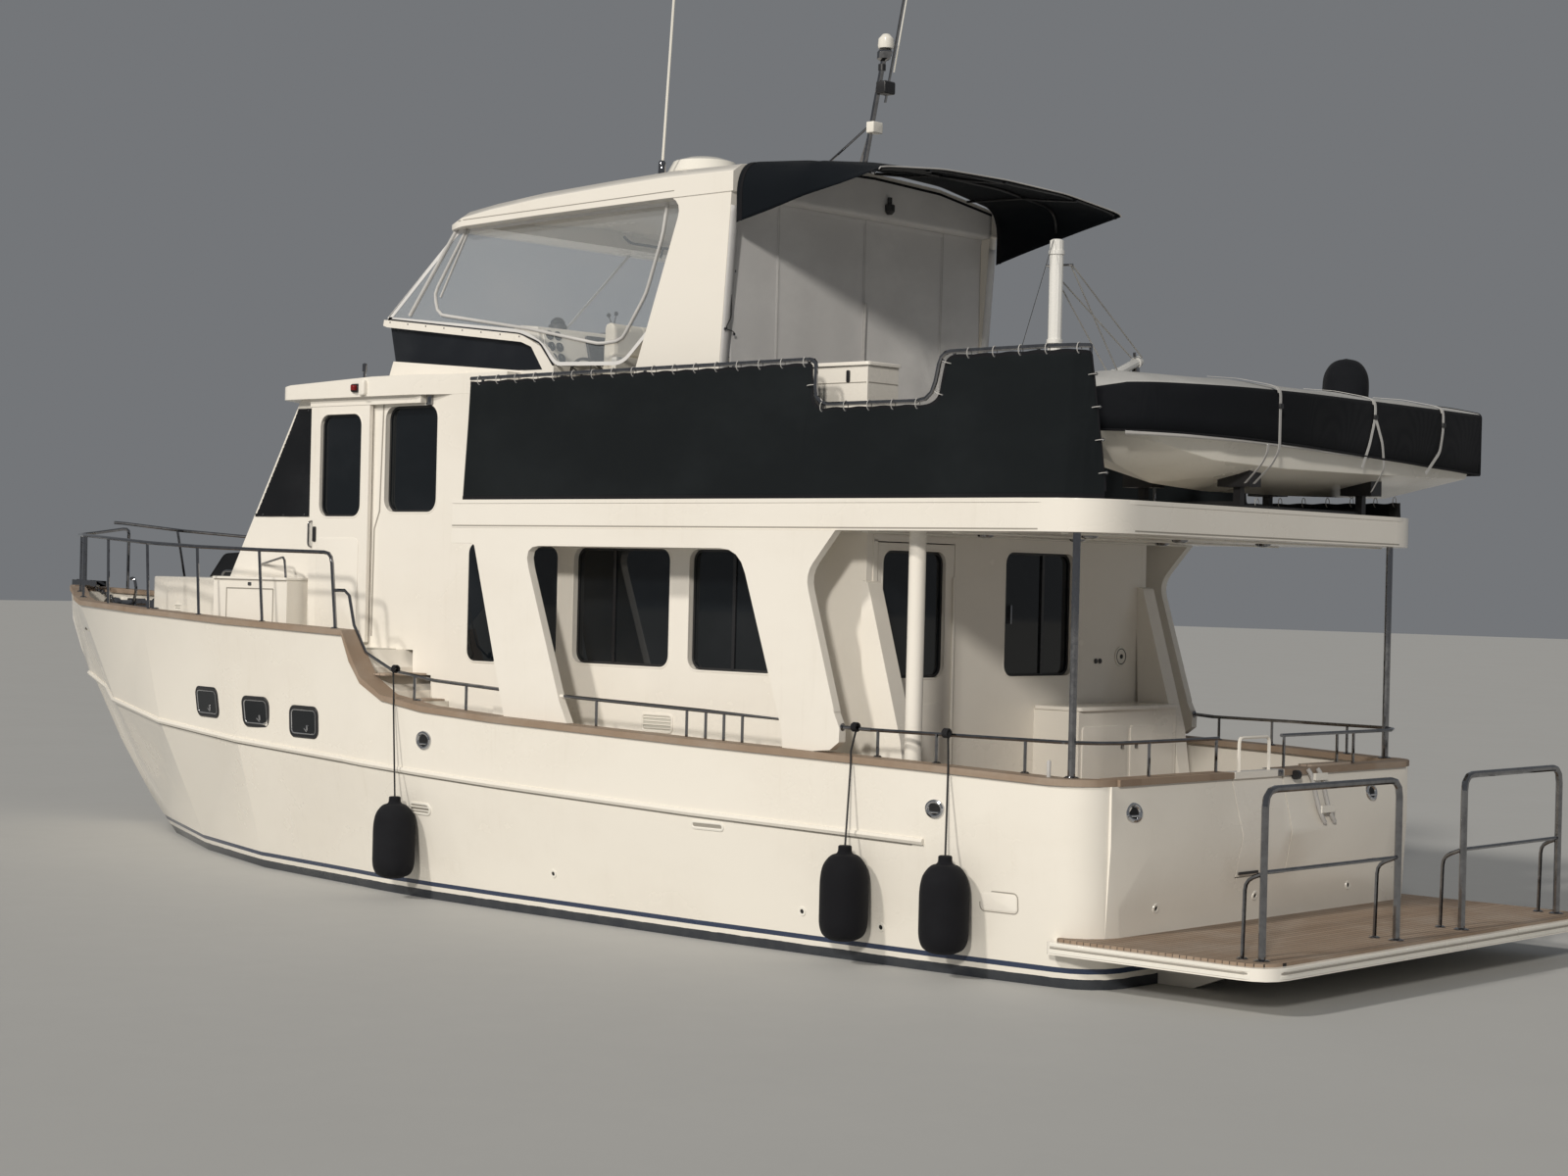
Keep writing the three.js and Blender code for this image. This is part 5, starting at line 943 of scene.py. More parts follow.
def cover_tender():
    """The tender's cover: flat dark sides, a soft shoulder, and a pale crown that sags a little between its straps. A
    section is an eased path from foot to foot, taken at even steps of its own corners, so that the same column runs
    along the shoulder, and the sides sway by a sine of their run."""
    y, half = tender_plan.T
    foot = 3.522 + 0.034 * (y + 2.5)
    held = np.exp(-((y[:, None] - cover_straps) / 0.16) ** 2).sum(1)
    crown = 4.088 - 0.009 * (1 - held) - 0.35 * np.maximum(y - 1.2, 0)
    count = 89
    rows = []
    for across, width, low, high in zip(y, half, foot, crown):
        side = min(3.985, high - 0.05)
        right = [(width, low), (width, side - 0.004), (0.6 * width, high - 0.034), (0, high)]
        whole = right + [(-w, z) for w, z in right[-2::-1]]
        corners = eased(whole, [0.035, 0.12, 0.2, 0.12, 0.035], 6)
        step = np.linspace(0, len(corners) - 1, count)
        profile = np.stack([np.interp(step, np.arange(len(corners)), column) for column in corners.T], -1)
        rows.append(np.column_stack([tender_x + profile[:, 0], np.full(count, across), profile[:, 1]]))
    grid = np.stack(rows)
    upright = np.clip((3.985 - grid[..., 2]) / 0.46, 0, 1)
    outward = np.sign(grid[..., 0] - tender_x)
    grid[..., 0] += 0.0045 * upright * outward * np.sin(9.0 * grid[..., 1] + 4 * grid[..., 2])
    column = np.arange(count - 1)
    dark = np.broadcast_to((column < 11) | (column > count - 13), (len(y) - 1, count - 1))
    straps = []

    def lash(points):
        path = [(tender_side + inward, across, z) for inward, across, z in points]
        straps.append(strap(bent(path, 0.04, 40), 0.028, 0.003, -X))

    lash([(0.010, 0.335, 3.985), (-0.006, 0.335, 3.95), (-0.006, 0.335, 3.56), (0.06, 0.325, 3.46),
          (0.20, 0.32, 3.335)])
    lash([(-0.003, 0.475, 3.60), (0.004, 0.465, 3.54), (0.06, 0.45, 3.46), (0.20, 0.43, 3.335)])
    lash([(0.010, -0.93, 3.985), (-0.006, -0.93, 3.95), (-0.008, -0.93, 3.86), (-0.006, -0.86, 3.66),
          (0.01, -0.79, 3.49)])
    lash([(-0.008, -0.93, 3.86), (-0.006, -1.04, 3.68), (0.02, -1.12, 3.50), (0.16, -1.19, 3.34)])
    lash([(0.010, -1.92, 3.985), (-0.006, -1.92, 3.95), (-0.007, -1.92, 3.82), (-0.006, -1.88, 3.66),
          (0.01, -1.70, 3.49)])
    for across in cover_straps:
        tab = [(0.004, across, 3.950), (0.014, across, 3.990), (0.08, across, 4.010), (0.17, across, 4.028),
               (0.33, across, 4.059), (0.58, across, 4.082)]
        path = [(tender_side + inward, where, z) for inward, where, z in tab]
        straps.append(strap(bent(path, 0.03, 24), 0.036, 0.003, unit((-0.25, 0, 1))))
        straps.append(block((0.046, 0.034, 0.006), 0.012, 0.003, 1, (tender_side - 0.006, across, 3.86), -Y))
    ties = joined("tender_cover_straps", straps, ["white_webbing", "black_plastic"])
    rim = [tube(np.concatenate([grid[:, 0], grid[::-1, -1]]), 0.008, 8), tube(grid[-1, ::2], 0.007, 6)]
    edging = joined("tender_cover_edging", rim, ["binding"])
    last = list(range((len(y) - 1) * count, len(y) * count))
    sewn("tender_cover_cloth", grid, ["cover_top", "cover_side"], ["tender_cover"],
         numbers=dark.reshape(-1).astype(int).tolist() + [1], caps=[last])


cover_tender()


def hood_outboard():
    """The outboard's cowl has a drawn-in hood: a turned profile whose foot gathers in small pleats."""
    profile = bent([(0.140, 0), (0.176, 0.03), (0.182, 0.11), (0.175, 0.24), (0.11, 0.345), (0.003, 0.368)],
                   [0.02, 0.05, 0.08, 0.09], 40)
    angle = np.linspace(0, 2 * np.pi, 121)[None, :]
    pleats = 1 + 0.018 * np.cos(22 * angle) * np.exp(-profile[:, 1:] / 0.05) + 0.012 * np.cos(2 * angle + 0.4)
    radius = profile[:, :1] * pleats * (1 - 0.06 * (1 - np.cos(4 * angle)) / 2)
    grid = np.stack([tender_x + 0.020 + radius * np.cos(angle), -1.960 + radius * np.sin(angle),
                     4.050 + profile[:, 1:] * 0.92 + 0 * angle], -1)
    cord = joined("outboard_hood_cord", [tube(looped(grid[5, :-1]), 0.006, 6)], ["binding"])
    sewn("outboard_hood_cloth", grid, ["cover_side"], [])


hood_outboard()


def stuff_seat():
    """The helm seat's cushion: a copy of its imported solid, remeshed and blown up as cloth, held where it rests on the
    shell, then sewn into channels. Each channel is a groove: depth * exp(-(distance / width)^2)."""
    mesh = nodes["helm_seat_cushion"].data.copy()
    cushion = bpy.data.objects.new("helm_cushion", mesh)
    mesh.name = "helm_cushion"
    scene.collection.objects.link(cushion)
    mesh.materials.clear()
    mesh.materials.append(finish["vinyl"].material)
    tidy = bmesh.new()
    tidy.from_mesh(mesh)
    bmesh.ops.remove_doubles(tidy, verts=tidy.verts, dist=1e-4)
    bmesh.ops.recalc_face_normals(tidy, faces=tidy.faces)
    tidy.to_mesh(mesh)
    tidy.free()

    def applied(kind, **settings):
        made = cushion.modifiers.new(kind.lower(), kind)
        for key, value in settings.items():
            setattr(made, key, value)
        graph = bpy.context.evaluated_depsgraph_get()
        shaped = bpy.data.meshes.new_from_object(cushion.evaluated_get(graph))
        cushion.modifiers.clear()
        old, cushion.data = cushion.data, shaped
        bpy.data.meshes.remove(old)

    def points():
        found = np.empty(len(cushion.data.vertices) * 3, np.float32)
        cushion.data.vertices.foreach_get("co", found)
        return found.reshape(-1, 3).astype(float)

    def put(moved):
        cushion.data.vertices.foreach_set("co", moved.astype(np.float32).ravel())
        cushion.data.update()

    applied("REMESH", mode="VOXEL", voxel_size=0.012)
    start = points()
    seat_x = -1.960
    resting = (start[:, 2] < 3.635) | ((start[:, 0] < seat_x + 0.02) & (start[:, 2] < 4.36))
    made = cushion.modifiers.new("cloth", "CLOTH")
    made.settings.use_pressure = True
    made.settings.uniform_pressure_force = 4
    made.settings.effector_weights.gravity = 0
    made.settings.quality = 5
    for frame_number in range(1, 21):
        scene.frame_set(frame_number)
    graph = bpy.context.evaluated_depsgraph_get()
    blown = np.empty(len(start) * 3, np.float32)
    cushion.evaluated_get(graph).data.vertices.foreach_get("co", blown)
    cushion.modifiers.clear()
    scene.frame_set(1)
    step = blown.reshape(-1, 3) - start
    length = np.linalg.norm(step, axis=1, keepdims=True)
    step *= np.minimum(1, 0.022 / np.maximum(length, 1e-6))
    step[resting] = 0
    put(start + step)
    applied("SMOOTH", factor=0.5, iterations=3)
    applied("SUBSURF", levels=1, render_levels=1)
    here = points()
    rounded = here - np.array([seat_x + 0.2, 0.96, 3.9])
    channels = sum(np.exp(-((here[:, 1] - across) / 0.009) ** 2) for across in (0.80, 0.96, 1.12))
    channels += np.exp(-((here[:, 2] - 4.20 - 0.1 * (here[:, 0] - seat_x)) / 0.009) ** 2) * (here[:, 0] > seat_x + 0.03)
    front = (here[:, 0] > seat_x + 0.06) | (here[:, 2] > 4.40)
    depth = 0.008 * np.minimum(channels, 1) * front
    put(here - depth[:, None] * unit(rounded) * (1, 0, 1))
    cushion.data.shade_smooth()
    box = np.array(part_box("helm_seat_cushion"))
    put(np.clip(points(), box[0] - 0.012, box[1] + 0.012))
    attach(cushion, "yacht")
    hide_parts("helm_seat_cushion")


stuff_seat()


# Fittings on the topsides

hull_tree = ray_tree("hull")
cap_tree = ray_tree("hull", "cap_rail")


def seen(tree, start, direction):
    """Where a ray meets the tree, with the right hand and the up of someone who looks along it."""
    place, out = met(tree, start, direction)
    right = unit(np.cross(Z, out))
    return place, right, np.cross(out, right)


def on_side(x, z):
    """The port topside at x and z."""
    return seen(hull_tree, (x, 5, z), -Y)


def on_cap(x, inboard=0.085):
    """The top of the port cap rail, a distance inboard of its outer edge."""
    over_cap = np.interp(x, [-7, 2, 5, 6.5, 7.1], [2.1, 2.1, 1.4, 0.58, 0.16])
    top = met(cap_tree, (x, over_cap, 5), -Z)[0][2]
    edge = met(cap_tree, (x, 5, top - 0.02), -Y)[0][1]
    return met(cap_tree, (x, edge - inboard, 5), -Z)[0]


def ellipse(width, height, around=28):
    """An ellipse's outline."""
    return circle(around) * (width / 2, height / 2)


def port_light(x, z, width, height):
    """A rounded port light: a dark frame with a bright outer lip, its pane, and the stay and latch behind it."""
    spot = on_side(x, z)
    outline = rectangle(width, height, 0.050, 6)
    parts = [moulding(outline, [(-0.008, -0.01), (-0.008, 0.009), (0.012, 0.012), (0.022, 0.006), (0.023, -0.01)], 1),
             moulding(outline, [(-0.024, -0.008), (-0.024, 0.004), (-0.018, 0.010), (-0.011, 0.010), (-0.008, -0.008)],
                      0), plate(moved_out(outline, -0.023), 0.008, 0, 2),
             block((0.022, 0.046, 0.008), 0.007, 0.002, 0, (0.06, -0.045, 0.008), X, Y),
             block((0.050, 0.012, 0.005), 0.006, 0.002, 0, (0.035, -0.065, 0.008), unit((1, -0.7, 0)),
                   unit((0.7, 1, 0)))]
    return [placed(part, *spot) for part in parts]


joined("port_lights", both_sides([part for spot in ((2.205, 1.420, 0.385, 0.225), (1.385, 1.375, 0.350, 0.225),
                                                  (0.665, 1.328, 0.385, 0.225)) for part in port_light(*spot)]),
       ["chrome", "frame", "glass"])


def hawse(width, height, spot):
    """A hawse pipe: a bright rolled lip round a mouth plate painted near black as the shade inside the pipe, with a
    roller bar across it.
    """
    outline = ellipse(width, height)
    mouth = [(-0.045, -0.004), (-0.018, 0.003), (-0.010, 0.014), (0.0, 0.017), (0.012, 0.011), (0.016, 0.0),
             (0.016, -0.01), (-0.045, -0.01)]
    parts = [moulding(outline, mouth), plate(moved_out(outline, -0.016), 0.004, 0, 1),
             tube([(-width * 0.30, -height * 0.22, 0.012), (width * 0.30, -height * 0.22, 0.012)], 0.008, 8)]
    return [placed(part, *spot) for part in parts]


def on_transom(y, z):
    """The transom at y and z, seen from astern."""
    return seen(hull_tree, (-9, y, z), X)


pipes = both_sides(hawse(0.150, 0.120, on_side(-0.976, 1.27)) + hawse(0.125, 0.100, on_side(-6.089, 1.101)))
pipes += hawse(0.125, 0.105, on_transom(1.66, 1.140)) + hawse(0.125, 0.105, on_transom(-1.306, 1.155))
joined("hawse_pipes", pipes, ["chrome", "hole"])


def louvred(width, height, slats, spot, radius):
    """A vent: a moulded frame round a recess plate painted darker as the recess's shade, with tilted slats across it.
    """
    outline = rectangle(width, height, radius)
    parts = [moulding(outline, [(-0.012, -0.01), (-0.012, 0.005), (-0.006, 0.009), (0.006, 0.007), (0.012, -0.01)]),
             plate(moved_out(outline, -0.008), 0.002, 0, 1)]
    for height_at in np.linspace(-0.5, 0.5, slats + 2)[1:-1] * height:
        line = [(-width * 0.45, height_at, 0.004), (width * 0.45, height_at, 0.004)]
        parts.append(strap(line, 0.008, 0.003, unit((0, 1, 1))))
    return [placed(part, *spot) for part in parts]


vents = louvred(0.27, 0.085, 2, on_side(-0.875, 0.722), 0.042) + louvred(0.30, 0.050, 0, on_side(-4.06, 0.835), 0.024)
joined("hull_vents", both_sides(vents), ["pale_gelcoat", "seam"])
house_vents = louvred(0.32, 0.13, 4, ((-3.00, 1.721, 1.50), -X, Z), 0.03)
house_vents += louvred(0.30, 0.055, 1, ((3.71, 1.260, 2.215), unit((-1, 0.19, 0)), Z), 0.02)
# The house vents' recess plates take the mid-grey nonskid finish as painted shade in the recess
joined("house_vents", both_sides(house_vents), ["gelcoat", "nonskid"])

recess = rectangle(0.30, 0.135, 0.035)
lid = [moulding(recess, [(-0.004, -0.003), (-0.004, 0.002), (0.004, 0.002), (0.004, -0.003)], 1),
       plate(moved_out(recess, -0.010), 0.003, 0.002)]
joined("shore_power_lids", both_sides([placed(part, *on_side(-6.580, 0.522)) for part in lid]), ["gelcoat", "seam"])

outlets = [on_transom(1.381, 0.498), on_transom(0.188, 0.500), on_transom(-1.069, 0.488), on_side(-4.9, 0.30),
           on_side(-2.4, 0.34), on_side(-5.6, 0.26)]
outlet = [moulding(circle(20, 0.025), [(-0.010, -0.004), (-0.008, 0.006), (0.006, 0.007), (0.012, -0.004)]),
          plate(circle(20, 0.021), 0.002, 0, 1)]
# Each outlet's mouth is a plate in the near-black mouth finish: painted shade
joined("discharge_fittings", [placed(part, *spot) for spot in outlets for part in outlet], ["pale_gelcoat", "hole"])


def strake_line():
    """The knuckle's shadow line: a thin groove cover just below the rub strake, from bow to quarter."""
    xs = np.linspace(-5.9, 6.6, 90)
    stations = [(-6.0, 0.875), (-3.9, 0.920), (-1.8, 0.980), (-0.95, 1.010), (0.08, 1.055), (1.7, 1.120), (3.2, 1.200),
                (4.7, 1.310), (5.6, 1.385), (6.3, 1.435), (6.8, 1.475)]
    knuckle = np.interp(xs, *np.array(stations).T) - 0.030
    path = np.array([met(hull_tree, (x, 5, z), (0, -1, 0))[0] for x, z in zip(xs, knuckle)])
    return tube(path + (0, 0.001, 0), 0.005, 6)


joined("strake_seams", both_sides([strake_line()]), ["seam"])

# Transom and gate

gate_front = ray_tree("transom_gate")


def on_gate(y, z):
    return met(gate_front, (-9, y, z), (1, 0, 0))[0]


bar = [on_gate(y, 0.672) - (0.006, 0, 0) for y in np.linspace(0.225, 0.462, 12)]
joined("gate_foot_bar", [strap(bar, 0.018, 0.014, -X)], ["black_plastic"], body="gate")
catch = [block((0.060, 0.045, 0.008), 0.010, 0.003, 0, (-7.322, -0.085, 1.338), -Y, Z),
         tube([(-7.336, -0.095, 1.338), (-7.336, -0.060, 1.338)], 0.008, 8),
         block((0.050, 0.060, 0.010), 0.004, 0.002, 0, (-7.200, -0.110, 1.362), Y, X)]
joined("gate_catch", catch, ["steel"], body="gate")
fold = [(-7.332, -0.43, 1.352), (-7.362, -0.45, 1.30), (-7.380, -0.47, 1.16), (-7.404, -0.50, 1.04),
        (-7.410, -0.55, 0.975)]
ladder = [tube(bent(fold, 0.08, 30), 0.016, 10),
          tube(bent([(x, y - 0.13, z) for x, y, z in fold], 0.08, 30), 0.016, 10),
          strap(spaced([(-7.385, -0.44, 1.30), (-7.385, -0.60, 1.30)], 6), 0.05, 0.02, -X, 1),
          strap(spaced([(-7.412, -0.49, 1.07), (-7.412, -0.66, 1.07)], 6), 0.05, 0.02, -X, 1),
          tube([(-7.345, -0.28, 1.318), (-7.345, -0.245, 1.318)], 0.034, 16, 2)]
joined("boarding_ladder", ladder, ["white_webbing", "pale_gelcoat", "black_plastic"])
pad = plate(rectangle(0.115, 0.56, 0.02), 0.016, 0.005)
joined("transom_step_pad", [placed(pad, (-7.235, -0.82, 1.361), X, Y)], ["pale_teak"])

# Swim platform: its edge moulding and the rails' flanges

edge_path = bent([(-7.05, 2.191, 0), (-8.681, 2.191, 0), (-8.681, -2.191, 0), (-7.05, -2.191, 0)], 0.23, 140, 12)
outward = edge_path * (1, 1, 0) - (-7.84, 0, 0)
platform_trim = [carried(edge_path + (0, 0, z), [(-h, -0.004), (h, -0.004), (h * 0.6, d), (-h * 0.6, d)], unit(outward),
                         n) for z, h, d, n in ((0.301, 0.012, 0.005, 0), (0.280, 0.009, 0.002, 1),
                                               (0.256, 0.014, 0.005, 0))]
joined("platform_edging", platform_trim, ["pale_gelcoat", "seam"])


def flange(place, radius):
    """A pipe's base: a low dished disc with four screw heads."""
    parts = [turned([(0, 0.0), (radius, 0), (radius, 0.004), (radius * 0.62, 0.012), (0, 0.012)], place, Z, 20)]
    for x, y in circle(4, radius * 0.8):
        parts.append(turned([(0, 0.009), (0.004, 0.008), (0.005, 0.004), (0, 0.004)], np.add(place, (x, y, 0.002)), Z,
                            8))
    return parts


feet = [(x, y, 0.3355) for outer, inner in ((1.985, 0.390), (-1.930, -0.490))
        for x, y in ((-8.500, outer), (-8.520, inner), (-8.360, outer), (-8.360, inner))]
joined("platform_flanges", [part for place in feet for part in flange(place, 0.052 if place[0] < -8.4 else 0.038)],
       ["steel"])

# Decks

def bulwark_at(x, z):
    """The inner face of the port bulwark at x, a little above a deck at z."""
    return met(hull_tree, (x, 0.0 if z > 1.9 else 1.78, z + 0.03), (0, 1, 0))[0][1]


def laid(name, xs, inner, z, look, margin=0.03):
    """Deck covering between inner(x) and the bulwark less a margin, as a low slab."""
    thickness = 0.006
    outer = np.array([bulwark_at(x, z) for x in xs]) - margin
    low = np.array([inner(x) for x in xs])
    ring = np.stack([np.column_stack([xs, low, np.full(len(xs), z)]),
                     np.column_stack([xs, low, np.full(len(xs), z + thickness)]),
                     np.column_stack([xs, outer, np.full(len(xs), z + thickness)]),
                     np.column_stack([xs, outer, np.full(len(xs), z)])], 1)
    joined(name, both_sides([skin(ring)]), [look])


def foredeck_inner(x):
    """How far the house, then the lockers, then the trunk cabin reach out from the centreline at x."""
    if x < 1.28:
        return 1.69
    if x < 2.42:
        return 1.92
    return max(1.42 - 0.16 * (x - 2.4) - 0.3 * max(x - 4.4, 0) ** 2, 0.02)


cockpit_deck, side_deck, foredeck = 0.640, 0.950, 1.950
laid("cockpit_sole", np.linspace(-7.15, -5.09, 24), lambda x: 0.0, cockpit_deck, "sole", margin=0.015)
laid("side_deck_tread", np.linspace(-5.02, -1.03, 40), lambda x: 1.765, side_deck, "nonskid")
laid("foredeck_tread", np.concatenate([np.linspace(0.10, 2.3, 20), np.linspace(2.4, 4.9, 22)]), foredeck_inner,
     foredeck, "nonskid")
laid("bow_tread", np.linspace(5.06, 6.80, 20), lambda x: 0.0, foredeck, "nonskid")


def treads():
    """Teak treads with a rounded nosing on the four steps up to the foredeck, both sides."""
    parts = []
    inner, outer = 1.675, bulwark_at(-0.95, 1.150) - 0.035
    for step in range(4):
        x, z = -1.0 + 0.2325 * (step + 0.5), 1.150 + 0.2 * step
        parts.append(block((0.205, outer - inner, 0.02), 0.016, 0.006, 0, (x - 0.006, (outer + inner) / 2, z), X, Y))
    return both_sides(parts)


joined("step_treads", treads(), ["pale_teak"])


# Windows, doors and the house. First the places of the walls' outer faces

house_face, wall_face, door_face, roof_side, bulkhead_face = 1.7203, 1.6503, 1.7063, 1.7603, -5.0303
lip_profile = [(-0.002, -0.010), (-0.002, 0.002), (0.003, 0.004), (0.010, 0.003), (0.013, 0.0), (0.013, -0.002)]


def window(x0, x1, z0, z1, radius, face, depth):
    """A side window's frame: a thin bright lip on the wall's face, and a black gasket where the pane meets the hole."""
    centre = ((x0 + x1) / 2, face, (z0 + z1) / 2)
    outline = rectangle(x1 - x0, z1 - z0, radius, 7)
    parts = [moulding(outline, [(-0.020, -depth), (-0.020, -depth + 0.007), (-0.004, -depth + 0.010),
                                (0.001, -depth + 0.002), (0.001, -depth)], 1), moulding(outline, lip_profile)]
    return [placed(part, centre) for part in parts]


def bar_on(points, width, thick, out, number=0):
    """A straight bar between two points, with its broad face to out."""
    return strap(spaced(points, 4), width, thick, out, number)


frames = []
for x0, x1, z0, z1 in ((-4.190, -3.300, 1.915, 2.815), (-3.100, -2.050, 1.920, 2.815), (-1.870, -1.420, 1.935, 2.820)):
    frames += window(x0, x1, z0, z1, 0.090, house_face, 0.055)
for x, z0, z1 in ((-2.46, 1.925, 2.81), (-3.72, 1.92, 2.81)):
    frames.append(bar_on([(x, 1.668, z0), (x, 1.668, z1)], 0.030, 0.012, Y, 2))
frames += window(-0.320, 0.345, 3.090, 3.975, 0.110, wall_face, 0.055)
joined("side_window_frames", both_sides(frames), ["gelcoat", "gasket", "frame"])
quarter = rectangle(0.400, 0.960, 0.090, 7)
quarter_light = [placed(part, (-0.9450, wall_face, 2.365)) for part in (
    plate(quarter, 0.005, 0.002),
    moulding(quarter, [(-0.004, 0.0), (-0.004, 0.007), (0.004, 0.008), (0.010, 0.005), (0.013, 0.0)], 1))]
joined("quarter_lights", both_sides(quarter_light), ["glass", "gelcoat"])


def across(outline, centre, profile, number=0):
    """A moulding on a wall that faces astern."""
    return placed(moulding(outline, profile, number), centre, -Y, Z)


gasket = [(-0.020, -0.050), (-0.020, -0.043), (-0.004, -0.040), (0.001, -0.048), (0.001, -0.052)]
aft_opening = rectangle(0.870, 0.935, 0.090, 7)
aft_window = [across(aft_opening, (bulkhead_face, -0.325, 2.3825), lip_profile),
              across(aft_opening, (bulkhead_face, -0.325, 2.3825), gasket, 1),
              bar_on([(-4.982, -0.415, 1.925), (-4.982, -0.415, 2.84)], 0.030, 0.014, -X, 2),
              bar_on([(-4.985, -0.015, 2.31), (-4.985, -0.015, 2.45)], 0.016, 0.022, -X, 3)]
joined("aft_window_frame", aft_window, ["gelcoat", "gasket", "frame", "steel"])

door_opening = rectangle(0.713, 0.915, 0.090, 7)
door_trim = [across(door_opening, (bulkhead_face, 1.1815, 2.3725), lip_profile),
             across(door_opening, (bulkhead_face, 1.1815, 2.3725), [(u, v + 0.012) for u, v in gasket], 1),
             block((0.045, 0.150, 0.012), 0.008, 0.003, 2, (bulkhead_face, 1.555, 1.80), -Y, Z),
             tube(bent([(-5.035, 1.555, 1.825), (-5.085, 1.555, 1.825), (-5.085, 1.44, 1.820)], 0.02, 16), 0.009, 8, 2),
             block((0.62, 0.62, 0.04), 0.006, 0.004, 0, (bulkhead_face, 1.16, 1.42), -Y, Z)]
joined("saloon_door_trim", door_trim, ["gelcoat", "gasket", "steel"], body="saloon_door")

surround = [bar_on([(-5.034, 1.628, 1.0), (-5.034, 1.628, 2.90)], 0.045, 0.008, -X),
             bar_on([(-5.034, 0.70, 2.915), (-5.034, 1.65, 2.915)], 0.045, 0.008, -X),
             placed(plate(circle(28, 0.078), 0.010, 0.004, 1), (bulkhead_face, -1.394, 2.060), -Y, Z),
             across(circle(28, 0.060), (-5.0403, -1.394, 2.060), [(-0.004, 0), (0, 0.004), (0.004, 0)], 2),
             placed(plate(circle(20, 0.018), 0.006, 0.002, 2), (-5.0403, -1.394, 2.060), -Y, Z)]
for y in (-1.062, -1.118):
    surround.append(placed(plate(circle(16, 0.020), 0.010, 0.003, 2), (bulkhead_face, y, 2.025), -Y, Z))
joined("bulkhead_fittings", surround, ["gelcoat", "pale_gelcoat", "black_plastic"])

cabinet = [block((0.445, 1.315, 0.03), 0.028, 0.010, 0, (-5.2530, -0.925, 1.6703), X, Y)]
for y in (-1.235, -0.610):
    cabinet.append(block((0.58, 0.74, 0.03), 0.010, 0.004, 0, (-5.4503, y, 1.18), -Y, Z))
    cabinet.append(block((0.030, 0.055, 0.006), 0.012, 0.003, 1, (-5.4603, y + 0.22 * np.sign(-0.92 - y), 1.40), -Y, Z))
joined("cockpit_cabinet_doors", cabinet, ["gelcoat", "steel"])

deckhead = []
for x in (-5.6, -6.5):
    for y in (-1.1, 0.0, 1.1):
        deckhead.append(turned([(0, 0), (0.060, 0), (0.055, 0.012), (0.035, 0.020), (0, 0.020)], (x, y, 2.9497), -Z, 24,
                               0))
        deckhead.append(turned([(0, 0.0195), (0.033, 0.0195), (0.020, 0.025), (0, 0.026)], (x, y, 2.9497), -Z, 20, 1))
deckhead += [bar_on([(x, -2.0, 2.944), (x, 2.0, 2.944)], 0.060, 0.010, -Z, 2) for x in (-5.25, -6.05, -6.95)]
joined("deckhead_fittings", deckhead, ["steel", "lens", "pale_gelcoat"])

boat_edge = bent([(-1.16, 2.2, 0), (-7.30, 2.17, 0), (-7.30, -2.17, 0), (-1.16, -2.2, 0)], 0.53, 180, 14)
edge_out = unit(np.where(np.abs(boat_edge[:, 1:2]) > 1.7, boat_edge * (0, 1, 0), boat_edge - (-6.0, 0, 0)))
fascia = [carried(boat_edge + (0, 0, z), [(-h, -0.008), (h, -0.008), (h, d), (-h, d)], edge_out, n)
          for z, h, d, n in ((2.968, 0.005, 0.0015, 1), (3.155, 0.014, 0.006, 0))]
joined("boat_deck_edging", fascia, ["gelcoat", "seam"])


# Pilothouse, roof and side doors

def door_parts():
    """The sliding door: a raised frame round its window, a recessed lower panel, its pull and its latch."""
    outline = rectangle(0.550, 0.870, 0.100, 7)
    return [placed(moulding(outline, lip_profile), (0.865, door_face, 3.485)),
            placed(moulding(outline, [(-0.020, -0.036), (-0.020, -0.030), (-0.004, -0.028), (0.001, -0.036)], 1),
                   (0.865, door_face, 3.485)), block((0.56, 0.82, 0.05), 0.005, 0.003, 0, (0.880, door_face, 2.46)),
            tube(bent([(1.232, 1.708, 3.01), (1.232, 1.742, 3.00), (1.232, 1.742, 2.80), (1.232, 1.708, 2.79)], 0.02,
                      20), 0.009, 8, 2), block((0.040, 0.130, 0.012), 0.012, 0.003, 3, (1.190, door_face, 2.90))]


for side, label in ((1, "port"), (-1, "starboard")):
    joined("side_door_trim_" + label, [(points * (1, side, 1), faces, number) for points, faces,
                                       number in door_parts()], ["gelcoat", "gasket", "steel", "black_plastic"],
           body="side_door_" + label)

joints = [strap([(0.470, 1.6520, 2.05), (0.462, 1.6520, 2.95), (0.398, 1.6520, 3.10), (0.372, 1.6520, 3.99)], 0.014,
                0.003, Y), strap([(1.300, 1.6520, 2.53), (1.300, 1.6520, 3.02)], 0.012, 0.003, Y)]
joints += [bar_on([(x0, 1.8820, z0), (x1, 1.8820, z1)], 0.010, 0.003, Y) for x0, z0, x1, z1 in (
    (1.52, 2.06, 1.52, 2.42), (2.18, 2.06, 2.18, 2.42), (1.52, 2.06, 2.18, 2.06), (1.52, 2.42, 2.18, 2.42))]
joined("house_seams", both_sides(joints), ["seam"])
locker_lids = [block((1.060, 0.265, 0.03), 0.020, 0.008, 0, (1.850, 1.770, 2.5003), X, Y),
               block((0.045, 0.030, 0.006), 0.008, 0.002, 1, (1.85, 1.8803, 2.46))]
joined("side_locker_lids", both_sides(locker_lids), ["gelcoat", "steel"])
hand_rail = bent([(2.62, 1.40, 2.42), (2.62, 1.43, 2.56), (1.40, 1.86, 2.70), (1.36, 1.87, 2.51)], 0.05, 40)
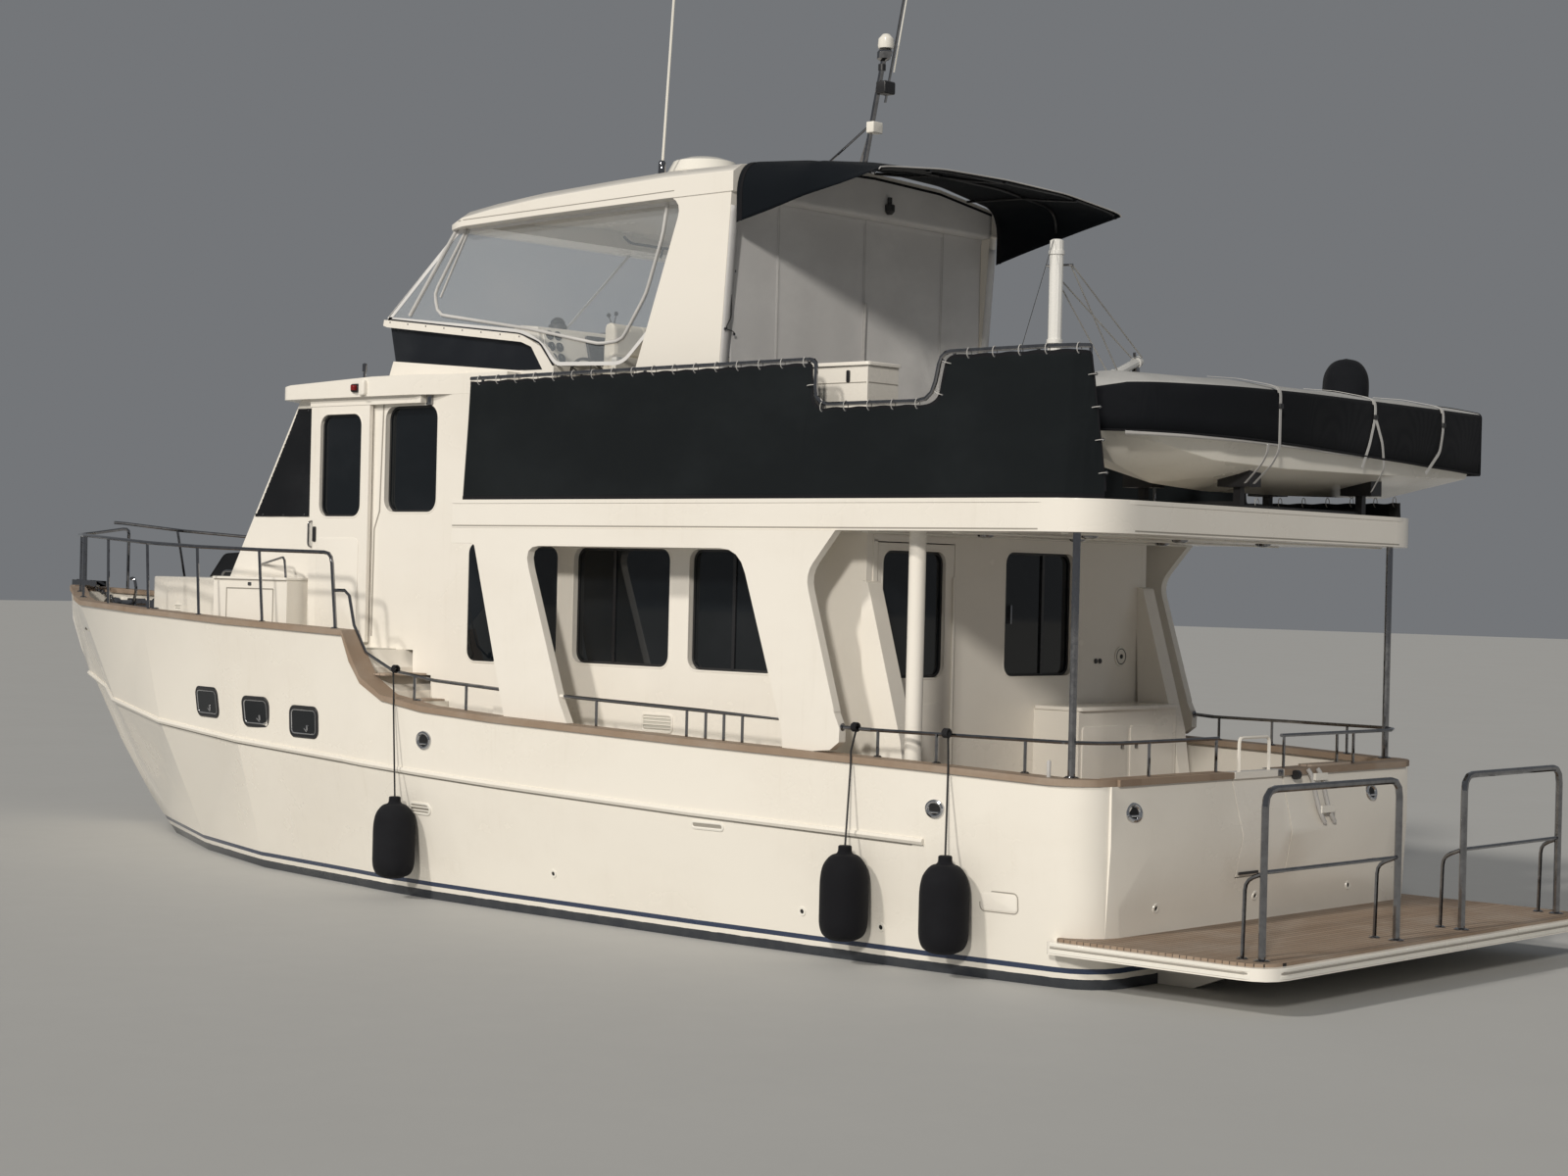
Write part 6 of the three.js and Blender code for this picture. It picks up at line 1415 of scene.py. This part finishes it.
joined("inner_hand_rails",
       both_sides([tube(hand_rail, 0.011, 8), tube([(2.0, 1.65, 2.636), (2.0, 1.64, 2.52)], 0.009, 8)]), ["steel"])

roof_gear = [turned([(0, 0), (0.012, 0), (0.012, 0.05), (0.020, 0.055), (0.020, 0.12), (0, 0.13)],
                    (0.576, 1.700, 4.216), Z, 12, 2),
             block((0.06, 0.10, 0.01), 0.030, 0.006, 2, (-0.229, wall_face, 4.020)),
             block((0.075, 0.130, 0.02), 0.034, 0.010, 0, (0.505, roof_side, 4.130))]
for y in (-0.9, 0.0, 0.9):
    roof_gear.append(tube(bent([(1.830, y, 4.135), (1.865, y, 4.150), (1.93, y, 4.118)], 0.02, 12), 0.010, 8, 2))
    roof_gear.append(bar_on([(front_at(4.02) + 0.020, y - 0.02, 4.05), (front_at(3.35) + 0.028, y + 0.30, 3.35)], 0.018,
                            0.008, unit((1, 0, 0.6)), 1))
joined("roof_fittings", both_sides(roof_gear[:3]) + roof_gear[3:], ["gelcoat", "frame", "steel"])


def running_light(place, out, colour, name):
    """A side light: a black shoe behind a half-round coloured lens."""
    out = unit(out)
    parts = [block((0.11, 0.07, 0.02), 0.022, 0.006, 0, place, unit(np.cross(Z, out)), Z),
             turned([(0.028, -0.022), (0.030, -0.018), (0.030, 0.018), (0.028, 0.022), (0, 0.022)],
                    np.add(place, 0.026 * out), Z, 20, 1)]
    joined(name, parts, ["black_plastic", colour])


for side, lens, label in ((1, "red_lens", "port"), (-1, "green_lens", "starboard")):
    running_light((0.605, side * roof_side, 4.130), (0, side, 0), lens, "side_light_" + label)
search = [turned([(0, 0), (0.05, 0), (0.05, 0.02), (0.02, 0.03), (0.02, 0.11), (0, 0.11)], (1.35, 0.0, 4.168), Z, 18,
                 0), turned([(0, -0.09), (0.045, -0.085), (0.075, -0.04), (0.085, 0.06), (0.080, 0.065), (0, 0.065)],
                            (1.35, 0.0, 4.345), X, 22),
          turned([(0, 0.066), (0.074, 0.066), (0.05, 0.074), (0, 0.077)], (1.35, 0.0, 4.345), X, 22, 1)]
horn = [turned([(0.008, 0), (0.012, 0.10), (0.022, 0.22), (0.045, 0.28), (0.048, 0.285), (0.040, 0.280), (0, 0.20)],
               (1.10, y, 4.24), X, 16) for y in (0.75, 0.83)]
horn += [block((0.06, 0.14, 0.01), 0.035, 0.006, 0, (1.16, 0.79, 4.192), X, Y)]
joined("search_light_and_horns", search + horn, ["steel", "lens"])

# Flybridge: helm, seat and coaming

aft_face = unit(np.array([0.09, 0, 0.32]))
face_out = np.cross(-Y, aft_face)
helm = [block((0.96, 0.30, 0.03), 0.012, 0.004, 0, (-1.258, 0.870, 4.440), -Y, aft_face)]
for row, up_face in enumerate((0.095, 0.0, -0.095)):
    for column in range(2):
        centre = np.array([-1.258, 1.285 - 0.090 * column, 4.440]) + up_face * aft_face + 0.012 * face_out
        helm.append(placed(moulding(circle(24, 0.034), [(-0.006, 0), (-0.004, 0.008), (0.003, 0.008), (0.006, 0)], 2),
                           centre, -Y, aft_face))
        helm.append(placed(plate(circle(24, 0.030), 0.003, 0, 2), centre, -Y, aft_face))
        helm.append(placed(plate(rectangle(0.003, 0.026, 0.001, at=(0.006, 0.008)), 0.0045, 0, 3), centre,
                           unit(-Y + 0.4 * aft_face * row), aft_face))
screen = np.array([-1.258, 0.72, 4.440]) + 0.012 * face_out
helm += [block((0.34, 0.24, 0.02), 0.022, 0.006, 2, screen, -Y, aft_face),
         block((0.29, 0.19, 0.004), 0.0235, 0, 4, screen, -Y, aft_face),
         block((0.96, 0.92, 0.05), 0.014, 0.005, 2, (-1.3175, 0.870, 3.74), -Y, unit((0.027, 0, 1)))]
wheel_hub = np.array([-1.300, 1.00, 4.12])
axle = unit((-1, 0, 0.35))
wheel_up = unit(np.cross(-Y, axle))
rim_path = wheel_hub + 0.14 * axle + 0.205 * (circle(48) @ np.stack([-Y, wheel_up]))
helm += [tube(rim_path, 0.013, 10, 1, loop=True), tube([wheel_hub, wheel_hub + 0.15 * axle], 0.022, 14, 1),
         turned([(0, 0), (0.045, 0), (0.04, 0.02), (0, 0.028)], wheel_hub + 0.13 * axle, axle, 20, 1)]
for spoke in range(5):
    angle = 2 * math.pi * spoke / 5
    tip = wheel_hub + 0.14 * axle + 0.20 * (math.cos(angle) * -Y + math.sin(angle) * wheel_up)
    helm.append(tube([wheel_hub + 0.145 * axle, tip], 0.007, 8, 1))
for y, tilt in ((0.50, 0.10), (0.56, -0.05)):
    foot = np.array([-1.215, y, 4.600])
    helm += [tube(spaced([foot, foot + (tilt, 0, 0.16)], 4), 0.006, 8, 1),
             turned([(0, -0.02), (0.016, -0.012), (0.018, 0.004), (0.010, 0.018), (0, 0.02)], foot + (tilt, 0, 0.17), Z,
                    14, 2)]
helm.append(block((0.16, 0.14, 0.03), 0.012, 0.005, 1, (-1.17, 0.53, 4.604), X, Y))
compass = (-0.98, 0.95, 4.617)
helm += [turned([(0, 0), (0.078, 0), (0.078, 0.03), (0.066, 0.045), (0, 0.045)], compass, Z, 26, 2),
         turned([(0.062, 0.044), (0.058, 0.07), (0.040, 0.092), (0.018, 0.102), (0, 0.104)], compass, Z, 26, 4)]
joined("helm_instruments", helm, ["pale_gelcoat", "steel", "black_plastic", "white_webbing", "glass"])

seat_trim = [bar_on([(-1.968, 0.630, z), (-1.968, 1.290, z)], 0.012, 0.004, -X) for z in (3.44, 3.24)]
seat_trim += [block((0.60, 0.17, 0.03), 0.008, 0.003, 1, (-1.5690, 0.96, 3.36), Y, Z),
              block((0.04, 0.02, 0.006), 0.012, 0.003, 2, (-1.561, 0.96, 3.42), Y, Z)]
for y in (0.615, 1.305):
    arm = [(-1.600, y, 3.64), (-1.640, y, 3.86), (-1.90, y, 3.90), (-1.965, y, 3.90)]
    seat_trim.append(tube(bent(arm, 0.05, 24), 0.014, 10, 2))
joined("helm_seat_trim", seat_trim, ["seam", "gelcoat", "steel"])

coaming_line = [(0.50, 4.722), (-1.12, 4.534), (-1.36, 4.450), (-1.52, 4.262)]
track = [strap(bent([(x, side * 1.493, z + 0.003) for x, z in coaming_line], 0.05, 50), 0.016, 0.010, Z)
         for side in (1, -1)]
for side in (1, -1):
    line = spaced([(x, side * 1.5015, z - 0.022) for x, z in coaming_line[:2]], 8)
    track += [turned([(0, 0.004), (0.005, 0.003), (0.007, 0)], place, side * Y, 10, 1) for place in line]
joined("coaming_track", track, ["binding", "steel"])

overhead = [tube(bent([(-0.95, 0.18, 5.470), (-1.02, 0.18, 5.412), (-1.02, -0.62, 5.412), (-0.95, -0.62, 5.470)], 0.04,
                      30), 0.012, 8), tube([(-1.02, -0.22, 5.412), (-0.99, -0.22, 5.33)], 0.012, 8)]
overhead += [turned([(0, 0), (0.055, 0), (0.050, 0.014), (0, 0.018)], (x, 0, z), -Z, 20, 1)
             for x, z in ((-1.2, 5.700), (-2.4, 5.720), (-3.1, 5.720))]
joined("hardtop_overhead", overhead, ["black_plastic", "lens"])

# Gear on the hardtop

hardtop_tree = ray_tree("hardtop")


def on_top(x, y):
    return met(hardtop_tree, (x, y, 8), -Z)[0]


top_gear = [block((0.12, 0.20, 0.02), 0.016, 0.005, 1, (-3.49, 0.06, 5.822), unit((1, 0, -0.02)), Y)]
top_gear += [tube(spaced([on_top(-3.20, y) - (0, 0, 0.01), (-3.575, 0.06, 6.20)], 24), 0.010, 8, 1)
             for y in (0.30, -0.18)]
top_gear += [turned([(0, 0), (0.060, 0), (0.064, 0.02), (0.060, 0.075), (0.030, 0.110), (0, 0.118)],
                    (-3.695, 0.06, 6.770), Z, 22, 2),
             block((0.10, 0.13, 0.015), 0.09, 0.010, 3, (-3.66, 0.06, 6.46), Z, Y),
             block((0.09, 0.12, 0.012), 0.07, 0.010, 2, (-3.60, 0.10, 6.15), Z, Y),
             turned([(0, 0), (0.030, 0), (0.030, 0.05), (0, 0.055)], (-3.66, 0.06, 6.60), Z, 16, 3)]
whip = spaced([(-3.690, -0.050, 6.60), (-3.86, -0.050, 7.45), (-4.000, -0.050, 8.15)], 24)
top_gear += [tube(whip, np.interp(np.linspace(0, 1, 24), [0, 0.5, 1], [0.007, 0.005, 0.002]), 8, 2)]
gps = on_top(-2.05, -0.55)
top_gear += [turned([(0, 0), (0.014, 0), (0.014, 0.09), (0.045, 0.10), (0.050, 0.125), (0.035, 0.155), (0, 0.162)],
                    gps - (0, 0, 0.01), Z, 18, 2)]
camera_foot = (-3.585, -0.164, 5.640)
top_gear += [turned([(0, 0), (0.018, 0), (0.018, 0.05), (0.040, 0.06), (0.040, 0.11), (0.020, 0.135), (0, 0.138)],
                    camera_foot, -Z, 16, 3)]
joined("mast_gear", top_gear, ["pale_gelcoat", "steel", "pale_gelcoat", "black_plastic"])
radome_trim = [turned([(0.302, 0.118), (0.3105, 0.124), (0.3125, 0.150), (0.3125, 0.160), (0.302, 0.166)],
                      (-1.70, 0, 5.7655), Z, 56)]
radome_trim += [block((0.11, 0.09, 0.015), 0.13, 0.012, 1, (-1.62, 0.42, 5.785), X, Y)]
radome_trim += [turned([(0.030, 0), (0.032, 0.02), (0.030, 0.10), (0.020, 0.115), (0, 0.116)], (-1.620, 0.42, 5.91), Z,
                       16, 2)]
joined("radome_trim", radome_trim, ["pale_gelcoat", "gelcoat", "steel"])
eave = [met(hardtop_tree, (x, 5, np.interp(x, [-2.95, -0.45], [5.477, 5.424]) + 0.052), (0, -1, 0))[0]
        for x in np.linspace(-0.45, -2.95, 50)]
joined("hardtop_gutters", both_sides([strap(np.array(eave) + (0, 0.0012, 0), 0.006, 0.0024, Y)]), ["seam"])
seam_line = [on_top(-0.70, y) + (0, 0, 0.0015) for y in np.linspace(-1.50, 1.50, 60)]
joined("hardtop_seams", [strap(seam_line, 0.010, 0.002, Z),
                         strap([on_top(-2.60, y) + (0, 0, 0.0015) for y in np.linspace(-1.5, 1.5, 60)], 0.010, 0.002,
                               Z)], ["seam"])

# Boat deck: deck box, davit and tender gear

box_trim = [block((0.760, 0.380, 0.03), 0.026, 0.010, 0, (-4.710, 1.630, 4.1203), X, Y),
            block((0.030, 0.085, 0.010), 0.012, 0.004, 1, (-4.893, 1.8003, 4.045)),
            bar_on([(-4.36, 1.8015, 4.00), (-5.06, 1.8015, 4.00)], 0.006, 0.003, Y, 2),
            bar_on([(-5.0715, 1.79, 4.00), (-5.0715, 1.47, 4.00)], 0.006, 0.003, -X, 2)]
joined("deck_box_lid", box_trim, ["gelcoat", "frame", "seam"])
shelf = [block((0.34, 0.90, 0.04), 0.09, 0.02, 0, (-5.02, 0.90, 3.60), X, Y),
         block((0.30, 0.86, 0.04), 0.012, 0.004, 1, (-5.02, 0.90, 3.6903), X, Y)]
shelf += [block((0.04, 0.04, 0.01), 0.43, 0, 0, (-5.02 + a, 0.90 + b, boat_deck_top), X, Y) for a in (-0.12, 0.12)
          for b in (-0.40, 0.40)]
joined("boat_deck_bench", shelf, ["gelcoat", "frame"])

turn = math.radians(13.6)


def stowed(place):
    """A point given by its reach along the boom's line, its offset ahead and its height, with the davit stowed."""
    reach, ahead, height = place
    return np.array([-5.350 + ahead * math.cos(turn) + reach * math.sin(turn),
                     ahead * math.sin(turn) - reach * math.cos(turn), height])


def boom_point(along_boom, lift=0.0):
    """A place along the boom's own line, lift above its axis."""
    angle = math.radians(16)
    return stowed((0.110 + along_boom * math.cos(angle) - lift * math.sin(angle), 0,
                   3.950 + along_boom * math.sin(angle) + lift * math.cos(angle)))


boom_out = unit(boom_point(1.5) - boom_point(0.2))
boom_up = unit(boom_point(0.5, 1.0) - boom_point(0.5))
boom_side = np.cross(boom_out, boom_up)
boom_gear = [turned([(0.037, -0.03), (0.046, -0.028), (0.046, 0.028), (0.037, 0.03)], boom_point(at), boom_out, 24)
             for at in (0.42, 1.10, 1.64)]
boom_gear += [turned([(0, -0.012), (0.040, -0.012), (0.040, -0.008), (0.030, -0.004), (0.030, 0.004), (0.040, 0.008),
                      (0.040, 0.012), (0, 0.012)], boom_point(1.60, -0.075), boom_side, 24, 1)]
boom_gear += [block((0.07, 0.12, 0.01), 0.006, 0.001, 1, boom_point(1.60, -0.05) + offset * boom_side, boom_out,
                    boom_up) for offset in (-0.020, 0.014)]
hook_top = boom_point(1.60, -0.115)
hook = [hook_top, hook_top - (0, 0, 0.10), hook_top + (0.030, 0, -0.15), hook_top + (0.0, 0, -0.19),
        hook_top + (-0.030, 0, -0.16)]
boom_gear += [tube(bent(hook, 0.03, 24), 0.007, 8, 1),
              tube([boom_point(1.60, 0.05), boom_point(1.60, 0.085)], 0.012, 8, 1)]
joined("boom_gear", boom_gear, ["alloy", "steel"], body="boom")
mast_gear = [turned([(0.052, 0), (0.060, 0.002), (0.060, 0.03), (0.052, 0.032)], stowed((0, 0, height)), Z, 28)
             for height in (3.62, 4.40, 5.06)]
mast_gear += [turned([(0, -0.075), (0.055, -0.075), (0.055, -0.065), (0.034, -0.06), (0.034, 0.06), (0.055, 0.065),
                      (0.055, 0.075), (0, 0.075)], stowed((-0.105, 0, 4.02)), stowed((0, 1, 0)) - stowed((0, 0, 0)), 24,
                     1), block((0.11, 0.16, 0.02), 0.05, 0.006, 0, stowed((-0.050, 0, 4.02)),
                               stowed((0, 1, 0)) - stowed((0, 0, 0)), Z),
              tube([stowed((-0.105, 0.07, 4.02)), stowed((-0.105, 0.12, 4.02)), stowed((-0.13, 0.13, 4.16))], 0.007, 8,
                   1), turned([(0, -0.010), (0.030, -0.010), (0.022, 0), (0.030, 0.010), (0, 0.010)],
                              stowed((0.062, 0, 5.11)), stowed((0, 1, 0)) - stowed((0, 0, 0)), 20, 1),
              tube([stowed((0.062, -0.108, 4.99)), stowed((0.062, 0.108, 4.99))], 0.009, 10, 1)]
joined("davit_mast_gear", mast_gear, ["alloy", "steel"], body="davit")

# The topping tackle runs from the bar at the mast's head to the boom. It rides on the boom, and its parts pass on both
# sides of the mast as the boom luffs
tackle = [tube([stowed((0.074, -side * spread, 4.99)), boom_point(at, 0.036) + side * 0.045 * boom_side], 0.006, 6)
          for side in (-1, 1) for at, spread in ((1.10, 0.085), (1.64, 0.097))]
joined("topping_tackle", tackle, ["line"], body="boom")
# The stay stands in the one sector that the boom never enters
joined("davit_stay", [tube([(-5.365, 0.060, 5.165), (-5.665, 1.300, 3.180)], 0.003,
                           6)] + flange((-5.665, 1.300, 3.1705), 0.030), ["steel"])

tender_strake = spaced(np.column_stack([tender_x - tender_plan[6:60, 1] + 0.018, tender_plan[6:60, 0],
                                        3.512 + 0.034 * (tender_plan[6:60, 0] + 2.5)]), 60)
joined("tender_rub_strake", [tube(tender_strake, np.interp(np.linspace(0, 1, 60), [0, 1], [0.021, 0.008]), 10)],
       ["white_webbing"])
pads = []
for y in (0.060, 0.240, -1.590, -1.410):
    for x in (-7.080, -6.280):
        pads.append(turned([(0, 0), (0.060, 0), (0.060, 0.008), (0.020, 0.012), (0, 0.012)], (x, y, 3.1705), Z, 14))
joined("chock_feet", pads, ["steel"])

# Foredeck: skylight cover, hatch rim, windlass and anchor gear

skylight = [(3.628, 2.505), (3.660, 2.744), (4.092, 2.724), (4.316, 2.503)]
shell = bent(skylight, [0.05, 0.05], 30)
rows = [np.column_stack([shell[:, 0], np.full(30, y), shell[:, 1] + 0.004]) for y in np.linspace(-0.504, 0.504, 33)]
cover = np.stack(rows)
cover[..., 2] -= 0.004 * np.sin(np.linspace(0, np.pi, 33))[:, None] * np.sin(np.linspace(0, np.pi, 30))[None]
cheeks = [list(range(30)), list(range(32 * 30, 33 * 30))]
sewn("skylight_cover_cloth", cover, ["cover_side"], [], caps=cheeks)
hem = np.concatenate([cover[0], cover[1:-1, -1], cover[-1, ::-1], cover[-2:0:-1, 0]])
joined("skylight_cover_hem", [tube(hem, 0.006, 6, loop=True)], ["binding"])
lipped = [(-0.040, 0.0), (-0.040, 0.004), (-0.004, 0.006), (0.003, 0.0), (0.003, -0.034), (-0.004, -0.034)]
hatch_rim = [placed(moulding(rectangle(0.650, 0.660, 0.060), lipped), (2.975, 0, 2.5642), X, Y)]
hatch_rim += [block((0.03, 0.05, 0.008), 0.012, 0.004, 0, (3.24, y, 2.570), X, Y) for y in (-0.2, 0.2)]
joined("fore_hatch_rim", hatch_rim, ["alloy"], body="fore_hatch")
trunk_rails = []
for y in (0.95, -0.95):
    line = [(2.85, y, 2.50), (2.88, y, 2.565), (3.50, y, 2.565), (3.53, y, 2.50)]
    trunk_rails.append(tube(bent(line, 0.04, 30), 0.011, 8))
joined("trunk_hand_rails", trunk_rails, ["steel"])

gipsy = [turned([(0, 0), (0.105, 0), (0.105, 0.012), (0.060, 0.030), (0.056, 0.055), (0.060, 0.080), (0.100, 0.098),
                 (0.100, 0.110), (0, 0.114)], (6.26, side * 0.230, 2.160), side * Y, 28) for side in (1, -1)]
gipsy += [block((0.42, 0.30, 0.04), 0.05, 0.02, 1, (6.275, 0, 2.1203), X, Y),
          tube(bent([(6.20, 0.10, 2.15), (6.12, 0.10, 2.34), (6.16, 0.10, 2.47), (6.22, 0.10, 2.46)], 0.05, 24), 0.016,
               10), block((0.10, 0.08, 0.02), 0.08, 0.01, 1, (6.44, 0.10, 2.12), X, Y)]
links = []
for link in range(14):
    centre = np.array([6.42 + 0.042 * link, 0.0, 2.175 + 0.0125 * link])
    oval = ellipse(0.062, 0.040, 12)
    side_way = (Y, Z)[link % 2]
    links.append(tube(centre + oval[:, :1] * unit((1, 0, 0.3)) + oval[:, 1:] * side_way, 0.006, 5, loop=True))
joined("windlass_gear", gipsy, ["steel", "black_plastic"])
joined("anchor_chain", links, ["steel"])
shank = bent([(6.98, 0, 2.365), (7.16, 0, 2.420), (7.30, 0, 2.425)], 0.05, 20)
anchor = [strap(shank, 0.030, 0.060, Y)]
roller = [strap([(6.90, y, 2.395), (7.335, y, 2.405)], 0.060, 0.008, Y) for y in (-0.062, 0.062)]
roller += [turned([(0.020, -0.055), (0.040, -0.05), (0.026, 0), (0.040, 0.05), (0.020, 0.055)], (7.26, 0, 2.400), Y, 20,
                  1)]
joined("stem_roller", roller + anchor, ["steel", "black_plastic"])


def cleat(place, along):
    """A mooring cleat: two feet and a horn bar that swells in its middle."""
    along = unit(along)
    path = bent([place + 0.030 * Z - 0.13 * along + 0.016 * Z, place + 0.052 * Z - 0.05 * along,
                         place + 0.052 * Z + 0.05 * along, place + 0.030 * Z + 0.13 * along + 0.016 * Z], 0.04, 24)
    radius = 0.009 + 0.006 * np.sin(np.linspace(0, np.pi, 24))
    parts = [tube(path, radius, 8)]
    for shift in (-0.045, 0.045):
        parts.append(turned([(0.022, 0), (0.020, 0.006), (0.012, 0.02), (0.014, 0.05), (0, 0.05)],
                            place + shift * along, Z, 12))
    return parts


cleats = [part for spot in ((-0.98, 1.98, 0.9565), (-6.09, 1.96, 0.6465), (5.80, 0.62, 1.9565))
          for part in cleat(np.array(spot), X)]
joined("mooring_cleats", both_sides(cleats), ["steel"])

rail_feet = []
for radius, inboard, stations in ((0.034, 0.087, (0.280, 1.290, 2.290, 3.180, 4.160, 5.270, 6.300)),
                                  (0.030, 0.147, (-0.720, -1.340, -5.500, -6.000, -6.700))):
    for x in stations:
        rail_feet += flange(on_cap(x, inboard) + (0, 0, 0.0005), radius)
rail_feet += flange((-7.048, 2.000, 1.3615), 0.050)
joined("rail_flanges", both_sides(rail_feet), ["steel"])
pillar_end = [tube([(-5.440, 2.110, 1.590), (-5.340, 2.137, 1.594), (-5.222, 2.165, 1.598)], 0.014, 10),
              turned([(0, 0), (0.028, 0), (0.028, 0.004), (0.016, 0.012), (0, 0.012)], (-5.226, 2.163, 1.598), -X, 18)]
joined("rail_ends", both_sides(pillar_end), ["steel"])
covers = []
for name in ("fender_fore", "fender_middle", "fender_aft"):
    points = np.array([vertex.co for vertex in nodes[name].data.vertices])
    foot = points[:, 2].min()
    belly = points[points[:, 2] < foot + 0.41]
    axis_x, axis_y = (belly.max(0) + belly.min(0))[:2] / 2
    outline = eased([(0, -0.003), (0.080, -0.003), (0.167, 0.050), (0.167, 0.480), (0.105, 0.575), (0.048, 0.590),
                     (0.046, 0.644), (0.0, 0.644)], [0.05, 0.10, 0.12, 0.06, 0.02, 0.01], 7)
    covers.append(turned(outline, (axis_x, axis_y, foot), Z, 48))
    covers.append(tube((axis_x, axis_y, foot + 0.586) + 0.049 * np.column_stack([circle(28), np.zeros(28)]), 0.006, 6,
                       1, loop=True))
joined("fender_covers", covers, ["binding", "cord"])
lashing = []
for x, y, z in ((-5.33, 2.147, 1.604), (-6.11, 2.125, 1.604), (-0.49, 2.180, 1.813)):
    for shift in (-0.016, 0.0, 0.016):
        lashing.append(tube(np.array([x + shift, y, z]) + (circle(14, 0.026) @ np.stack([Y, Z])), 0.008, 6,
                            loop=True))
joined("fender_hitches", lashing, ["cord"])
stub = [turned([(0, 0), (0.014, 0), (0.014, 0.10), (0.008, 0.11), (0, 0.11)], on_cap(-6.93, 0.08), Z, 12)]
joined("cap_stub", stub, ["white_webbing"])

# Below the water

anode = [block((0.30, 0.09, 0.04), 0.03, 0.015, 0, *on_side(-5.6, -0.10)),
         block((0.22, 0.16, 0.03), 0.02, 0.008, 0, (-1.6, 0.0903, -1.05))]
joined("anodes", both_sides(anode), ["alloy"])
intake = [placed(part, *on_side(x, -0.25)) for x in (-3.0, -1.2) for part in (
    [moulding(ellipse(0.16, 0.11, 24), [(-0.012, -0.004), (-0.010, 0.008), (0.010, 0.010), (0.018, -0.004)])]
    + [bar_on([(-0.060, y, 0.006), (0.060, y, 0.006)], 0.006, 0.004, Z) for y in (-0.030, -0.010, 0.010, 0.030)])]
joined("sea_intakes", intake, ["bronze"])
nose = [turned([(0.056, 0), (0.050, 0.012), (0.030, 0.05), (0, 0.075)], (-5.4303, 0, -0.870), -X, 20)]
joined("propeller_nut", nose, ["bronze"], body="propeller")


def lay_floor():
    """A pale square level with the water."""
    reach = 150.0
    made = Finish("pale_floor", specular_ior_level=0.2)
    made.colour(blended(made.tree, noise(made.tree, made.place, 0.5), opaque(0.47, 0.47, 0.46),
                        opaque(0.50, 0.50, 0.49)))
    made.rough(noise(made.tree, made.place, 3.0), 0.6, 0.8)
    mesh = bpy.data.meshes.new("floor")
    mesh.from_pydata([(-reach, -reach, 0), (reach, -reach, 0), (reach, reach, 0), (-reach, reach, 0)], [],
                     [(0, 1, 2, 3)])
    mesh.materials.append(made.material)
    floor = bpy.data.objects.new("floor", mesh)
    scene.collection.objects.link(floor)


lay_floor()
